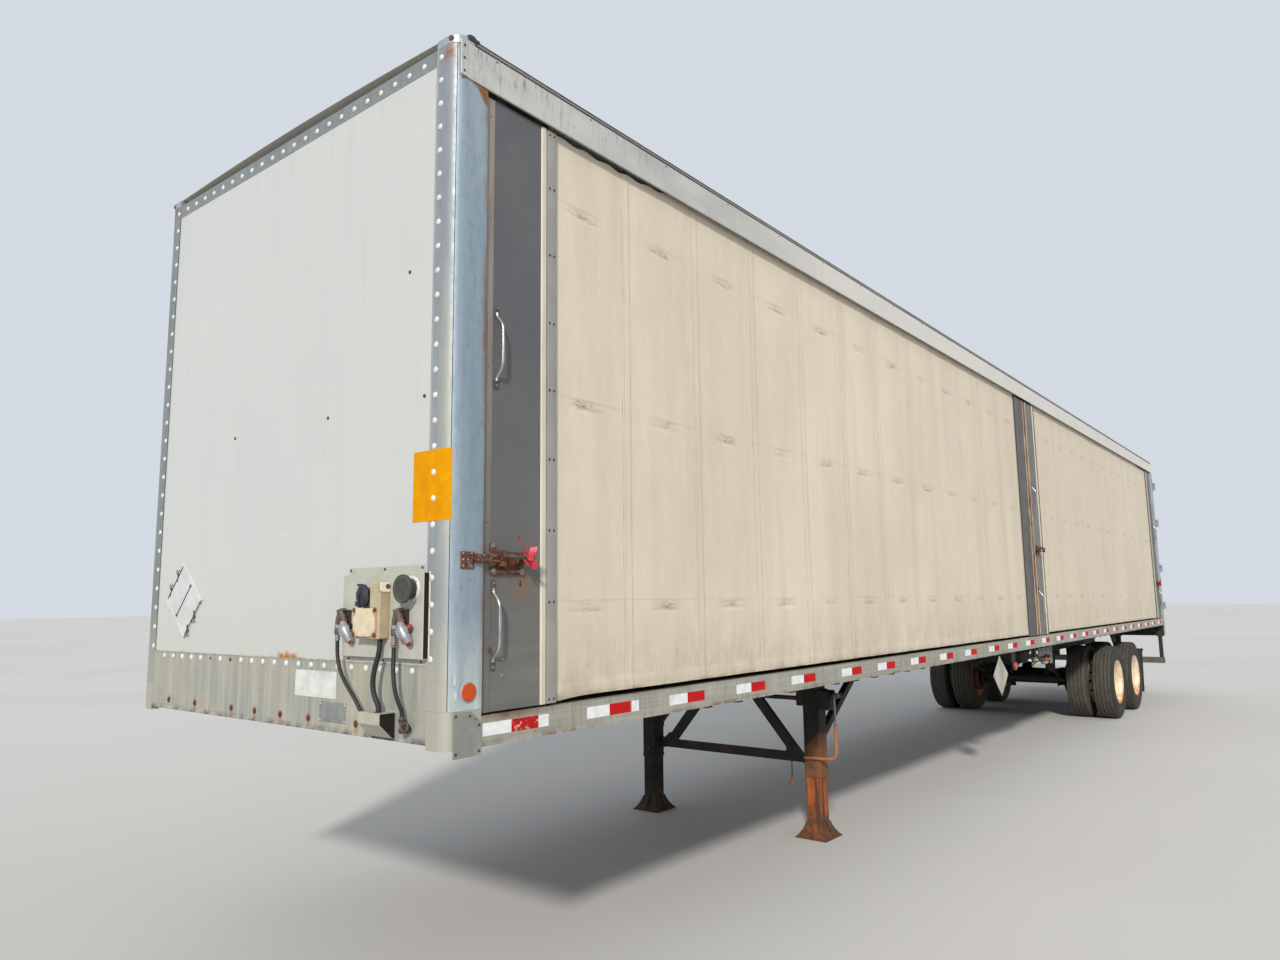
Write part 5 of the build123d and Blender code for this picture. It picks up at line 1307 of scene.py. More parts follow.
def over_centre_latch(b, X, s, yo, zc, ribbons=True):
    """Latch on a panel: base plate, barrel, lever and its hook. X(t) gives the place t along the panel, 0 at the hook end."""
    Y = lambda d: s * (yo + d)
    b.use(RUST_METAL)
    plate = [(X(0.000), zc - 0.061), (X(0.000), zc + 0.063), (X(0.036), zc + 0.063), (X(0.040), zc + 0.030), (X(0.176), zc + 0.030),
             (X(0.191), zc + 0.022), (X(0.191), zc - 0.058), (X(0.188), zc - 0.061)]
    prism(b, plate, "y", Y(-0.001), Y(0.0042), 0.001)
    # folded shelf along its lower edge
    prism(b, [(X(0.004), zc - 0.060), (X(0.004), zc - 0.043), (X(0.186), zc - 0.041), (X(0.186), zc - 0.058)], "y", Y(0.003), Y(0.0135), 0.0015)
    brick(b, (X(0.008), Y(0.004), zc - 0.026), (X(0.178), Y(0.0105), zc + 0.022), 0.002)
    # barrel and its ears
    for z0, z1 in ((zc - 0.030, zc - 0.010), (zc + 0.016, zc + 0.034)):
        prism(b, [(X(0.036), z0), (X(0.036), z1), (X(0.074), z1), (X(0.074), z0)], "y", Y(0.004), Y(0.034), 0.0015)
    lathe(b, [(0.0125, 0), (0.0135, 0.003), (0.0135, 0.062), (0.0125, 0.065), (0, 0.065)], (X(0.054), Y(0.030), zc - 0.031), (0, 0, 1), 14)
    # lever, a flattened tube with a turned end
    b.use(CAST_DARK)
    pts = [(X(0.050), Y(0.040), zc + 0.010), (X(0.072), Y(0.047), zc + 0.010), (X(0.110), Y(0.050), zc + 0.008), (X(0.150), Y(0.046), zc + 0.006),
           (X(0.176), Y(0.040), zc + 0.004)]
    tube(b, pts, [0.0095, 0.0125, 0.0125, 0.0125, 0.0100], 12, flat=0.72)
    b.use(RUST_METAL)
    lathe(b, [(0.014, 0), (0.0155, 0.004), (0.0155, 0.016), (0.014, 0.020), (0, 0.020)], (X(0.036), Y(0.040), zc + 0.009), (-1 if X(1) < X(0) else 1, 0, 0), 14)
    # keeper that holds the lever down
    prism(b, [(X(0.150), zc - 0.024), (X(0.150), zc + 0.026), (X(0.170), zc + 0.026), (X(0.170), zc - 0.024)], "y", Y(0.004), Y(0.030), 0.0015)
    tube(b, [(X(0.160), Y(0.028), zc - 0.022), (X(0.160), Y(0.056), zc - 0.010), (X(0.160), Y(0.060), zc + 0.008), (X(0.160), Y(0.052), zc + 0.024), (X(0.160), Y(0.028), zc + 0.028)],
         0.0042, 8)
    # hook arms that reach over the post's plate
    for dz in (-0.010, 0.012):
        tube(b, [(X(0.050), Y(0.034), zc + dz), (X(0.020), Y(0.030), zc + dz), (X(-0.030), Y(0.0285), zc + dz * 0.9), (X(-0.078), Y(0.0285), zc + dz * 0.9)], 0.0050, 8)
    prism(b, [(X(-0.064), zc - 0.022), (X(-0.070), zc + 0.014), (X(-0.082), zc + 0.018), (X(-0.088), zc - 0.016)], "y", Y(0.0225), Y(0.0385), 0.002)
    prism(b, [(X(-0.080), zc - 0.013), (X(-0.080), zc + 0.012), (X(-0.112), zc + 0.009), (X(-0.118), zc + 0.002), (X(-0.112), zc - 0.009)], "y", Y(0.0275), Y(0.0365), 0.0015)
    for dz in (-0.016, 0.014):
        tube(b, [(X(-0.076), Y(0.034), zc + dz), (X(-0.098), Y(0.034), zc + dz * 0.8), (X(-0.108), Y(0.033), zc + dz * 0.3)], 0.0030, 8)
    tube(b, [(X(0.004), Y(0.026), zc - 0.030), (X(-0.012), Y(0.027), zc - 0.018), (X(-0.020), Y(0.028), zc + 0.002), (X(-0.010), Y(0.028), zc + 0.020)], 0.0050, 8)
    b.use(BOLT)
    for t, dz in ((0.022, 0.052), (0.020, -0.050), (0.174, -0.050)):
        hexbolt(b, (X(t), Y(0.0040 if dz > 0 else 0.0130), zc + dz), (0, s, 0), 0.0075, 0.0055, a0=t * 50)
    # red ribbon seal through the keeper: a loop, two flaps and a tail; the middle latches carry a small dark knot
    b.use(RED if ribbons else SEAL_RED)
    k = 1.0 if ribbons else 0.8
    loop = [(X(0.170 + 0.026 * k * cos(a)), Y(0.060 + 0.014 * k * sin(a * 2)), zc - 0.006 + 0.030 * k * sin(a)) for a in [2 * pi * i / 16 for i in range(17)]]
    tube(b, loop, 0.0034 if ribbons else 0.0046, 8)
    lathe(b, [(0.0090, 0), (0.0110, 0.004), (0.0110, 0.016), (0.0080, 0.020), (0, 0.020)], (X(0.170), Y(0.054), zc - 0.004), (0, s, 0.3), 12)
    if not ribbons:
        tube(b, [(X(0.160), Y(0.046), zc + 0.018), (X(0.150), Y(0.064), zc - 0.006), (X(0.166), Y(0.070), zc - 0.028), (X(0.186), Y(0.058), zc - 0.020)], 0.0060, 8)
        return
    across = 0.62 if X(1) > X(0) else -0.62
    ribbon(b, [(X(0.164), Y(0.050), zc + 0.000), (X(0.172), Y(0.068), zc + 0.016), (X(0.178), Y(0.076), zc + 0.034), (X(0.182), Y(0.074), zc + 0.050)], 0.030, 0.0016, (across, 0.75 * s, 0.12))
    ribbon(b, [(X(0.164), Y(0.056), zc - 0.004), (X(0.180), Y(0.070), zc - 0.010), (X(0.190), Y(0.074), zc - 0.024), (X(0.192), Y(0.070), zc - 0.038)], 0.024, 0.0016, (across / 2, 0.80 * s, 0.45))
    tube(b, [(X(0.166), Y(0.054), zc + 0.006), (X(0.150), Y(0.066), zc + 0.030), (X(0.124), Y(0.072), zc + 0.060), (X(0.104), Y(0.070), zc + 0.084)], 0.0030, 8)
    b.use(SEAL_RED)
    lathe(b, [(0.0044, 0), (0.0052, 0.004), (0.0040, 0.014), (0, 0.015)], (X(0.105), Y(0.070), zc + 0.083), (0.6 if X(1) < X(0) else -0.6, 0, 0.8), 10)


def lead_panel(kind, s, sn):
    d = 1 if kind == "front" else -1
    wide = 0.395 if kind == "front" else 0.357
    X = lambda t: d * (7.897 - t)                     # t runs inwards from the outer edge
    b = MB("end_panel_%s_%s" % (kind, sn)).use(PANEL_GREY)
    ZB, ZT = 1.3010, 3.8880
    yo = 1.2780
    P = lambda pts: [(x, s * y) for x, y in pts]
    # panel sheet with returns
    prism(b, P([(X(0.004), 1.2440), (X(0.004), yo), (X(wide - 0.066), yo), (X(wide - 0.066), 1.2700), (X(wide - 0.003), 1.2700), (X(wide - 0.003), 1.2440)]),
          "z", ZB, ZT, 0.001)
    b.use(SHADOW)
    brick(b, (X(0.010), s * 1.2450, ZT - 0.004), (X(wide - 0.004), s * 1.2600, 4.0120), 0.001)
    b.use(CAST_DARK)
    for t in (0.070, wide - 0.10):
        brick(b, (X(t), s * 1.2590, ZT - 0.02), (X(t + 0.05), s * 1.2640, 3.990), 0.001)
    # channel strip at the outer edge
    b.use(CHANNEL)
    prism(b, P([(X(0.003), 1.2765), (X(0.003), 1.2805), (X(0.0060), 1.2818), (X(0.0085), 1.2812), (X(0.0440), 1.2812), (X(0.0460), 1.2806), (X(0.0480), 1.2795),
                (X(0.0480), 1.2765)]), "z", ZB, ZT - 0.006, 0.0006)
    # bevelled cream strip, then the flat strip that clamps the cloth
    t0 = wide - 0.066
    b.use(CREAM)
    prism(b, P([(X(t0 - 0.001), 1.2770), (X(t0 + 0.006), 1.2832), (X(t0 + 0.028), 1.2836), (X(t0 + 0.035), 1.2790), (X(t0 + 0.035), 1.2710)]), "z", ZB + 0.001, ZT, 0.0006)
    b.use(STRIP)
    prism(b, P([(X(t0 + 0.0365), 1.2720), (X(t0 + 0.0365), 1.2815), (X(t0 + 0.040), 1.2825), (X(t0 + 0.093), 1.2825), (X(t0 + 0.0965), 1.2812), (X(t0 + 0.0965), 1.2775),
                (X(wide - 0.004), 1.2775), (X(wide - 0.004), 1.2720)]), "z", ZB + 0.002, ZT, 0.0006)
    b.use(SCREW)
    for z in (3.868, 3.606, 3.287, 2.969, 2.661, 2.350, 2.037, 1.728, 1.320):
        for t in (0.052, 0.080):
            screw(b, (X(t0 + t), s * 1.2823, z + (0.001 if t > 0.06 else 0)), (0, s, 0), 0.0062, 0.0030)
    for t in (0.0245,):
        for z in (1.40, 2.05, 2.70, 3.35, 3.80):
            screw(b, (X(t), s * 1.2798, z), (0, s, 0), 0.0045, 0.0020)
    # handles, latch, keyhole, small screws
    for hx, z0, z1 in ((0.066, 2.655, 2.925), (0.060, 1.505, 1.775)):
        grab_handle(b, X(hx), yo, s, z0, z1)
    over_centre_latch(b, lambda t: X(0.036 + t), s, yo, 1.905)
    b.use(SHADOW)
    prism(b, [(X(0.210), 1.822), (X(0.216), 1.822), (X(0.217), 1.808), (X(0.221), 1.803), (X(0.218), 1.795), (X(0.210), 1.795), (X(0.207), 1.803), (X(0.210), 1.808)],
          "y", s * (yo - 0.001), s * (yo + 0.0004))
    b.use(BOLT)
    for z in (1.501, 1.437):
        dome(b, (X(0.116), s * yo, z), (0, s, 0), 0.0085, 0.0035)
    b.use(RUST_METAL)
    prism(b, [(X(0.040), 1.531), (X(0.040), 1.553), (X(0.046), 1.553), (X(0.046), 1.531)], "y", s * yo, s * (yo + 0.012), 0.001)
    b.done("lead_panel_%s_%s" % (kind, sn), ("lead_panel_%s_%s" % (kind, sn),), "panel_grey")
    # keeper plate on the corner post
    b = MB("latch_keeper_%s_%s" % (kind, sn)).use(RUST_METAL)
    px = YS + (SK if kind == "front" else 0.0)
    K = lambda x: d * x
    prism(b, [(K(7.952), 1.8655), (K(7.952), 1.9250), (K(7.957), 1.9290), (K(8.017), 1.9290), (K(8.021), 1.9250), (K(8.021), 1.8655), (K(8.017), 1.8610), (K(7.957), 1.8610)],
          "y", s * (px - 0.0002), s * (px + 0.0046), 0.0010)
    brick(b, (K(7.962), s * (px + 0.004), 1.8800), (K(7.992), s * (px + 0.0062), 1.9100), 0.001)
    b.use(BOLT)
    for x in (8.009, 7.966):
        for z in (1.921, 1.897, 1.873):
            dome(b, (K(x), s * (px + 0.0045), z), (0, s, 0), 0.0062, 0.0036)
    dome(b, (K(7.985), s * (px + 0.0045), 1.898), (0, s, 0), 0.0068, 0.0036)
    b.done(slot="galvanized")


for s, sn in SIDES:
    for kind in ("front", "rear"):
        lead_panel(kind, s, sn)

# ================================================================ middle panels
for s, sn in SIDES:
    P = lambda pts: [(x, s * y) for x, y in pts]
    yo = 1.2780
    ZB, ZT = 1.3010, 3.8900
    b = MB("middle_panels_" + sn).use(MID_DARK)
    prism(b, P([(0.2990, 1.2440), (0.2990, 1.2715), (0.2560, 1.2715), (0.2540, yo), (0.0300, yo), (0.0300, 1.2440)]), "z", ZB, ZT, 0.001)
    prism(b, P([(0.3080, 1.2780), (0.3080, 1.2818), (0.2500, 1.2818), (0.2480, 1.2770), (0.2570, 1.2765)]), "z", ZB, ZT, 0.0006)
    b.use(MID_GREY)
    prism(b, P([(-0.1200, 1.2440), (-0.1200, yo), (-0.3700, yo), (-0.3720, 1.2700), (-0.4170, 1.2700), (-0.4170, 1.2440)]), "z", ZB, ZT, 0.001)
    # meeting edges: folded channels with rust and old paint
    for x0, x1 in ((0.0310, -0.0500), (-0.0700, -0.1210)):
        b.use(MID_BROWN)
        prism(b, P([(x0, 1.2450), (x0, 1.2825), (x0 - 0.010, 1.2828), (x0 - 0.012, 1.2765), (x1 + 0.012, 1.2765), (x1 + 0.010, 1.2828), (x1, 1.2825), (x1, 1.2450)]),
              "z", ZB + 0.002, ZT - 0.002, 0.0006)
    b.use(CREAM)
    prism(b, P([(0.0170, 1.2770), (0.0150, 1.2822), (0.0030, 1.2822), (0.0010, 1.2770)]), "z", ZB + 0.003, ZT - 0.003, 0.0005)
    prism(b, P([(-0.0880, 1.2770), (-0.0900, 1.2822), (-0.1000, 1.2822), (-0.1020, 1.2770)]), "z", ZB + 0.003, ZT - 0.003, 0.0005)
    prism(b, P([(-0.3720, 1.2770), (-0.3780, 1.2826), (-0.4020, 1.2828), (-0.4080, 1.2790), (-0.4080, 1.2710), (-0.3720, 1.2710)]), "z", ZB + 0.001, ZT, 0.0006)
    b.use(MID_BROWN)
    prism(b, P([(-0.4090, 1.2780), (-0.4090, 1.2816), (-0.4460, 1.2816), (-0.4460, 1.2780)]), "z", ZB + 0.002, ZT, 0.0006)
    b.use(SCREW)
    for z in (3.84, 3.52, 3.20, 2.88, 2.56, 2.24, 1.92, 1.60, 1.33):
        for x in (0.290, 0.265, -0.420, -0.437):
            screw(b, (x, s * 1.2814, z), (0, s, 0), 0.0055, 0.0028)
    b.use(SHADOW)
    brick(b, (0.290, s * 1.2450, ZT - 0.004), (-0.050, s * 1.2600, 4.0120), 0.001)
    brick(b, (-0.070, s * 1.2450, ZT - 0.004), (-0.410, s * 1.2600, 4.0120), 0.001)
    for z0, z1 in ((2.655, 2.925), (1.505, 1.775)):
        grab_handle(b, -0.1450, yo, s, z0, z1)
    over_centre_latch(b, lambda t: -0.125 - t * 0.62, s, yo + 0.0045, 2.232, ribbons=False)
    b.done(stands_for=("middle_panels", "middle_handles") if s > 0 else (), slot="panel_grey")


# ================================================================ service connections on the front wall
X_TRAY = 8.105

m = Mat("cover_plate", 0.5)
col = m.mix(m.rng(m.noise(16, 5, 0.65), 0.36, 0.66), C(206, 199, 174), C(190, 178, 146))
col = m.mix(m.rng(m.noise(60, 4, 0.7, stretch=(1, 1, 0.3)), 0.52, 0.72, 0, 0.4), col, C(214, 210, 194))
sc = None
for cy, cz in ((0.8065, 1.7045), (0.9455, 1.7045), (0.8065, 1.6090), (0.9455, 1.6090)):
    r = m.math("SQRT", m.math("ADD", m.math("POWER", m.math("SUBTRACT", m.xyz(1), cy), 2.0), m.math("POWER", m.math("MULTIPLY", m.math("SUBTRACT", m.xyz(2), cz - 0.004), 0.7), 2.0)))
    st = m.rng(r, 0.007, 0.021, 1.0, 0.0, True)
    sc = st if sc is None else m.math("MAXIMUM", sc, st)
edge = m.math("MULTIPLY", m.rng(m.xyz(1), 0.9465, 0.9515, 0.0, 1.0, True), m.rng(m.noise(30, 4, 0.7, stretch=(1, 1, 0.5)), 0.38, 0.55, 0.15, 0.9))
low = m.math("MULTIPLY", m.rng(m.xyz(2), 1.600, 1.632, 0.9, 0.0, True), m.rng(m.noise(26, 5, 0.7), 0.44, 0.62))
rf = m.math("MAXIMUM", m.math("MAXIMUM", m.math("MULTIPLY", sc, m.rng(m.noise(60, 5, 0.7), 0.36, 0.58, 0.2, 0.9)), edge), low)
col = m.mix(rf, col, m.mix(m.noise(80, 4), C(196, 122, 74), C(150, 76, 44)))
m.color(col).rough(m.rng(m.noise(30, 4), 0.3, 0.7, 0.42, 0.62))
m.bump(rf, 0.3, 0.0008)
m.bump(m.noise(220, 3), 0.12, 0.0008)
COVER = m.m
BOX_SIDE = painted("box_side", C(190, 174, 140), C(160, 142, 108), 0.55, 0.0, cloud=16, amount=0.7, streak=0.6, streak_scale=30).m
# pale cream; on the junction box's side band its lightness is painted highlight
BOX_PALE_AND_PAINTED_HIGHLIGHT = painted("box_pale_and_painted_highlight", C(232, 224, 202), C(206, 188, 156), 0.5, 0.0, cloud=20, amount=0.5).m
TRAY = painted("service_tray", C(178, 180, 171), C(156, 154, 142), 0.45, 0.05, cloud=5, amount=0.6, streak=0.5, streak_scale=26).m
BRACKET = painted("bracket_rust", C(72, 58, 46), C(44, 36, 30), 0.8, 0.2, cloud=40, amount=0.8, rust=0.5, rust_scale=40, rust_col=C(126, 88, 48)).m
NIPPLE = painted("pipe_grey_brown", C(98, 90, 84), C(68, 58, 52), 0.6, 0.35, cloud=50, amount=0.8, streak=0.5, streak_scale=60).m
SILVER = painted("cast_silver", C(176, 178, 184), C(126, 124, 122), 0.44, 0.6, cloud=60, amount=0.8).m
NUT = painted("nut_bright", C(176, 176, 174), C(122, 118, 110), 0.34, 0.8, cloud=80, amount=0.7).m
PINK_BRASS = painted("fitting_pink_brass", C(164, 132, 112), C(116, 88, 66), 0.5, 0.5, cloud=80, amount=0.8).m
HOOD_SHEET = painted("hood_sheet", C(172, 170, 154), C(146, 142, 126), 0.5, 0.1, cloud=10, amount=0.6, streak=0.4, streak_scale=26).m
# near-black: painted shade filling openings and holes, and also the colour of the left coupling's black knob
PAINTED_SHADE_AND_BLACK = painted("painted_shade_and_black", C(20, 19, 18), C(30, 27, 24), 0.95, 0.0).m
LENS_RIM = painted("lamp_rim", C(52, 54, 50), C(86, 84, 74), 0.45, 0.2, cloud=40, amount=0.6).m

b = MB("service_tray").use(TRAY)
brick(b, (8.1012, 0.6450, 1.5160), (8.1050, 1.1838, 1.8510), 0.0016)
brick(b, (8.0792, 0.6450, 1.5160), (8.1018, 0.6478, 1.8510), 0.0006)
brick(b, (8.0792, 0.6470, 1.8482), (8.1018, 1.1838, 1.8510), 0.0006)
brick(b, (8.0792, 0.6470, 1.5160), (8.1018, 1.1838, 1.5188), 0.0006)
brick(b, (8.0768, 0.6450, 1.8440), (8.0790, 1.1520, 1.8810), 0.0006)
brick(b, (8.0768, 0.6480, 1.4985), (8.0790, 1.1740, 1.5200), 0.0006)
b.use(BOX_PALE_AND_PAINTED_HIGHLIGHT)
brick(b, (8.0768, 1.1846, 1.5070), (8.0800, 1.1905, 1.8530), 0.0006)
# painted shade: a near-black block fills the tray's open +Y side in place of the shade inside it
b.use(PAINTED_SHADE_AND_BLACK)
brick(b, (8.0788, 0.6474, 1.5185), (8.1014, 1.1810, 1.8485), 0.0004)
b.use(SCREW)
for y in (0.658, 0.897, 1.141):
    screw(b, (8.0789, y, 1.8705), (1, 0, 0), 0.0062, 0.0036)
for y in (0.6585, 0.8990, 1.1430):
    screw(b, (8.0789, y, 1.5040), (1, 0, 0), 0.0052, 0.0034)
b.done(stands_for=("service_panel",), slot="service_grey")

# junction box with its screwed cover
b = MB("junction_box").use(CREAM_BOX)
brick(b, (8.1040, 0.9050, 1.5920), (8.1535, 0.9700, 1.8170), 0.0030)
brick(b, (8.1040, 0.8030, 1.5920), (8.1490, 0.9080, 1.7090), 0.0030)
b.use(SHADOW)
brick(b, (8.1480, 0.8015, 1.6025), (8.1525, 0.9515, 1.7105), 0.0008)
b.use(COVER)
brick(b, (8.1520, 0.7990, 1.6000), (8.1592, 0.9530, 1.7130), 0.0026)
for z in (1.6340, 1.6560, 1.6780):
    brick(b, (8.1588, 0.8240, z - 0.0010), (8.1597, 0.9200, z + 0.0010), 0.0004)
b.use(BOX_SIDE)
brick(b, (8.1065, 0.9690, 1.5960), (8.1515, 0.9712, 1.7755), 0.0008)
# top band on the box's +Y side: a raised strip whose lighter colour is painted highlight
b.use(BOX_PALE_AND_PAINTED_HIGHLIGHT)
top = [(8.1065, 1.7770), (8.1400, 1.7770), (8.1470, 1.7800), (8.1510, 1.7870), (8.1520, 1.8150), (8.1065, 1.8150)]
prism(b, top, "y", 0.9690, 0.9738, 0.0010)
b.use(CREAM_BOX)
brick(b, (8.1532, 0.9080, 1.7160), (8.1550, 0.9660, 1.8140), 0.0008)
b.use(RUST_BOLT)
for y, z, a in ((0.8065, 1.7055, 0.2), (0.9455, 1.7055, 0.9), (0.8065, 1.6080, 1.3), (0.9455, 1.6080, 0.5)):
    hexbolt(b, (8.1590, y, z), (1, 0, 0), 0.0058, 0.0040, a0=a)
hexbolt(b, (8.1180, 0.9735, 1.7990), (0, 1, 0), 0.0060, 0.0040, a0=0.4)
b.done(stands_for=("service_box",), slot="service_grey")

# round socket with its eight-sided spring cap
b = MB("socket_cap").use(CREAM_BOX)
brick(b, (8.1040, 0.8120, 1.7120), (8.1240, 0.9045, 1.8000), 0.0030)
b.use(CAST_DARK)
lathe(b, [(0.034, 0.0), (0.036, 0.003), (0.036, 0.014), (0, 0.014)], (8.1225, 0.842, 1.764), (1, 0, 0), 24)
b.use(CAP_DARK)
lathe(b, [(0.0400, 0.0), (0.0460, 0.003), (0.0485, 0.008), (0.0480, 0.014), (0.0370, 0.0225), (0.0345, 0.0240), (0, 0.0240)],
      (8.1340, 0.846, 1.764), (1, -0.10, -0.06), 8, a0=pi / 8)
prism(b, [(0.8310, 1.7290), (0.8390, 1.7290), (0.8450, 1.8000), (0.8370, 1.8000)], "x", 8.1560, 8.1618, 0.0012)
brick(b, (8.1360, 0.8080, 1.8020), (8.1500, 0.8380, 1.8120), 0.0020)
tube(b, [(8.1430, 0.8060, 1.8070), (8.1430, 0.8410, 1.8070)], 0.0042, 10)
prism(b, [(0.8020, 1.7240), (0.8330, 1.7150), (0.8350, 1.7300), (0.8050, 1.7420)], "x", 8.1420, 8.1540, 0.0015)
b.done(slot="service_grey")

# round lamp on a stand-off ring
b = MB("lamp_round").use(RIVET)
lathe(b, [(0.0400, 0.0), (0.0510, 0.0), (0.0510, 0.0050), (0.0480, 0.0080), (0.0400, 0.0080)], (X_TRAY, 1.112, 1.787), (1, 0, 0), 40, loop=True)
b.use(LENS_RIM)
lathe(b, [(0.0300, 0.0000), (0.0380, 0.0040), (0.0380, 0.0300), (0.0480, 0.0345), (0.0548, 0.0380), (0.0560, 0.0430), (0.0556, 0.0490),
          (0.0535, 0.0518), (0.0505, 0.0520), (0.0490, 0.0490)], (X_TRAY, 1.112, 1.787), (1, 0, 0), 48)
b.use(LAMP_GLASS)
lathe(b, [(0.0495, 0.0480), (0.0485, 0.0496), (0.0400, 0.0478), (0.0300, 0.0465), (0.0200, 0.0458), (0.0120, 0.0456), (0.0108, 0.0475), (0.0090, 0.0478),
          (0.0078, 0.0456), (0, 0.0455)], (X_TRAY, 1.112, 1.787), (1, 0, 0), 48)
b.use(SCREW)
for a in (40, 160, 280):
    screw(b, (X_TRAY + 0.0076, 1.112 + 0.0450 * cos(radians(a)), 1.787 + 0.0450 * sin(radians(a))), (1, 0, 0), 0.0032, 0.0022)
b.done(stands_for=("service_lamp",), slot="lamp")

# two air couplings, each under a small angle bracket
b = MB("air_couplings")
for gy, knob in ((0.651, PAINTED_SHADE_AND_BLACK), (1.038, SEAL_RED)):
    b.use(BRACKET)
    brick(b, (8.1045, gy - 0.008, 1.6380), (8.1078, gy + 0.060, 1.7060), 0.0008)
    brick(b, (8.1045, gy - 0.010, 1.7028), (8.1345, gy + 0.062, 1.7060), 0.0008)
    for y0 in (gy - 0.008, gy + 0.0572):
        prism(b, [(8.1070, 1.7035), (8.1325, 1.7035), (8.1300, 1.6960), (8.1070, 1.6480)], "y", y0, y0 + 0.0028, 0.0004)
    b.use(RUST_BOLT)
    hexbolt(b, (8.1076, gy + 0.046, 1.6860), (1, 0, 0), 0.0060, 0.0046, a0=0.4)
    # pipe down from the bracket to the line's nut
    b.use(NIPPLE)
    tube(b, [(8.1215, gy + 0.006, 1.7040), (8.1260, gy + 0.003, 1.6850), (8.1300, gy, 1.6640), (8.1300, gy, 1.6440)], [0.0120, 0.0115, 0.0110, 0.0110], 14)
    lathe(b, [(0.0210, 0.0), (0.0215, 0.006), (0.0185, 0.030), (0.0150, 0.050), (0.0145, 0.056)], (8.1215, gy + 0.012, 1.7035), (0.12, 0.62, -0.98), 16)
    b.use(SEAL_RUST)
    lathe(b, [(0.0150, 0.0), (0.0182, 0.0015), (0.0182, 0.0050), (0.0150, 0.0065)], (8.1270, gy + 0.0370, 1.6610), (0.12, 0.62, -0.98), 18)
    b.use(NUT)
    lathe(b, [(0.0120, 0.0), (0.0136, 0.0015), (0.0136, 0.0145), (0.0120, 0.0160), (0, 0.0160)], (8.1300, gy, 1.6310), (0, 0, 1), 6, a0=0.35)
    b.use(NIPPLE)
    lathe(b, [(0.0100, 0.0), (0.0128, 0.002), (0.0134, 0.010), (0.0134, 0.024), (0.0120, 0.0265), (0, 0.0265)], (8.1300, gy, 1.6048), (0, 0, 1), 18)
    b.use(NUT)
    lathe(b, [(0.0092, 0.0), (0.0104, 0.001), (0.0104, 0.006), (0.0094, 0.0075), (0.0104, 0.009), (0.0104, 0.015), (0.0094, 0.0165), (0.0104, 0.018), (0.0104, 0.026), (0, 0.026)],
          (8.1300, gy, 1.5795), (0, 0, 1), 18)
    # cast head: neck, round face with its lug, and the mouth below
    b.use(SILVER)
    tube(b, [(8.1280, gy + 0.036, 1.6620), (8.1320, gy + 0.044, 1.6480), (8.1340, gy + 0.053, 1.6330), (8.1325, gy + 0.063, 1.6160), (8.1290, gy + 0.073, 1.6000),
             (8.1250, gy + 0.081, 1.5870), (8.1225, gy + 0.085, 1.5800)], [0.0120, 0.0165, 0.0215, 0.0225, 0.0195, 0.0165, 0.0140], 18)
    lathe(b, [(0.0170, -0.006), (0.0250, -0.004), (0.0270, 0.0), (0.0270, 0.0050), (0.0250, 0.0075), (0.0175, 0.0080), (0.0160, 0.0050), (0, 0.0050)],
          (8.1365, gy + 0.0560, 1.6230), (1, 0.20, 0.10), 24)
    prism(b, [(gy + 0.070, 1.6360), (gy + 0.086, 1.6420), (gy + 0.090, 1.6200), (gy + 0.080, 1.6050), (gy + 0.070, 1.6060)], "x", 8.1290, 8.1370, 0.0015)
    b.use(SEAL_GREY)
    lathe(b, [(0.0155, 0.0), (0.0155, 0.0068), (0.0130, 0.0088), (0.0085, 0.0084), (0.0075, 0.0040), (0, 0.0040)], (8.1372, gy + 0.0561, 1.6231), (1, 0.20, 0.10), 22)
    b.use(knob)
    dome(b, (8.1230, gy + 0.0870, 1.6400), (0.75, 0.60, 0.2), 0.0115, 0.0110, 14)
    # seal ring at the mouth
    b.use(NUT)
    lathe(b, [(0.0110, -0.004), (0.0138, -0.003), (0.0142, 0.0), (0.0120, 0.0015), (0, 0.0015)], (8.1215, gy + 0.0850, 1.5780), (0.80, 0.35, -0.45), 20)
    b.use(SEAL_RED if gy > 1 else SEAL_RUST)
    lathe(b, [(0.0105, -0.001), (0.0118, 0.003), (0.0105, 0.0062), (0.0060, 0.0064), (0.0050, 0.0035), (0, 0.0035)], (8.1222, gy + 0.0860, 1.5770), (0.80, 0.35, -0.45), 20)
b.use(PINK_BRASS)
lathe(b, [(0.0100, 0.0), (0.0132, 0.0015), (0.0132, 0.0105), (0.0100, 0.0120), (0, 0.0120)], (8.1300, 1.038, 1.5690), (0, 0, 1), 6, a0=0.1)
lathe(b, [(0.0088, 0.0), (0.0118, 0.001), (0.0118, 0.006), (0.0088, 0.007), (0, 0.007)], (8.1300, 1.038, 1.5610), (0, 0, 1), 18)
b.done(stands_for=("hose_couplings",), slot="service_grey")

# bent-sheet hood over two of the lines, and the elbow of the third
b = MB("line_hood").use(HOOD_SHEET)
sheet = [(8.0775, 1.3060), (8.1515, 1.3060), (8.1530, 1.3045), (8.1530, 1.2620), (8.0935, 1.2045), (8.0775, 1.2020), (8.0775, 1.2046), (8.0922, 1.2070),
         (8.1504, 1.2632), (8.1504, 1.3034), (8.0775, 1.3034)]
prism(b, sheet, "y", 0.8460, 0.9870)
brick(b, (8.0768, 0.8380, 1.2980), (8.0786, 0.9950, 1.3110), 0.0005)
b.use(SHADOW)
prism(b, [(8.0780, 1.2010), (8.0950, 1.2035), (8.0960, 1.2060), (8.0780, 1.2040)], "y", 0.8440, 0.9895)
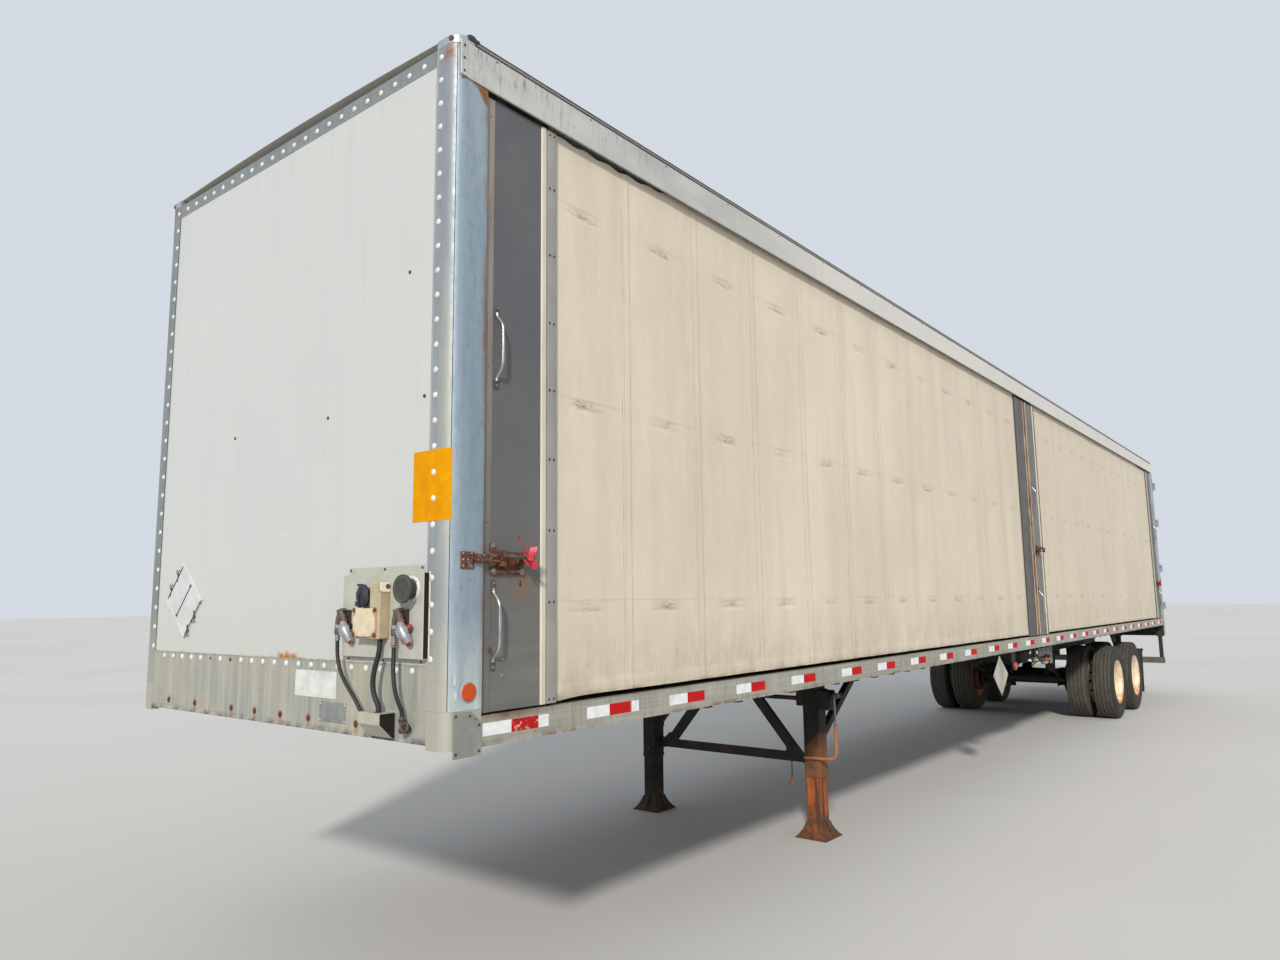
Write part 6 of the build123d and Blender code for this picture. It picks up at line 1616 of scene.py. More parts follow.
# painted shade: a near-black block fills the hood's open side in place of the shade inside it
b.use(PAINTED_SHADE_AND_BLACK)
prism(b, [(8.0775, 1.3036), (8.1505, 1.3036), (8.1505, 1.2631), (8.0923, 1.2069), (8.0775, 1.2045)], "y", 0.8500, 0.9840)
b.use(RUBBER)
lathe(b, [(0.0095, 0.0), (0.0165, 0.0), (0.0165, 0.0018), (0.0140, 0.0040), (0.0095, 0.0042)], (8.126, 0.944, 1.3055), (0, 0, 1), 22, loop=True)
b.use(CAST_DARK)
elbow = bent_bar([(8.1060, 1.0680, 1.2960), (8.1060, 1.0680, 1.2560), (8.0760, 1.0680, 1.2480)], 0.020, 6)
tube(b, elbow, 0.0112, 14)
b.use(BRACKET)
lathe(b, [(0.0105, 0.0), (0.0145, 0.0015), (0.0145, 0.0120), (0.0105, 0.0135), (0, 0.0135)], (8.1060, 1.0680, 1.2740), (0, 0, 1), 6, a0=0.5)
lathe(b, [(0.0110, 0.0), (0.0190, 0.0005), (0.0190, 0.0060), (0.0110, 0.0075), (0, 0.0075)], (8.0765, 1.0680, 1.2480), (1, 0, 0), 18)
ring = [(0.0150 + 0.0045 * cos(2 * pi * i / 10), 0.0045 * sin(2 * pi * i / 10)) for i in range(10)]
b.use(NIPPLE)
lathe(b, ring, (8.1100, 1.0900, 1.2585), (1, 0.35, 0.1), 26, loop=True)
b.use(BRACKET)
prism(b, [(1.0560, 1.2400), (1.0800, 1.2340), (1.0860, 1.2440), (1.0600, 1.2520)], "x", 8.1020, 8.1160, 0.0015)
b.use(RUST_BOLT)
hexbolt(b, (8.1160, 1.0720, 1.2430), (1, 0, 0), 0.0062, 0.0052, a0=0.7)
b.done(stands_for=("hose_hood",), slot="service_grey")

# plated skin along the front top rail
b = MB("front_top_rail_skin").use(GALV_FLANGE_DARK)
shell(b, [(XF, -1.1690, 1, 0), (XF, -1.1685, 1, 0), (XF, 0.0, 1, 0), (XF, 1.1685, 1, 0), (XF, 1.1690, 1, 0)], 3.9800, 4.0500, 0.0010, rows=2)
b.done(slot="galvanized")


# ================================================================ wheels and tyres
AX = {"front": -3.965, "rear": -5.210}
YO, YI, YH, WZ = 1.146, 0.811, 0.9785, 0.500


def lathe_bands(b, prof, mats, at, axis, n, loop=True):
    """Turned outline whose bands may differ in material."""
    f0 = len(b.f)
    lathe(b, prof, at, axis, n, loop=loop)
    for k, mt in mats.items():
        b.use(mt)
        for i in range(f0 + k * n, f0 + (k + 1) * n):
            b.mi[i] = b.cur


def tyre_outline():
    side = [(0.2862, 0.0980), (0.2950, 0.1035), (0.3020, 0.1120), (0.3060, 0.1180), (0.3100, 0.1175), (0.3250, 0.1262), (0.3480, 0.1335), (0.3720, 0.1372),
            (0.3960, 0.1380), (0.3990, 0.1396), (0.4080, 0.1396), (0.4110, 0.1378), (0.4320, 0.1345), (0.4520, 0.1290), (0.4680, 0.1228), (0.4700, 0.1242),
            (0.4740, 0.1242), (0.4760, 0.1205), (0.4860, 0.1180), (0.4930, 0.1135), (0.4965, 0.1065)]
    crown = lambda h: 0.5000 - 0.0035 * (h / 0.1065) ** 2
    tread = []
    for g in (-0.0740, -0.0265, 0.0265, 0.0740):
        d, w = 0.0130, 0.0048
        tread += [(crown(g - w), g - w), (crown(g) - d, g - w * 0.62), (crown(g) - d, g + w * 0.62), (crown(g + w), g + w)]
    prof = [(r, -h) for r, h in side] + tread + [(r, h) for r, h in reversed(side)]
    lo = len(side)
    return prof, lo, lo + len(tread)


HALF_RIM = [(0.2865, 0.1000), (0.2900, 0.1060), (0.2975, 0.1170), (0.3010, 0.1230), (0.2990, 0.1262), (0.2945, 0.1262), (0.2890, 0.1200),
            (0.2810, 0.1130), (0.2700, 0.1060), (0.2610, 0.0850), (0.2570, 0.0660)]
RIM = HALF_RIM + [(r, -h) for r, h in reversed(HALF_RIM)]
DISC = [(0.0900, 0.0120, 0.0), (0.1620, 0.0120, 0.0), (0.1780, 0.0150, 0.0020), (0.1940, 0.0245, 0.0110), (0.2140, 0.0405, 0.0265), (0.2340, 0.0600, 0.0450),
        (0.2480, 0.0800, 0.0620), (0.2575, 0.1080, 0.0880)]


def disc(b, ax, s, out):
    """Dished wheel disc with ten hand holes. out is +1 for the outer wheel, -1 for the inner."""
    n, per = 80, 8
    holes = (3, 4)
    vs, fs = [], []
    for face in (0, 1):
        for k, (r, hf, hb) in enumerate(DISC):
            h = hf if face == 0 else hb
            for i in range(n):
                j = i % per
                a, rr = i, r
                if k in (3, 5) and j in (2, 5):
                    rr = r + (0.0045 if k == 3 else -0.0045)
                t = 2 * pi * a / n
                vs.append((ax + rr * sin(t), s * (YH + out * h), WZ + rr * cos(t)))
    K = len(DISC)
    idx = lambda face, k, i: face * K * n + k * n + (i % n)
    is_hole = lambda k, i: k in holes and 2 <= i % per < 5
    for face in (0, 1):
        for k in range(K - 1):
            for i in range(n):
                if not is_hole(k, i):
                    fs.append((idx(face, k, i), idx(face, k, i + 1), idx(face, k + 1, i + 1), idx(face, k + 1, i)))
    for k in (0, K - 1):
        for i in range(n):
            fs.append((idx(0, k, i), idx(0, k, i + 1), idx(1, k, i + 1), idx(1, k, i)))
    for i in range(n):
        if 2 <= i % per < 5:
            for k in (3, 5):
                fs.append((idx(0, k, i), idx(0, k, i + 1), idx(1, k, i + 1), idx(1, k, i)))
        if i % per in (2, 5):
            for k in (3, 4):
                fs.append((idx(0, k, i), idx(0, k + 1, i), idx(1, k + 1, i), idx(1, k, i)))
    b.add(vs, fs)


TP, T0, T1 = tyre_outline()
for k in ("front", "rear"):
    for s, sn in SIDES:
        ax = AX[k]
        body = "wheel_%s_%s" % (k, sn)
        b = MB("tyre_pair_%s_%s" % (k, sn)).use(TYRE)
        for yc in (YO, YI):
            lathe_bands(b, TP, {i: TREAD for i in range(T0 - 1, T1)}, (ax, s * yc, WZ), (0, s, 0), 88)
        b.done(body, ("tyres_%s_%s" % (k, sn),), "tyre", sharp=28)

        b = MB("wheel_pair_%s_%s" % (k, sn)).use(WHEEL)
        for yc in (YO, YI):
            lathe(b, RIM, (ax, s * yc, WZ), (0, s, 0), 80, loop=True)
        disc(b, ax, s, 1)
        disc(b, ax, s, -1)
        hub = [(0.0400, 0.6400), (0.1980, 0.6400), (0.2050, 0.6460), (0.2050, 0.6700), (0.2010, 0.6740), (0.2050, 0.6780), (0.2050, 0.7100), (0.2010, 0.7140),
               (0.2050, 0.7180), (0.2050, 0.8500), (0.1960, 0.8600), (0.1280, 0.8700), (0.1200, 0.8780), (0.1200, 0.9665), (0.1000, 0.9665), (0.1000, 1.0200),
               (0.0980, 1.0240), (0.0870, 1.0380), (0.0830, 1.0450), (0.0810, 1.0800), (0.0810, 1.1180), (0.0770, 1.1290), (0.0600, 1.1370), (0.0300, 1.1380),
               (0.0290, 1.1350), (0.0, 1.1350), (0.0, 1.0950), (0.0400, 1.0950)]
        bands = {i: RUST_METAL for i in range(0, 12)}
        bands.update({i: HUB for i in range(12, 27)})
        lathe_bands(b, hub, bands, (ax, 0, WZ), (0, s, 0), 48)
        b.use(RUST_BOLT)
        for i in range(10):
            t = 2 * pi * (i + 0.5) / 10
            p = (ax + 0.1428 * sin(t), s * (YH + 0.0118), WZ + 0.1428 * cos(t))
            lathe(b, [(0.0215, 0), (0.0215, 0.0040), (0.0180, 0.0060), (0.0180, 0.0200), (0.0165, 0.0220), (0, 0.0220)], p, (0, s, 0), 6, a0=t * 3)
            lathe(b, [(0.0105, 0.020), (0.0105, 0.0340), (0.0090, 0.0360), (0, 0.0360)], p, (0, s, 0), 10)
        b.use(BOLT)
        for i in range(8):
            t = 2 * pi * i / 8
            hexbolt(b, (ax + 0.0925 * sin(t), s * 1.0300, WZ + 0.0925 * cos(t)), (0, s, 0), 0.0070, 0.0090, a0=t)
        for i in range(6):
            t = 2 * pi * (i + 0.3) / 6
            hexbolt(b, (ax + 0.0690 * sin(t), s * 1.1322, WZ + 0.0690 * cos(t)), (0, s, 0), 0.0048, 0.0050, a0=t)
        b.use(RUBBER)
        dome(b, (ax, s * 1.1352, WZ), (0, s, 0), 0.0170, 0.0065, 16)
        b.use(BRASS)
        tube(b, [(ax + 0.210, s * (YO - 0.030), WZ + 0.060), (ax + 0.213, s * (YO + 0.040), WZ + 0.062), (ax + 0.214, s * (YO + 0.074), WZ + 0.062)], [0.0055, 0.0050, 0.0062], 8)
        b.done(body, ("wheels_%s_%s" % (k, sn),), "wheel_white", sharp=34)

# ================================================================ landing gear
LX, LY = 4.168, 0.761


def rounded_square(cx, cy, hx, hy, r, n=4):
    out = []
    for qx, qy, a0 in ((1, 1, 0), (-1, 1, 90), (-1, -1, 180), (1, -1, 270)):
        for i in range(n + 1):
            a = radians(a0 + 90 * i / n)
            out.append((cx + qx * (hx - r) + r * cos(a), cy + qy * (hy - r) + r * sin(a)))
    return out


def skirt(b, cx, cy, rows):
    """Square frustum through (half x, half y, z) rows, closed at both ends."""
    vs, fs = [], []
    for hx, hy, z in rows:
        vs += [(cx + hx, cy + hy, z), (cx - hx, cy + hy, z), (cx - hx, cy - hy, z), (cx + hx, cy - hy, z)]
    for k in range(len(rows) - 1):
        for i in range(4):
            j = (i + 1) % 4
            fs.append((4 * k + i, 4 * k + j, 4 * k + 4 + j, 4 * k + 4 + i))
    fs += [(0, 1, 2, 3), tuple(4 * (len(rows) - 1) + i for i in range(4))]
    b.add(vs, fs)


b = MB("landing_leg_pair").use(LEG_RUST_AND_PAINTED_SHADOW)
for s in (1, -1):
    y = s * LY
    prism(b, rounded_square(LX, y, 0.0640, 0.0640, 0.0100), "z", 0.4330, 1.1440, 0.0015)
    prism(b, rounded_square(LX, y, 0.0665, 0.0665, 0.0110), "z", 0.4300, 0.4560, 0.0020)
    prism(b, rounded_square(LX, y, 0.0600, 0.0600, 0.0090), "z", 0.0200, 0.4340, 0.0010)
    # foot: pressed skirt, ribs and a turned-up plate
    skirt(b, LX, y, [(0.1200, 0.1170, 0.0115), (0.1120, 0.1100, 0.0200), (0.0930, 0.0920, 0.0460), (0.0780, 0.0770, 0.0740), (0.0680, 0.0675, 0.1020), (0.0635, 0.0635, 0.1120), (0.0590, 0.0590, 0.1120)])
    skirt(b, LX, y, [(0.1250, 0.1220, 0.0), (0.1270, 0.1240, 0.0015), (0.1270, 0.1240, 0.0100), (0.1240, 0.1210, 0.0120), (0.1150, 0.1120, 0.0120)])
    for sx in (1, -1):
        prism(b, [(LX + sx * 0.0600, 0.0110), (LX + sx * 0.1190, 0.0110), (LX + sx * 0.1190, 0.0200), (LX + sx * 0.0640, 0.1300), (LX + sx * 0.0600, 0.1300)], "y", y - 0.0040, y + 0.0040, 0.0008)
        prism(b, [(y + sx * 0.0600, 0.0110), (y + sx * 0.1165, 0.0110), (y + sx * 0.1165, 0.0200), (y + sx * 0.0640, 0.1300), (y + sx * 0.0600, 0.1300)], "x", LX - 0.0040, LX + 0.0040, 0.0008)
    # top plate, its gussets and bolts
    brick(b, (LX - 0.150, y - 0.110, 1.1430), (LX + 0.150, y + 0.110, 1.1570), 0.003)
    for sx in (1, -1):
        prism(b, [(LX + sx * 0.0630, 1.1440), (LX + sx * 0.1420, 1.1440), (LX + sx * 0.1420, 1.1300), (LX + sx * 0.0630, 1.0200)], "y", y - 0.004, y + 0.004, 0.0008)
    # ears that carry the braces
    for zb in (0.5430, 0.9700):
        brick(b, (LX - 0.0620, y - s * 0.0630, zb - 0.040), (LX - 0.0040, y - s * 0.0760, zb + 0.040), 0.002)
    b.use(RUST_BOLT)
    for sx in (-0.120, 0.120):
        for sy in (-0.085, 0.085):
            hexbolt(b, (LX + sx, y + sy, 1.1430), (0, 0, -1), 0.0100, 0.0100, a0=sx * 9)
    for zz in (0.5230, 0.5630):
        hexbolt(b, (LX - 0.033, y - s * 0.0760, zz), (0, -s, 0), 0.0090, 0.0090, a0=zz * 9)
    hexbolt(b, (LX + 0.0640, y, 0.5000), (1, 0, 0), 0.0075, 0.0050, a0=0.3)
    b.use(LEG_RUST_AND_PAINTED_SHADOW)
b.done(stands_for=("landing_legs",), slot="rusty_steel")

# gear case outside the left leg, shafts and the stowed crank
# painted shade: the gear case is drawn in the darkest chassis colour so that it stays as dark as the shade beside the
# leg
b = MB("crank_and_gears").use(DARK_PAINT_AND_SHADE)
case = [(LX - 0.0700, 0.9150), (LX - 0.0600, 0.9050), (LX + 0.0600, 0.9050), (LX + 0.0700, 0.9150), (LX + 0.0700, 1.0500), (LX + 0.0600, 1.0600),
        (LX - 0.0600, 1.0600), (LX - 0.0700, 1.0500)]
prism(b, case, "y", 0.8250, 0.8400, 0.0020)
prism(b, inset(case, 0.008), "y", 0.8395, 0.9080, 0.0060)
prism(b, [(LX - 0.040, 0.930), (LX + 0.040, 0.930), (LX + 0.048, 0.960), (LX + 0.048, 1.036), (LX - 0.048, 1.036), (LX - 0.048, 0.960)], "y", 0.9075, 0.9150, 0.0020)
lathe(b, [(0.026, 0), (0.028, 0.003), (0.028, 0.016), (0.021, 0.020), (0, 0.020)], (LX, 0.9100, 1.020), (0, 1, 0), 20)
tube(b, [(LX, 0.9050, 1.020), (LX, 0.9780, 1.020)], 0.0155, 16)
b.use(CAST_DARK)
# hinged end piece, then the thin shank and the thick handle
prism(b, [(LX - 0.020, 1.004), (LX + 0.086, 1.004), (LX + 0.092, 1.012), (LX + 0.092, 1.028), (LX + 0.086, 1.036), (LX - 0.020, 1.036)], "y", 0.9540, 0.9580, 0.0008)
prism(b, [(LX - 0.020, 1.004), (LX + 0.086, 1.004), (LX + 0.092, 1.012), (LX + 0.092, 1.028), (LX + 0.086, 1.036), (LX - 0.020, 1.036)], "y", 0.9760, 0.9800, 0.0008)
b.use(CAST)
tube(b, [(4.246, 0.967, 1.030), (4.246, 0.967, 0.805)], 0.0078, 12)
b.use(HANDLE)
tube(b, bent_bar([(4.246, 0.967, 0.822), (4.246, 0.967, 0.574), (4.246, 0.707, 0.566)], 0.055, 9), 0.0118, 16)
b.use(RUST_BOLT)
hexbolt(b, (4.246, 0.9800, 1.020), (0, 1, 0), 0.0085, 0.0070)
hexbolt(b, (LX, 0.9800, 1.020), (0, 1, 0), 0.0085, 0.0070, a0=0.5)
for x, z in ((LX - 0.058, 0.918), (LX + 0.058, 0.918), (LX - 0.058, 1.047), (LX + 0.058, 1.047), (LX - 0.062, 0.985), (LX + 0.062, 0.985)):
    hexbolt(b, (x, 0.8398, z), (0, 1, 0), 0.0068, 0.0055, a0=x * 7)
b.use(BLACK_PAINT_AND_SHADE)
tube(b, [(LX + 0.024, -0.698, 0.985), (LX + 0.024, 0.698, 0.985)], 0.0165, 16)
for s in (1, -1):
    prism(b, [(LX - 0.052, 0.935), (LX + 0.064, 0.935), (LX + 0.064, 1.100), (LX + 0.050, 1.144), (LX - 0.052, 1.144)], "y", s * 0.6970, s * 0.6450, 0.0040)
    lathe(b, [(0.026, 0), (0.026, 0.012), (0.022, 0.018), (0, 0.018)], (LX + 0.024, s * 0.6460, 0.985), (0, -s, 0), 16)
    b.use(RUST_BOLT)
    for x, z in ((LX - 0.036, 0.955), (LX + 0.048, 0.950), (LX - 0.036, 1.110), (LX + 0.040, 1.110)):
        hexbolt(b, (x, s * 0.6450, z), (0, -s, 0), 0.0070, 0.0060)
    b.use(BLACK_PAINT_AND_SHADE)
for yy in (-0.260, 0.260):
    lathe(b, [(0.024, 0), (0.026, 0.002), (0.026, 0.030), (0.024, 0.032)], (LX + 0.024, yy - 0.016, 0.985), (0, 1, 0), 16, loop=False)
b.done(stands_for=("landing_gear_crank",), slot="rusty_steel")

# cross brace details: end plates, bolts, and the pull rod with its bell knob
b = MB("brace_fittings").use(BLACK_PAINT_AND_SHADE)
for s in (1, -1):
    brick(b, (LX - 0.0640, s * 0.6550, 0.5050), (LX - 0.0060, s * 0.6960, 0.5130), 0.0015)
    brick(b, (LX - 0.0640, s * 0.6550, 0.5730), (LX - 0.0060, s * 0.6960, 0.5810), 0.0015)
    prism(b, [(s * 0.4900, 0.5180), (s * 0.6650, 0.5180), (s * 0.6650, 0.5720), (s * 0.5950, 0.6350), (s * 0.5150, 0.6350)], "x", LX - 0.0105, LX - 0.0060, 0.0008)
    for yy, zz in ((0.520, 0.543), (0.630, 0.543), (0.560, 0.605), (0.585, 0.585)):
        hexbolt(b, (LX - 0.0060, s * yy, zz), (1, 0, 0), 0.0075, 0.0065, a0=yy * 9)
    b.use(RUST_BOLT)
    hexbolt(b, (LX - 0.070, s * 0.148, 1.1450), (0, 0, -1), 0.0085, 0.0080)
    hexbolt(b, (LX - 0.008, s * 0.148, 1.1450), (0, 0, -1), 0.0085, 0.0080)
    b.use(BLACK_PAINT_AND_SHADE)
b.use(CAST_DARK)
tube(b, [(LX - 0.030, 0.540, 0.5140), (LX - 0.030, 0.540, 0.3960)], 0.0048, 10)
b.use(PINK_BRASS)
lathe(b, [(0.0080, 0.0), (0.0100, -0.010), (0.0140, -0.030), (0.0225, -0.052), (0.0240, -0.060), (0.0205, -0.064), (0, -0.064)], (LX - 0.030, 0.540, 0.4060), (0, 0, 1), 18)
b.done(slot="black_steel")
b = MB("stay_fittings").use(BLACK_PAINT_AND_SHADE)
for s in (1, -1):
    y = s * LY
    for dy in (-0.0335, 0.0275):
        prism(b, [(LX - 0.062, 0.655), (LX - 0.062, 0.745), (LX - 0.150, 0.790), (LX - 0.165, 0.765), (LX - 0.115, 0.700)], "y", y + dy, y + dy + 0.006, 0.0008)
        prism(b, [(LX - 0.790, 1.150), (LX - 0.620, 1.150), (LX - 0.620, 1.105), (LX - 0.655, 1.070), (LX - 0.700, 1.085), (LX - 0.790, 1.135)], "y", y + dy, y + dy + 0.006, 0.0008)
    b.use(RUST_BOLT)
    for x, z in ((LX - 0.085, 0.705), (LX - 0.125, 0.748), (LX - 0.665, 1.100), (LX - 0.720, 1.122)):
        hexbolt(b, (x, y + 0.0335, z), (0, 1, 0), 0.0095, 0.0090, a0=x * 5)
        hexbolt(b, (x, y - 0.0335, z), (0, -1, 0), 0.0095, 0.0090, a0=x * 5)
    b.use(BLACK_PAINT_AND_SHADE)
b.done(slot="black_steel")

# ================================================================ bogie, springs, axles
b = MB("leaf_spring_packs").use(BLACK_PAINT_AND_SHADE)
HX = (-3.3425, -4.5875, -5.8325)
for s in (1, -1):
    y = s * 0.530
    for k in ("front", "rear"):
        ax = AX[k]
        e = 0.6145
        arc = lambda x, top: top - 0.086 * (1 - ((x - ax) / e) ** 2) ** 1.0
        for q, (half, drop) in enumerate(((e, 0.0), (0.530, 0.0145), (0.400, 0.0290), (0.250, 0.0435))):
            n = 16
            pts_u, pts_l = [], []
            for i in range(n + 1):
                x = ax - half + 2 * half * i / n
                z = arc(x, 0.7060) - drop
                t = 0.0125 if q == 0 or 0.12 < i / n < 0.88 else 0.0085
                pts_u.append((x, z))
                pts_l.append((x, z - t))
            prism(b, pts_u + pts_l[::-1], "y", y - 0.0380, y + 0.0380, 0.0)
        # saddle block, its plates and the long U-bolts
        brick(b, (ax - 0.075, y - 0.046, 0.6180), (ax + 0.075, y + 0.046, 0.6420), 0.003)
        brick(b, (ax - 0.085, y - 0.058, 0.5600), (ax + 0.085, y + 0.058, 0.5700), 0.003)
        for dx in (-0.066, 0.066):
            for dy in (-0.0480, 0.0480):
                tube(b, [(ax + dx, y + dy, 0.6600), (ax + dx, y + dy, 0.4300)], 0.0095, 10)
            tube(b, [(ax + dx, y - 0.0480, 0.6560), (ax + dx, y, 0.6640), (ax + dx, y + 0.0480, 0.6560)], 0.0095, 10)
        brick(b, (ax - 0.080, y - 0.060, 0.4240), (ax + 0.080, y + 0.060, 0.4350), 0.002)
        b.use(RUST_BOLT)
        for dx in (-0.066, 0.066):
            for dy in (-0.0480, 0.0480):
                hexbolt(b, (ax + dx, y + dy, 0.4240), (0, 0, -1), 0.0150, 0.0170, washer=False)
        b.use(BLACK_PAINT_AND_SHADE)
b.done(stands_for=("leaf_springs",), slot="black_steel")

b = MB("suspension_fittings").use(BLACK_PAINT_AND_SHADE)
for s in (1, -1):
    y = s * 0.530
    for i, hx in enumerate(HX):
        # raised edge flanges on each hanger, and pins
        for side in (1, -1):
            prism(b, [(hx - 0.1120, 0.9465), (hx - 0.0980, 0.9465), (hx - 0.0470, 0.7050), (hx - 0.0580, 0.7000)], "y", y + side * 0.0440, y + side * 0.0500, 0.0008)
            prism(b, [(hx + 0.1120, 0.9465), (hx + 0.0980, 0.9465), (hx + 0.0470, 0.7050), (hx + 0.0580, 0.7000)], "y", y + side * 0.0440, y + side * 0.0500, 0.0008)
        b.use(RUST_BOLT)
        for dx, z in ((-0.045, 0.905), (0.045, 0.905), (0.0, 0.770)):
            for side in (1, -1):
                hexbolt(b, (hx + dx, y + side * 0.0450, z), (0, side, 0), 0.0125, 0.0120, a0=z * 5)
        b.use(BLACK_PAINT_AND_SHADE)
    for k, hx in (("front", HX[0]), ("rear", HX[1])):
        # torque arm from the hanger to the axle seat
        ax = AX[k]
        a0, a1 = (hx - 0.020, y, 0.7050), (ax + 0.075, y, 0.5250)
        tube(b, [a0, a1], 0.0190, 14)
        for p in (a0, a1):
            lathe(b, [(0.0300, -0.034), (0.0330, -0.031), (0.0330, 0.031), (0.0300, 0.034), (0, 0.034)], p, (0, 1, 0), 18)
            b.use(RUST_BOLT)
            hexbolt(b, (p[0], p[1] + 0.034, p[2]), (0, 1, 0), 0.0125, 0.0110)
            hexbolt(b, (p[0], p[1] - 0.034, p[2]), (0, -1, 0), 0.0125, 0.0110)
            b.use(BLACK_PAINT_AND_SHADE)
    # slide rail: the row of locking holes
    # each locking hole is a thin near-black disc of painted shade; no hole is cut
    b.use(PAINTED_SHADE_AND_BLACK)
    for i in range(53):
        x = -7.800 + 0.1050 * i
        lathe(b, [(0.0150, -0.0002), (0.0150, 0.0006), (0, 0.0006)], (x, s * 0.5702, 1.1120), (0, s, 0), 14)
    b.use(BLACK_PAINT_AND_SHADE)
    for x in (-5.700, -4.900, -4.150, -3.400):
        brick(b, (x - 0.045, s * 0.5690, 1.0550), (x + 0.045, s * 0.5790, 1.0950), 0.002)
        b.use(RUST_BOLT)
        hexbolt(b, (x - 0.025, s * 0.5790, 1.0750), (0, s, 0), 0.0085, 0.0080)
        hexbolt(b, (x + 0.025, s * 0.5790, 1.0750), (0, s, 0), 0.0085, 0.0080)
        b.use(BLACK_PAINT_AND_SHADE)
# cross members of the bogie: pressed openings along their webs, each a flanged ring closed by a near-black disc of
# painted shade
for bx in (-3.260, -3.950, -4.590, -5.210, -5.920):
    for yy in (-0.30, 0.0, 0.30):
        lathe(b, [(0.0260, -0.001), (0.0300, 0.0005), (0.0300, 0.0030), (0.0260, 0.0030)], (bx + 0.040, yy, 1.0050), (1, 0, 0), 18, loop=True)
        b.use(PAINTED_SHADE_AND_BLACK)
        lathe(b, [(0.0262, -0.0002), (0.0262, 0.0006), (0, 0.0006)], (bx + 0.040, yy, 1.0050), (1, 0, 0), 18)
        b.use(BLACK_PAINT_AND_SHADE)
b.done(slot="black_steel")

# brake chambers, slack adjusters and shields
b = MB("brake_fittings").use(BLACK_PAINT_AND_SHADE)
for k in ("front", "rear"):
    ax = AX[k]
    for s in (1, -1):
        y = s * 0.330
        lathe(b, [(0.0700, -0.004), (0.0800, 0.010), (0.0835, 0.030), (0.0835, 0.060), (0.0890, 0.066), (0.0890, 0.082), (0.0835, 0.088), (0.0835, 0.130),
                  (0.0790, 0.148), (0.0600, 0.158), (0, 0.158)], (ax - 0.2520, y, 0.560), (1, 0, 0), 28)
        b.use(RUST_BOLT)
        for t in (0.5, 2.6):
            hexbolt(b, (ax - 0.178, y + 0.088 * cos(t), 0.560 + 0.088 * sin(t)), (0, cos(t), sin(t)), 0.0075, 0.0080)
        b.use(ZINC)
        tube(b, [(ax - 0.096, y, 0.556), (ax - 0.030, y, 0.500)], 0.0065, 10)
        b.use(BLACK_PAINT_AND_SHADE)
        prism(b, [(ax - 0.052, 0.470), (ax - 0.020, 0.462), (ax - 0.022, 0.560), (ax - 0.058, 0.560)], "y", y - 0.012, y + 0.012, 0.002)
        lathe(b, [(0.158, 0.0), (0.166, 0.004), (0.166, 0.010), (0.158, 0.014)], (ax, s * 0.5830, WZ), (0, s, 0), 48)
        b.use(RUST_BOLT)
        for i in range(6):
            t = 2 * pi * i / 6
            hexbolt(b, (ax + 0.120 * sin(t), s * 0.5840, WZ + 0.120 * cos(t)), (0, -s, 0), 0.0075, 0.0070)
        b.use(BLACK_PAINT_AND_SHADE)
b.done(slot="black_steel")

b = MB("air_tank_drum").use(TANK)
prof = [(0.0, -0.420), (0.045, -0.418), (0.085, -0.408), (0.112, -0.388), (0.1225, -0.362), (0.1245, -0.350), (0.1262, -0.346), (0.1262, -0.338), (0.1245, -0.334)]
prof = prof + [(r, -h) for r, h in reversed(prof)]
lathe(b, prof, (-2.700, 0, 0.930), (0, 1, 0), 40)
for yy in (-0.300, 0.300):
    lathe(b, [(0.1235, -0.022), (0.1275, -0.020), (0.1275, 0.020), (0.1235, 0.022)], (-2.700, yy, 0.930), (0, 1, 0), 40, loop=True)
    prism(b, [(-2.7800, 1.157), (-2.6200, 1.157), (-2.6200, 1.110), (-2.6500, 1.040), (-2.7500, 1.040), (-2.7800, 1.110)], "y", yy - 0.020, yy - 0.014, 0.0008)
    prism(b, [(-2.7800, 1.157), (-2.6200, 1.157), (-2.6200, 1.110), (-2.6500, 1.040), (-2.7500, 1.040), (-2.7800, 1.110)], "y", yy + 0.014, yy + 0.020, 0.0008)
    b.use(RUST_BOLT)
    hexbolt(b, (-2.7600, yy, 1.060), (-1, 0, 0.4), 0.0080, 0.0120)
    hexbolt(b, (-2.6400, yy, 1.060), (1, 0, 0.4), 0.0080, 0.0120)
    b.use(TANK)
b.use(BRASS)
lathe(b, [(0.012, 0), (0.012, 0.014), (0.007, 0.018), (0.007, 0.030), (0, 0.030)], (-2.700, 0.050, 0.8060), (0, 0, -1), 12)
for yy in (-0.12, 0.18):
    lathe(b, [(0.013, -0.002), (0.013, 0.012), (0.009, 0.016), (0, 0.016)], (-2.5760, yy, 0.945), (1, 0, 0.1), 6)
b.done(stands_for=("air_tank",), slot="black_steel")

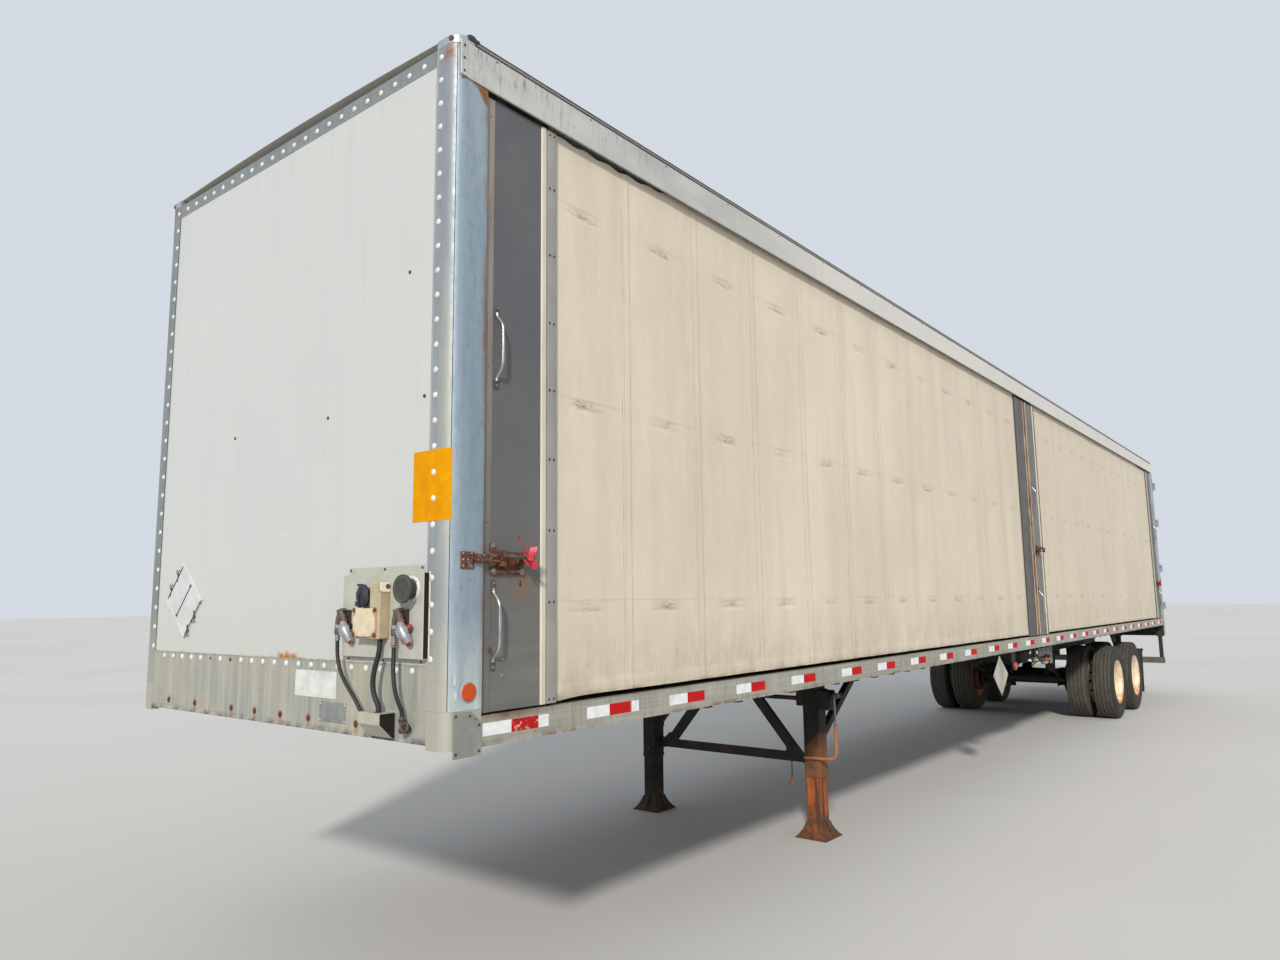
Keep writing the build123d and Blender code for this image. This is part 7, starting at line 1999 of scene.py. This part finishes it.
# mud flaps: thick rubber with a slight set, hung from an angle
b = MB("mud_flap_pair")
for s in (1, -1):
    b.use(FLAP)
    nu, nv = 14, 18
    vs, fs = [], []
    for t in (0.0, 0.0080):
        for j in range(nv + 1):
            z = 0.868 - 0.668 * j / nv
            for i in range(nu + 1):
                yy = 0.682 + (0.594 - 0.016 * j / nv) * i / nu
                q = j / nv
                bow = 0.010 * q * q * sin(3.0 * i / nu + 0.4) + 0.004 * q * sin(9.0 * i / nu)
                vs.append((-5.8680 + t - bow, s * yy, z))
    L = (nu + 1) * (nv + 1)
    at = lambda f, j, i: f * L + j * (nu + 1) + i
    for f in (0, 1):
        for j in range(nv):
            for i in range(nu):
                fs.append((at(f, j, i), at(f, j, i + 1), at(f, j + 1, i + 1), at(f, j + 1, i)))
    for j in range(nv):
        for i in (0, nu):
            fs.append((at(0, j, i), at(0, j + 1, i), at(1, j + 1, i), at(1, j, i)))
    for i in range(nu):
        for j in (0, nv):
            fs.append((at(0, j, i), at(0, j, i + 1), at(1, j, i + 1), at(1, j, i)))
    b.add(vs, fs)
    b.use(BLACK_PAINT_AND_SHADE)
    prism(b, [(-5.8830, 0.8350), (-5.8680, 0.8350), (-5.8680, 0.8640), (-5.8530, 0.8640), (-5.8530, 0.8700), (-5.8830, 0.8700)], "y", s * 0.575, s * 1.285, 0.0010)
    brick(b, (-5.8600, s * 0.684, 0.8300), (-5.8550, s * 1.282, 0.8600), 0.001)
    b.use(RUST_BOLT)
    for i in range(6):
        hexbolt(b, (-5.8550, s * (0.730 + 0.102 * i), 0.845), (1, 0, 0), 0.0070, 0.0060)
b.done(stands_for=("mud_flaps",), slot="rubber")

# ================================================================ things hung under the left rail
b = MB("hung_placard").use(KITE)
C4 = [(1.385, 1.158), (1.600, 0.985), (1.375, 0.785), (1.150, 0.975)]
prism(b, C4, "y", 1.2780, 1.2815, 0.0010)
prism(b, [(1.385, 1.158), (1.600, 0.985), (1.380, 0.985)], "y", 1.2810, 1.2850, 0.0010)
prism(b, [(1.375, 0.985), (1.160, 0.975), (1.375, 0.800)], "y", 1.2810, 1.2840, 0.0010)
b.use(SCREW)
for x, z in ((1.388, 1.140), (1.580, 0.986), (1.376, 0.806), (1.172, 0.976), (1.380, 0.985)):
    screw(b, (x, 1.2835, z), (0, 1, 0), 0.0060, 0.0030)
b.use(BLACK_PAINT_AND_SHADE)
brick(b, (1.375, 1.2680, 0.800), (1.395, 1.2785, 1.190), 0.002)
b.done(slot="white_panel")

b = MB("side_marker_left").use(DARK_PAINT_AND_SHADE)
prism(b, [(0.810, 1.178), (0.955, 1.178), (0.935, 1.060), (0.915, 0.995), (0.850, 0.995), (0.830, 1.060)], "y", 1.2560, 1.2620, 0.0010)
brick(b, (0.812, 1.2400, 1.168), (0.953, 1.2620, 1.178), 0.001)
b.use(RUBBER)
lathe(b, [(0.0420, 0), (0.0450, 0.004), (0.0430, 0.014), (0.0350, 0.016), (0, 0.016)], (0.881, 1.2618, 1.032), (0, 1, 0), 28)
b.use(AMBER)
lathe(b, [(0.0370, 0.010), (0.0370, 0.020), (0.0340, 0.026), (0.0200, 0.030), (0, 0.0305)], (0.881, 1.2618, 1.032), (0, 1, 0), 28)
b.done(slot="lamp")

b = MB("pin_release_left").use(CHANNEL)
brick(b, (-0.930, 1.1500, 1.045), (-0.420, 1.1560, 1.135), 0.003)
brick(b, (-0.930, 1.1200, 1.130), (-0.420, 1.1560, 1.136), 0.001)
brick(b, (-1.040, 1.1400, 0.940), (-0.930, 1.1480, 1.157), 0.003)
brick(b, (-1.040, 1.1000, 0.940), (-1.032, 1.1440, 1.157), 0.001)
b.use(CREAM_BOX)
brick(b, (-0.345, 1.1150, 0.935), (-0.285, 1.1600, 1.050), 0.006)
brick(b, (-0.800, 1.1200, 0.950), (-0.620, 1.1600, 0.990), 0.006)
b.use(SEAL_RUST)
lathe(b, [(0.0, 0.0), (0.020, 0.002), (0.026, 0.012), (0.020, 0.024), (0.010, 0.030), (0.010, 0.060)], (-0.560, 1.215, 1.010), (0, -1, 0), 16)
brick(b, (-0.860, 1.1300, 0.985), (-0.500, 1.1640, 1.012), 0.004)
b.use(BLACK_PAINT_AND_SHADE)
tube(b, bent_bar([(-0.130, 1.165, 1.150), (-0.130, 1.165, 1.000), (-0.700, 1.165, 1.000), (-0.700, 1.165, 1.060)], 0.03, 5), 0.0080, 10)
for x in (-0.100, -0.450, -0.900):
    brick(b, (x - 0.020, 1.0700, 1.110), (x + 0.020, 1.1540, 1.170), 0.002)
brick(b, (-0.350, 1.1200, 1.045), (-0.270, 1.1560, 1.165), 0.003)
b.use(RUST_BOLT)
for x in (-0.900, -0.720, -0.560, -0.450):
    hexbolt(b, (x, 1.1560, 1.110), (0, 1, 0), 0.0080, 0.0070)
b.done(slot="galvanized")


# ================================================================ rear frame, doors and their gear
XR = -8.077
MARK = painted("guard_olive", C(112, 110, 98), C(78, 74, 64), 0.55, 0.3, cloud=3, amount=0.7, streak=0.3, rust=0.35, rust_scale=7).m
DOOR_EDGE_T = painted("door_edge", C(170, 172, 172), C(132, 130, 124), 0.42, 0.5, cloud=4, amount=0.6, streak=0.5).m
PLY = painted("lining_ply", C(168, 132, 88), C(128, 96, 62), 0.7, 0.0, cloud=2, amount=0.7, grain=0.3, streak=0.5, streak_scale=18).m


def ribbed_face(b, y0, y1, z0, z1, x0, x1, s):
    """Door leaf with pressed upright ribs on its outer skin."""
    n = int((y1 - y0) / 0.012)
    prof = []
    for i in range(n + 1):
        y = y0 + (y1 - y0) * i / n
        u = ((y - y0) % 0.310) / 0.310
        d = 0.0024 * (smooth(0.02, 0.05, u) - smooth(0.95, 0.98, u))
        prof.append((x0 - d + 0.0024, s * y))
    pts = prof + [(x1, s * y1), (x1, s * y0)]
    prism(b, pts, "z", z0, z1)


for s, sn in SIDES:
    body = "rear_door_" + sn
    b = MB("door_leaf_" + sn).use(DOOR)
    ribbed_face(b, 0.034, 1.206, 1.330, 3.850, XR + 0.0030, XR + 0.0410, s)
    b.use(DOOR_EDGE_T)
    for y0, y1, z0, z1 in ((0.0050, 0.0360, 1.3000, 3.8800), (1.2040, 1.2390, 1.3000, 3.8800)):
        brick(b, (XR + 0.0004, s * y0, z0), (XR + 0.0440, s * y1, z1), 0.003)
    for z0, z1 in ((1.3000, 1.3340), (3.8460, 3.8800)):
        brick(b, (XR + 0.0008, s * 0.034, z0), (XR + 0.0436, s * 1.206, z1), 0.003)
    # rubber round the leaf: two lips
    b.use(SEAL_GREY)
    for y0, y1, z0, z1 in ((0.0042, 0.0062, 1.2995, 3.8805), (1.2380, 1.2400, 1.2995, 3.8805)):
        brick(b, (XR + 0.0020, s * y0, z0), (XR + 0.0120, s * y1, z1), 0.0008)
        brick(b, (XR + 0.0320, s * y0, z0), (XR + 0.0430, s * y1, z1), 0.0008)
    for z0, z1 in ((1.2990, 1.3012), (3.8790, 3.8810)):
        brick(b, (XR + 0.0020, s * 0.0060, z0), (XR + 0.0120, s * 1.2380, z1), 0.0008)
        brick(b, (XR + 0.0320, s * 0.0060, z0), (XR + 0.0430, s * 1.2380, z1), 0.0008)
    b.use(RIVET)
    for i in range(36):
        z = 1.345 + i * 0.0714
        for y in (0.020, 1.222):
            dome(b, (XR + 0.0006, s * y, z), (-1, 0, 0), 0.0050, 0.0022, 8)
    for i in range(16):
        for z in (1.317, 3.863):
            dome(b, (XR + 0.0010, s * (0.060 + i * 0.0748), z), (-1, 0, 0), 0.0050, 0.0022, 8)
    # inner face: scuff plate with its screws
    b.use(STRIP)
    brick(b, (XR + 0.0400, s * 0.040, 1.3380), (XR + 0.0430, s * 1.200, 1.640), 0.001)
    b.use(SCREW)
    for i in range(9):
        for z in (1.352, 1.626):
            dome(b, (XR + 0.0428, s * (0.070 + i * 0.1375), z), (1, 0, 0), 0.0045, 0.0018, 8)
    b.done(body, ("rear_door_" + sn,), "white_panel")

    b = MB("door_gear_" + sn).use(ZINC)
    for hz in (1.520, 2.180, 2.990, 3.660):
        # strap lies on the leaf, steps out and wraps the pin
        prism(b, [(XR - 0.0004, s * 1.0200), (XR - 0.0076, s * 1.0225), (XR - 0.0076, s * 1.1930), (XR - 0.0176, s * 1.2030), (XR - 0.0176, s * 1.2960),
                  (XR - 0.0570, s * 1.3120), (XR - 0.0570, s * 1.3235), (XR - 0.0110, s * 1.3235), (XR - 0.0084, s * 1.3000), (XR - 0.0084, s * 1.2360),
                  (XR - 0.0004, s * 1.2360)], "z", hz - 0.0295, hz + 0.0295, 0.0010)
        lathe(b, [(0.0102, -0.0298), (0.0160, -0.0298), (0.0170, -0.0285), (0.0170, 0.0285), (0.0160, 0.0298), (0.0102, 0.0298)], (-8.145, s * 1.312, hz), (0, 0, 1), 22, loop=True)
        b.use(BOLT)
        for y in (1.045, 1.100, 1.155):
            for dz in (-0.015, 0.015):
                dome(b, (XR - 0.0074, s * y, hz + dz), (-1, 0, 0), 0.0078, 0.0048, 12)
        b.use(ZINC)
    for ry in (0.180, 0.860):
        y = s * ry
        tube(b, [(XR - 0.030, y, 1.2600), (XR - 0.030, y, 3.9200)], 0.0126, 18)
        for ze, up in ((1.2600, 1), (3.9200, -1)):
            # cam: collar and hooked nose
            b.use(CAST)
            lathe(b, [(0.0130, 0), (0.0190, 0.002), (0.0200, 0.006), (0.0200, 0.022), (0.0175, 0.027), (0.0130, 0.030)], (XR - 0.030, y, ze), (0, 0, up), 18, loop=True)
            prism(b, [(XR - 0.0120, y - 0.004), (XR - 0.0340, y - 0.019), (XR - 0.0460, y - 0.012), (XR - 0.0440, y + 0.012), (XR - 0.0330, y + 0.019), (XR - 0.0200, y + 0.022), (XR - 0.0110, y + 0.012)],
                  "z", ze + up * 0.004, ze + up * 0.018, 0.0020)
            b.use(ZINC)
        for gz in (1.420, 2.300, 3.100, 3.760):
            # guide: base plate, saddle over the rod, two bolts
            brick(b, (XR - 0.0060, y - 0.0255, gz - 0.0345), (XR - 0.0002, y + 0.0255, gz + 0.0345), 0.0020)
            arc = [(XR - 0.0300 - 0.0160 * cos(a), y + 0.0160 * sin(a)) for a in [radians(-90 + 15 * i) for i in range(13)]]
            arc_in = [(XR - 0.0300 - 0.0134 * cos(a), y + 0.0134 * sin(a)) for a in [radians(-90 + 15 * i) for i in range(13)]]
            prism(b, [(XR - 0.0050, y - 0.0160)] + arc + [(XR - 0.0050, y + 0.0160), (XR - 0.0050, y + 0.0134)] + arc_in[::-1] + [(XR - 0.0050, y - 0.0134)], "z", gz - 0.0200, gz + 0.0200)
            b.use(BOLT)
            for dz in (-0.0275, 0.0275):
                hexbolt(b, (XR - 0.0058, y, gz + dz), (-1, 0, 0), 0.0058, 0.0050, a0=gz)
            b.use(ZINC)
        # handle: boss on the rod, flat shank, turned grip end, and its keeper with a hasp
        lathe(b, [(0.0130, -0.0240), (0.0195, -0.0225), (0.0195, 0.0225), (0.0130, 0.0240)], (XR - 0.030, y, 2.0575), (0, 0, 1), 18, loop=True)
        d = s * 1.0
        prism(b, [(XR - 0.0380, y + d * 0.012), (XR - 0.0430, y + d * 0.040), (XR - 0.0430, y + d * 0.215), (XR - 0.0400, y + d * 0.300), (XR - 0.0400, y + d * 0.3280),
                  (XR - 0.0330, y + d * 0.3280), (XR - 0.0330, y + d * 0.300), (XR - 0.0360, y + d * 0.215), (XR - 0.0360, y + d * 0.040), (XR - 0.0240, y + d * 0.012)], "z", 2.0440, 2.0710, 0.0016)
        tube(b, [(XR - 0.0395, y + d * 0.210, 2.0575), (XR - 0.0380, y + d * 0.300, 2.0575), (XR - 0.0372, y + d * 0.3290, 2.0575)], [0.0105, 0.0112, 0.0095], 14)
        b.use(CAST)
        brick(b, (XR - 0.0055, y + d * 0.2700, 2.0200), (XR - 0.0003, y + d * 0.3200, 2.0950), 0.0020)
        for z0, z1 in ((2.0230, 2.0330), (2.0820, 2.0920)):
            brick(b, (XR - 0.0440, y + d * 0.2820, z0), (XR - 0.0040, y + d * 0.3080, z1), 0.0020)
        prism(b, [(XR - 0.0452, y + d * 0.286), (XR - 0.0488, y + d * 0.286), (XR - 0.0488, y + d * 0.304), (XR - 0.0452, y + d * 0.304)], "z", 2.0230, 2.0900, 0.0010)
        b.use(BOLT)
        for dz in (2.0280, 2.0870):
            dome(b, (XR - 0.0050, y + d * 0.2760, dz), (-1, 0, 0), 0.0050, 0.0030, 8)
        b.use(ZINC)
    b.done(body, ("door_hardware_" + sn,), "galvanized")

# hinge butts on the posts
b = MB("hinge_butt_set").use(ZINC)
for s, sn in SIDES:
    for hz in (1.520, 2.180, 2.990, 3.660):
        for dz in (-1, 1):
            z0, z1 = sorted((hz + dz * 0.0352, hz + dz * 0.0598))
            prism(b, [(-8.145, s * 1.2962), (-8.145, s * 1.3238), (XR + 0.0480, s * 1.3238), (XR + 0.0600, s * 1.3100), (XR + 0.0600, s * 1.2957), (XR - 0.050, s * 1.2957)], "z", z0, z1, 0.0015)
            lathe(b, [(0, z0), (0.0160, z0), (0.0170, z0 + 0.0012), (0.0170, z1 - 0.0012), (0.0160, z1), (0, z1)], (-8.145, s * 1.312, 0), (0, 0, 1), 22)
        lathe(b, [(0, hz - 0.0640), (0.0130, hz - 0.0640), (0.0135, hz - 0.0600), (0.0094, hz - 0.0598), (0.0094, hz + 0.0598), (0.0120, hz + 0.0600), (0.0110, hz + 0.0635), (0, hz + 0.0640)],
              (-8.145, s * 1.312, 0), (0, 0, 1), 18)
        brick(b, (XR + 0.0020, s * 1.2952, hz - 0.0800), (XR + 0.0900, s * 1.3010, hz + 0.0800), 0.0020)
        b.use(BOLT)
        for x in (0.075,):
            for dz in (-0.062, -0.020, 0.020, 0.062):
                dome(b, (XR + x, s * 1.3008, hz + dz), (0, s, 0), 0.0070, 0.0040, 10)
        b.use(ZINC)
b.done(stands_for=("door_hinge_butts",), slot="galvanized")


def round_lamp(b, at, axis, r, lens, flange=None):
    b.use(flange or RUBBER)
    lathe(b, [(r * 0.80, -0.002), (r * 1.22, -0.002), (r * 1.24, 0.003), (r * 1.14, 0.0085), (r * 0.98, 0.0100), (r * 0.90, 0.0085), (r * 0.80, 0.0080)], at, axis, 28, loop=True)
    b.use(lens)
    lathe(b, [(0, -0.001), (r * 0.93, -0.001), (r * 0.93, 0.0080), (r * 0.86, 0.0125), (r * 0.50, 0.0150), (0, 0.0156)], at, axis, 28)


# posts, header, sill
b = MB("rear_frame_trim").use(GALV_RAIL)
for s, sn in SIDES:
    # post: outer lip and inner return
    brick(b, (XR - 0.0035, s * 1.2455, 1.2930), (XR + 0.0040, s * 1.2800, 4.0600), 0.002)
    brick(b, (XR + 0.0300, s * 1.2950, 1.3000), (XR + 0.1400, s * 1.2985, 3.8950), 0.001)
    b.use(RIVET)
    for i in range(30):
        z = 1.345 + 0.0865 * i
        dome(b, (XR + 0.1280, s * 1.2984, z), (0, s, 0), 0.0045, 0.0022, 8)
        dome(b, (XR - 0.0033, s * 1.2660, z), (-1, 0, 0), 0.0045, 0.0022, 8)
    b.use(GALV_RAIL)
    # end plates of the deep sill, and lamp panels
    brick(b, (XR + 0.0005, s * 1.2895, 0.9905), (XR + 0.1015, s * 1.2950, 1.1735), 0.002)
    # shoe over the open end of the side rail
    brick(b, (XR - 0.0034, s * 1.2245, 1.1770), (XR - 0.0003, s * 1.2984, 1.2915), 0.001)
    brick(b, (XR - 0.0030, s * 1.2957, 1.1770), (XR + 0.0990, s * 1.2985, 1.2915), 0.001)
    brick(b, (XR - 0.0030, s * 0.7400, 1.0050), (XR + 0.0010, s * 1.2880, 1.1350), 0.0015)
    brick(b, (XR - 0.0040, s * 0.0300, 1.2650), (XR + 0.0010, s * 1.2400, 1.2900), 0.0015)
    for y in (0.840, 0.990, 1.140):
        round_lamp(b, (XR - 0.0028, s * y, 1.0700), (-1, 0, 0), 0.0510, RED_LENS)
    b.use(RUBBER)
    for y in (0.560, 0.640):
        brick(b, (XR - 0.0260, s * (y - 0.030), 1.1500), (XR - 0.0005, s * (y + 0.030), 1.2500), 0.006)
    b.use(CAST)
    for ry in (0.180, 0.860):
        # keepers under and over the lock rods' cams
        brick(b, (XR - 0.0480, s * (ry - 0.0260), 1.2300), (XR - 0.0005, s * (ry + 0.0260), 1.2420), 0.0020)
        brick(b, (XR - 0.0060, s * (ry - 0.0300), 1.1900), (XR - 0.0005, s * (ry + 0.0300), 1.2420), 0.0020)
        brick(b, (XR - 0.0480, s * (ry - 0.0260), 3.9360), (XR - 0.0005, s * (ry + 0.0260), 3.9480), 0.0020)
        brick(b, (XR - 0.0060, s * (ry - 0.0300), 3.9360), (XR - 0.0005, s * (ry + 0.0300), 3.9860), 0.0020)
    b.use(BOLT)
    for ry in (0.180, 0.860):
        for dy in (-0.018, 0.018):
            hexbolt(b, (XR - 0.0058, s * (ry + dy), 1.2100), (-1, 0, 0), 0.0060, 0.0060)
            hexbolt(b, (XR - 0.0058, s * (ry + dy), 3.9680), (-1, 0, 0), 0.0060, 0.0060)
    b.use(TAPE_W)
    brick(b, (XR - 0.0006, s * 0.9300, 4.0000), (XR + 0.0002, s * 1.2350, 4.0500), 0.0002)
    brick(b, (XR - 0.0042, s * 1.2470, 3.7400), (XR - 0.0034, s * 1.2790, 4.0500), 0.0002)
    b.use(GALV_RAIL)
# header lip and drip rail, three lamps in the middle and one at each end
brick(b, (XR - 0.0100, -1.2400, 3.8900), (XR + 0.0010, 1.2400, 3.8980), 0.002)
brick(b, (XR - 0.0160, -1.2800, 4.0540), (XR + 0.0010, 1.2800, 4.0620), 0.002)
for y in (-1.1800, -0.1520, 0.0, 0.1520, 1.1800):
    round_lamp(b, (XR - 0.0002, y, 3.9750), (-1, 0, 0), 0.0300, RED_LENS)
# painted shade: a black plate on the sill's forward face stands in for the shade under the body
b.use(BLACK_PAINT_AND_SHADE)
brick(b, (XR + 0.1005, -1.2880, 0.9920), (XR + 0.1045, 1.2880, 1.1720), 0.001)
for y in (-0.90, -0.53, -0.18, 0.18, 0.53, 0.90):
    prism(b, [(XR + 0.1030, 0.9940), (XR + 0.1400, 0.9940), (XR + 0.1700, 1.1560), (XR + 0.1030, 1.1560)], "y", y - 0.004, y + 0.004, 0.0008)
# blank plate with its holder and lamp
b.use(BLACK_PAINT_AND_SHADE)
brick(b, (XR - 0.0060, -0.1750, 1.0100), (XR - 0.0004, 0.1750, 1.1850), 0.002)
b.use(LABEL)
brick(b, (XR - 0.0080, -0.1520, 1.0180), (XR - 0.0058, 0.1520, 1.1700), 0.0008)
b.use(BLACK_PAINT_AND_SHADE)
brick(b, (XR - 0.0350, -0.0450, 1.1860), (XR - 0.0020, 0.0450, 1.2120), 0.005)
b.use(LAMP_GLASS)
brick(b, (XR - 0.0330, -0.0380, 1.1830), (XR - 0.0120, 0.0380, 1.1870), 0.001)
b.use(SCREW)
for y in (-0.120, 0.120):
    screw(b, (XR - 0.0080, y, 1.1600), (-1, 0, 0), 0.0060, 0.0030)
b.done(slot="galvanized")

# under-ride guard
b = MB("rear_guard").use(MARK)
prism(b, [(XR + 0.0060, 0.5100), (XR + 0.0840, 0.5100), (XR + 0.0900, 0.5160), (XR + 0.0900, 0.6040), (XR + 0.0840, 0.6100), (XR + 0.0060, 0.6100), (XR, 0.6040), (XR, 0.5160)],
      "y", -1.2510, 1.2510, 0.0020)
b.use(BLACK_PAINT_AND_SHADE)
for s in (1, -1):
    prism(b, [(XR + 0.0080, 0.5160), (XR + 0.0820, 0.5160), (XR + 0.0860, 0.5200), (XR + 0.0860, 0.6000), (XR + 0.0820, 0.6040), (XR + 0.0080, 0.6040), (XR + 0.0040, 0.6000), (XR + 0.0040, 0.5200)],
          "y", s * 1.2500, s * 1.2546, 0.0015)
    for y0, y1 in ((0.480, 0.580), (1.185, 1.240)):
        q0, q1 = sorted((s * y0, s * y1))
        prism(b, [(XR + 0.0080, q0), (XR + 0.0760, q0), (XR + 0.0820, q0 + 0.006), (XR + 0.0820, q1 - 0.006), (XR + 0.0760, q1), (XR + 0.0080, q1), (XR + 0.0020, q1 - 0.006), (XR + 0.0020, q0 + 0.006)],
              "z", 0.6060, 0.9910, 0.0)
        brick(b, (XR + 0.0010, q0 - 0.020, 0.9800), (XR + 0.0980, q1 + 0.020, 0.9920), 0.002)
        b.use(RUST_BOLT)
        for x in (XR + 0.018, XR + 0.080):
            for y in (q0 - 0.010, q1 + 0.010):
                hexbolt(b, (x, y, 0.9800), (0, 0, -1), 0.0075, 0.0070)
        b.use(BLACK_PAINT_AND_SHADE)
    # struts forward to the rails
    y = s * 0.530
    p0, p1 = (XR + 0.060, 0.640), (XR + 0.560, 1.035)
    ln = sqrt((p1[0] - p0[0]) ** 2 + (p1[1] - p0[1]) ** 2)
    ux, uz = (p1[0] - p0[0]) / ln, (p1[1] - p0[1]) / ln
    hx, hz_ = -uz * 0.025, ux * 0.025
    prism(b, [(p0[0] + hx, p0[1] + hz_), (p1[0] + hx, p1[1] + hz_), (p1[0] - hx, p1[1] - hz_), (p0[0] - hx, p0[1] - hz_)], "y", y - 0.0295, y + 0.0295, 0.0040)
    brick(b, (XR + 0.500, y - 0.040, 1.0300), (XR + 0.640, y + 0.040, 1.0680), 0.003)
    prism(b, [(XR + 0.0800, 0.6120), (XR + 0.1600, 0.6900), (XR + 0.1300, 0.7250), (XR + 0.0800, 0.7250)], "y", y - 0.0340, y - 0.0290, 0.0008)
    prism(b, [(XR + 0.0800, 0.6120), (XR + 0.1600, 0.6900), (XR + 0.1300, 0.7250), (XR + 0.0800, 0.7250)], "y", y + 0.0290, y + 0.0340, 0.0008)
    b.use(RUST_BOLT)
    for x in (XR + 0.530, XR + 0.610):
        hexbolt(b, (x, y + s * 0.040, 1.048), (0, s, 0), 0.0085, 0.0080)
    b.use(BLACK_PAINT_AND_SHADE)
y = -1.2200
k = 0
while y < 1.18:
    w = 0.1780 if k % 2 else 0.2790
    b.use(TAPE_W if k % 2 else TAPE_R)
    brick(b, (XR - 0.0006, y, 0.5350), (XR + 0.0002, min(y + w, 1.220), 0.5850), 0.0002)
    y += w + 0.001
    k += 1
b.done(stands_for=("under_ride_guard",), slot="black_steel")

# ================================================================ roof skin
b = MB("roof_skin").use(ROOF)
XA, XB, YR = -8.0755, 8.0730, 1.2850
NX, NY = 212, 22


def roof_z(x, y):
    crown = 4.0860 + 0.0286 * (1 - (y / YR) ** 2)
    u = ((x - XA) / 0.6096) % 1.0
    sag = 0.0030 * sin(pi * u) ** 2 * (1 - abs(y / YR) ** 6)
    lap = 0.0
    return crown - sag - lap


def roof_half(x):
    """Half width of the roof at x: rounded in plan at the front corners."""
    r = 0.054
    if x <= XB - r:
        return YR
    d = min(x - (XB - r), r)
    return YR - r + sqrt(max(0.0, r * r - d * d))


vs, fs = [], []
xs = [XA + (XB - 0.06 - XA) * i / NX for i in range(NX + 1)] + [XB - 0.054 + 0.054 * sin(pi / 2 * i / 6) for i in range(7)]
for t in (0.0, 0.0030):
    for x in xs:
        h = roof_half(x)
        for j in range(NY + 1):
            y = -h + 2 * h * j / NY
            vs.append((x, y, roof_z(x, y) - t))
M = NY + 1
L = len(xs) * M
for f in (0, 1):
    for i in range(len(xs) - 1):
        for j in range(NY):
            fs.append((f * L + i * M + j, f * L + (i + 1) * M + j, f * L + (i + 1) * M + j + 1, f * L + i * M + j + 1))
for i in range(len(xs) - 1):
    for j in (0, NY):
        fs.append((i * M + j, (i + 1) * M + j, L + (i + 1) * M + j, L + i * M + j))
for i in (0, len(xs) - 1):
    for j in range(NY):
        fs.append((i * M + j, i * M + j + 1, L + i * M + j + 1, L + i * M + j))
b.add(vs, fs)
# rivets along both edges and across both ends, sealant beads at the ends
b.use(RIVET)
for i in range(130):
    x = -8.020 + i * 0.1240
    if x > 8.0:
        break
    for s in (1, -1):
        dome(b, (x, s * 1.2550, roof_z(x, 1.255) - 0.0004), (0, s * 0.04, 1), 0.0050, 0.0022, 6)
for i in range(-10, 11):
    y = i * 0.118
    for x in (-8.050, 8.040):
        dome(b, (x, y, roof_z(x, y) - 0.0004), (0, 0, 1), 0.0055, 0.0024, 6)
b.use(SEAL_GREY)
for x in (-8.0250, 8.0150):
    prism(b, [(-1.24, 4.0850), (1.24, 4.0850)] + [(1.24 - 0.124 * k, roof_z(XA, 1.24 - 0.124 * k) + 0.0016) for k in range(21)], "x", x - 0.006, x + 0.006)
b.done(stands_for=("roof_panel",), slot="roof_skin", sharp=50)

# ================================================================ inside the load space
b = MB("front_lining").use(PLY)
for i in range(4):
    y0 = -1.176 + i * 0.5890
    brick(b, (8.0262, y0, 1.640), (8.0352, y0 + 0.5850, 3.900), 0.0015)
b.use(STRIP)
brick(b, (8.0235, -1.180, 1.2945), (8.0352, 1.180, 1.6350), 0.0015)
b.use(SCREW)
for i in range(20):
    for z in (1.320, 1.615, 1.670, 2.760, 3.870):
        dome(b, (8.0238 if z < 1.64 else 8.0265, -1.150 + i * 0.121, z), (-1, 0, 0), 0.0048, 0.0016, 6)
b.done(slot="white_panel")
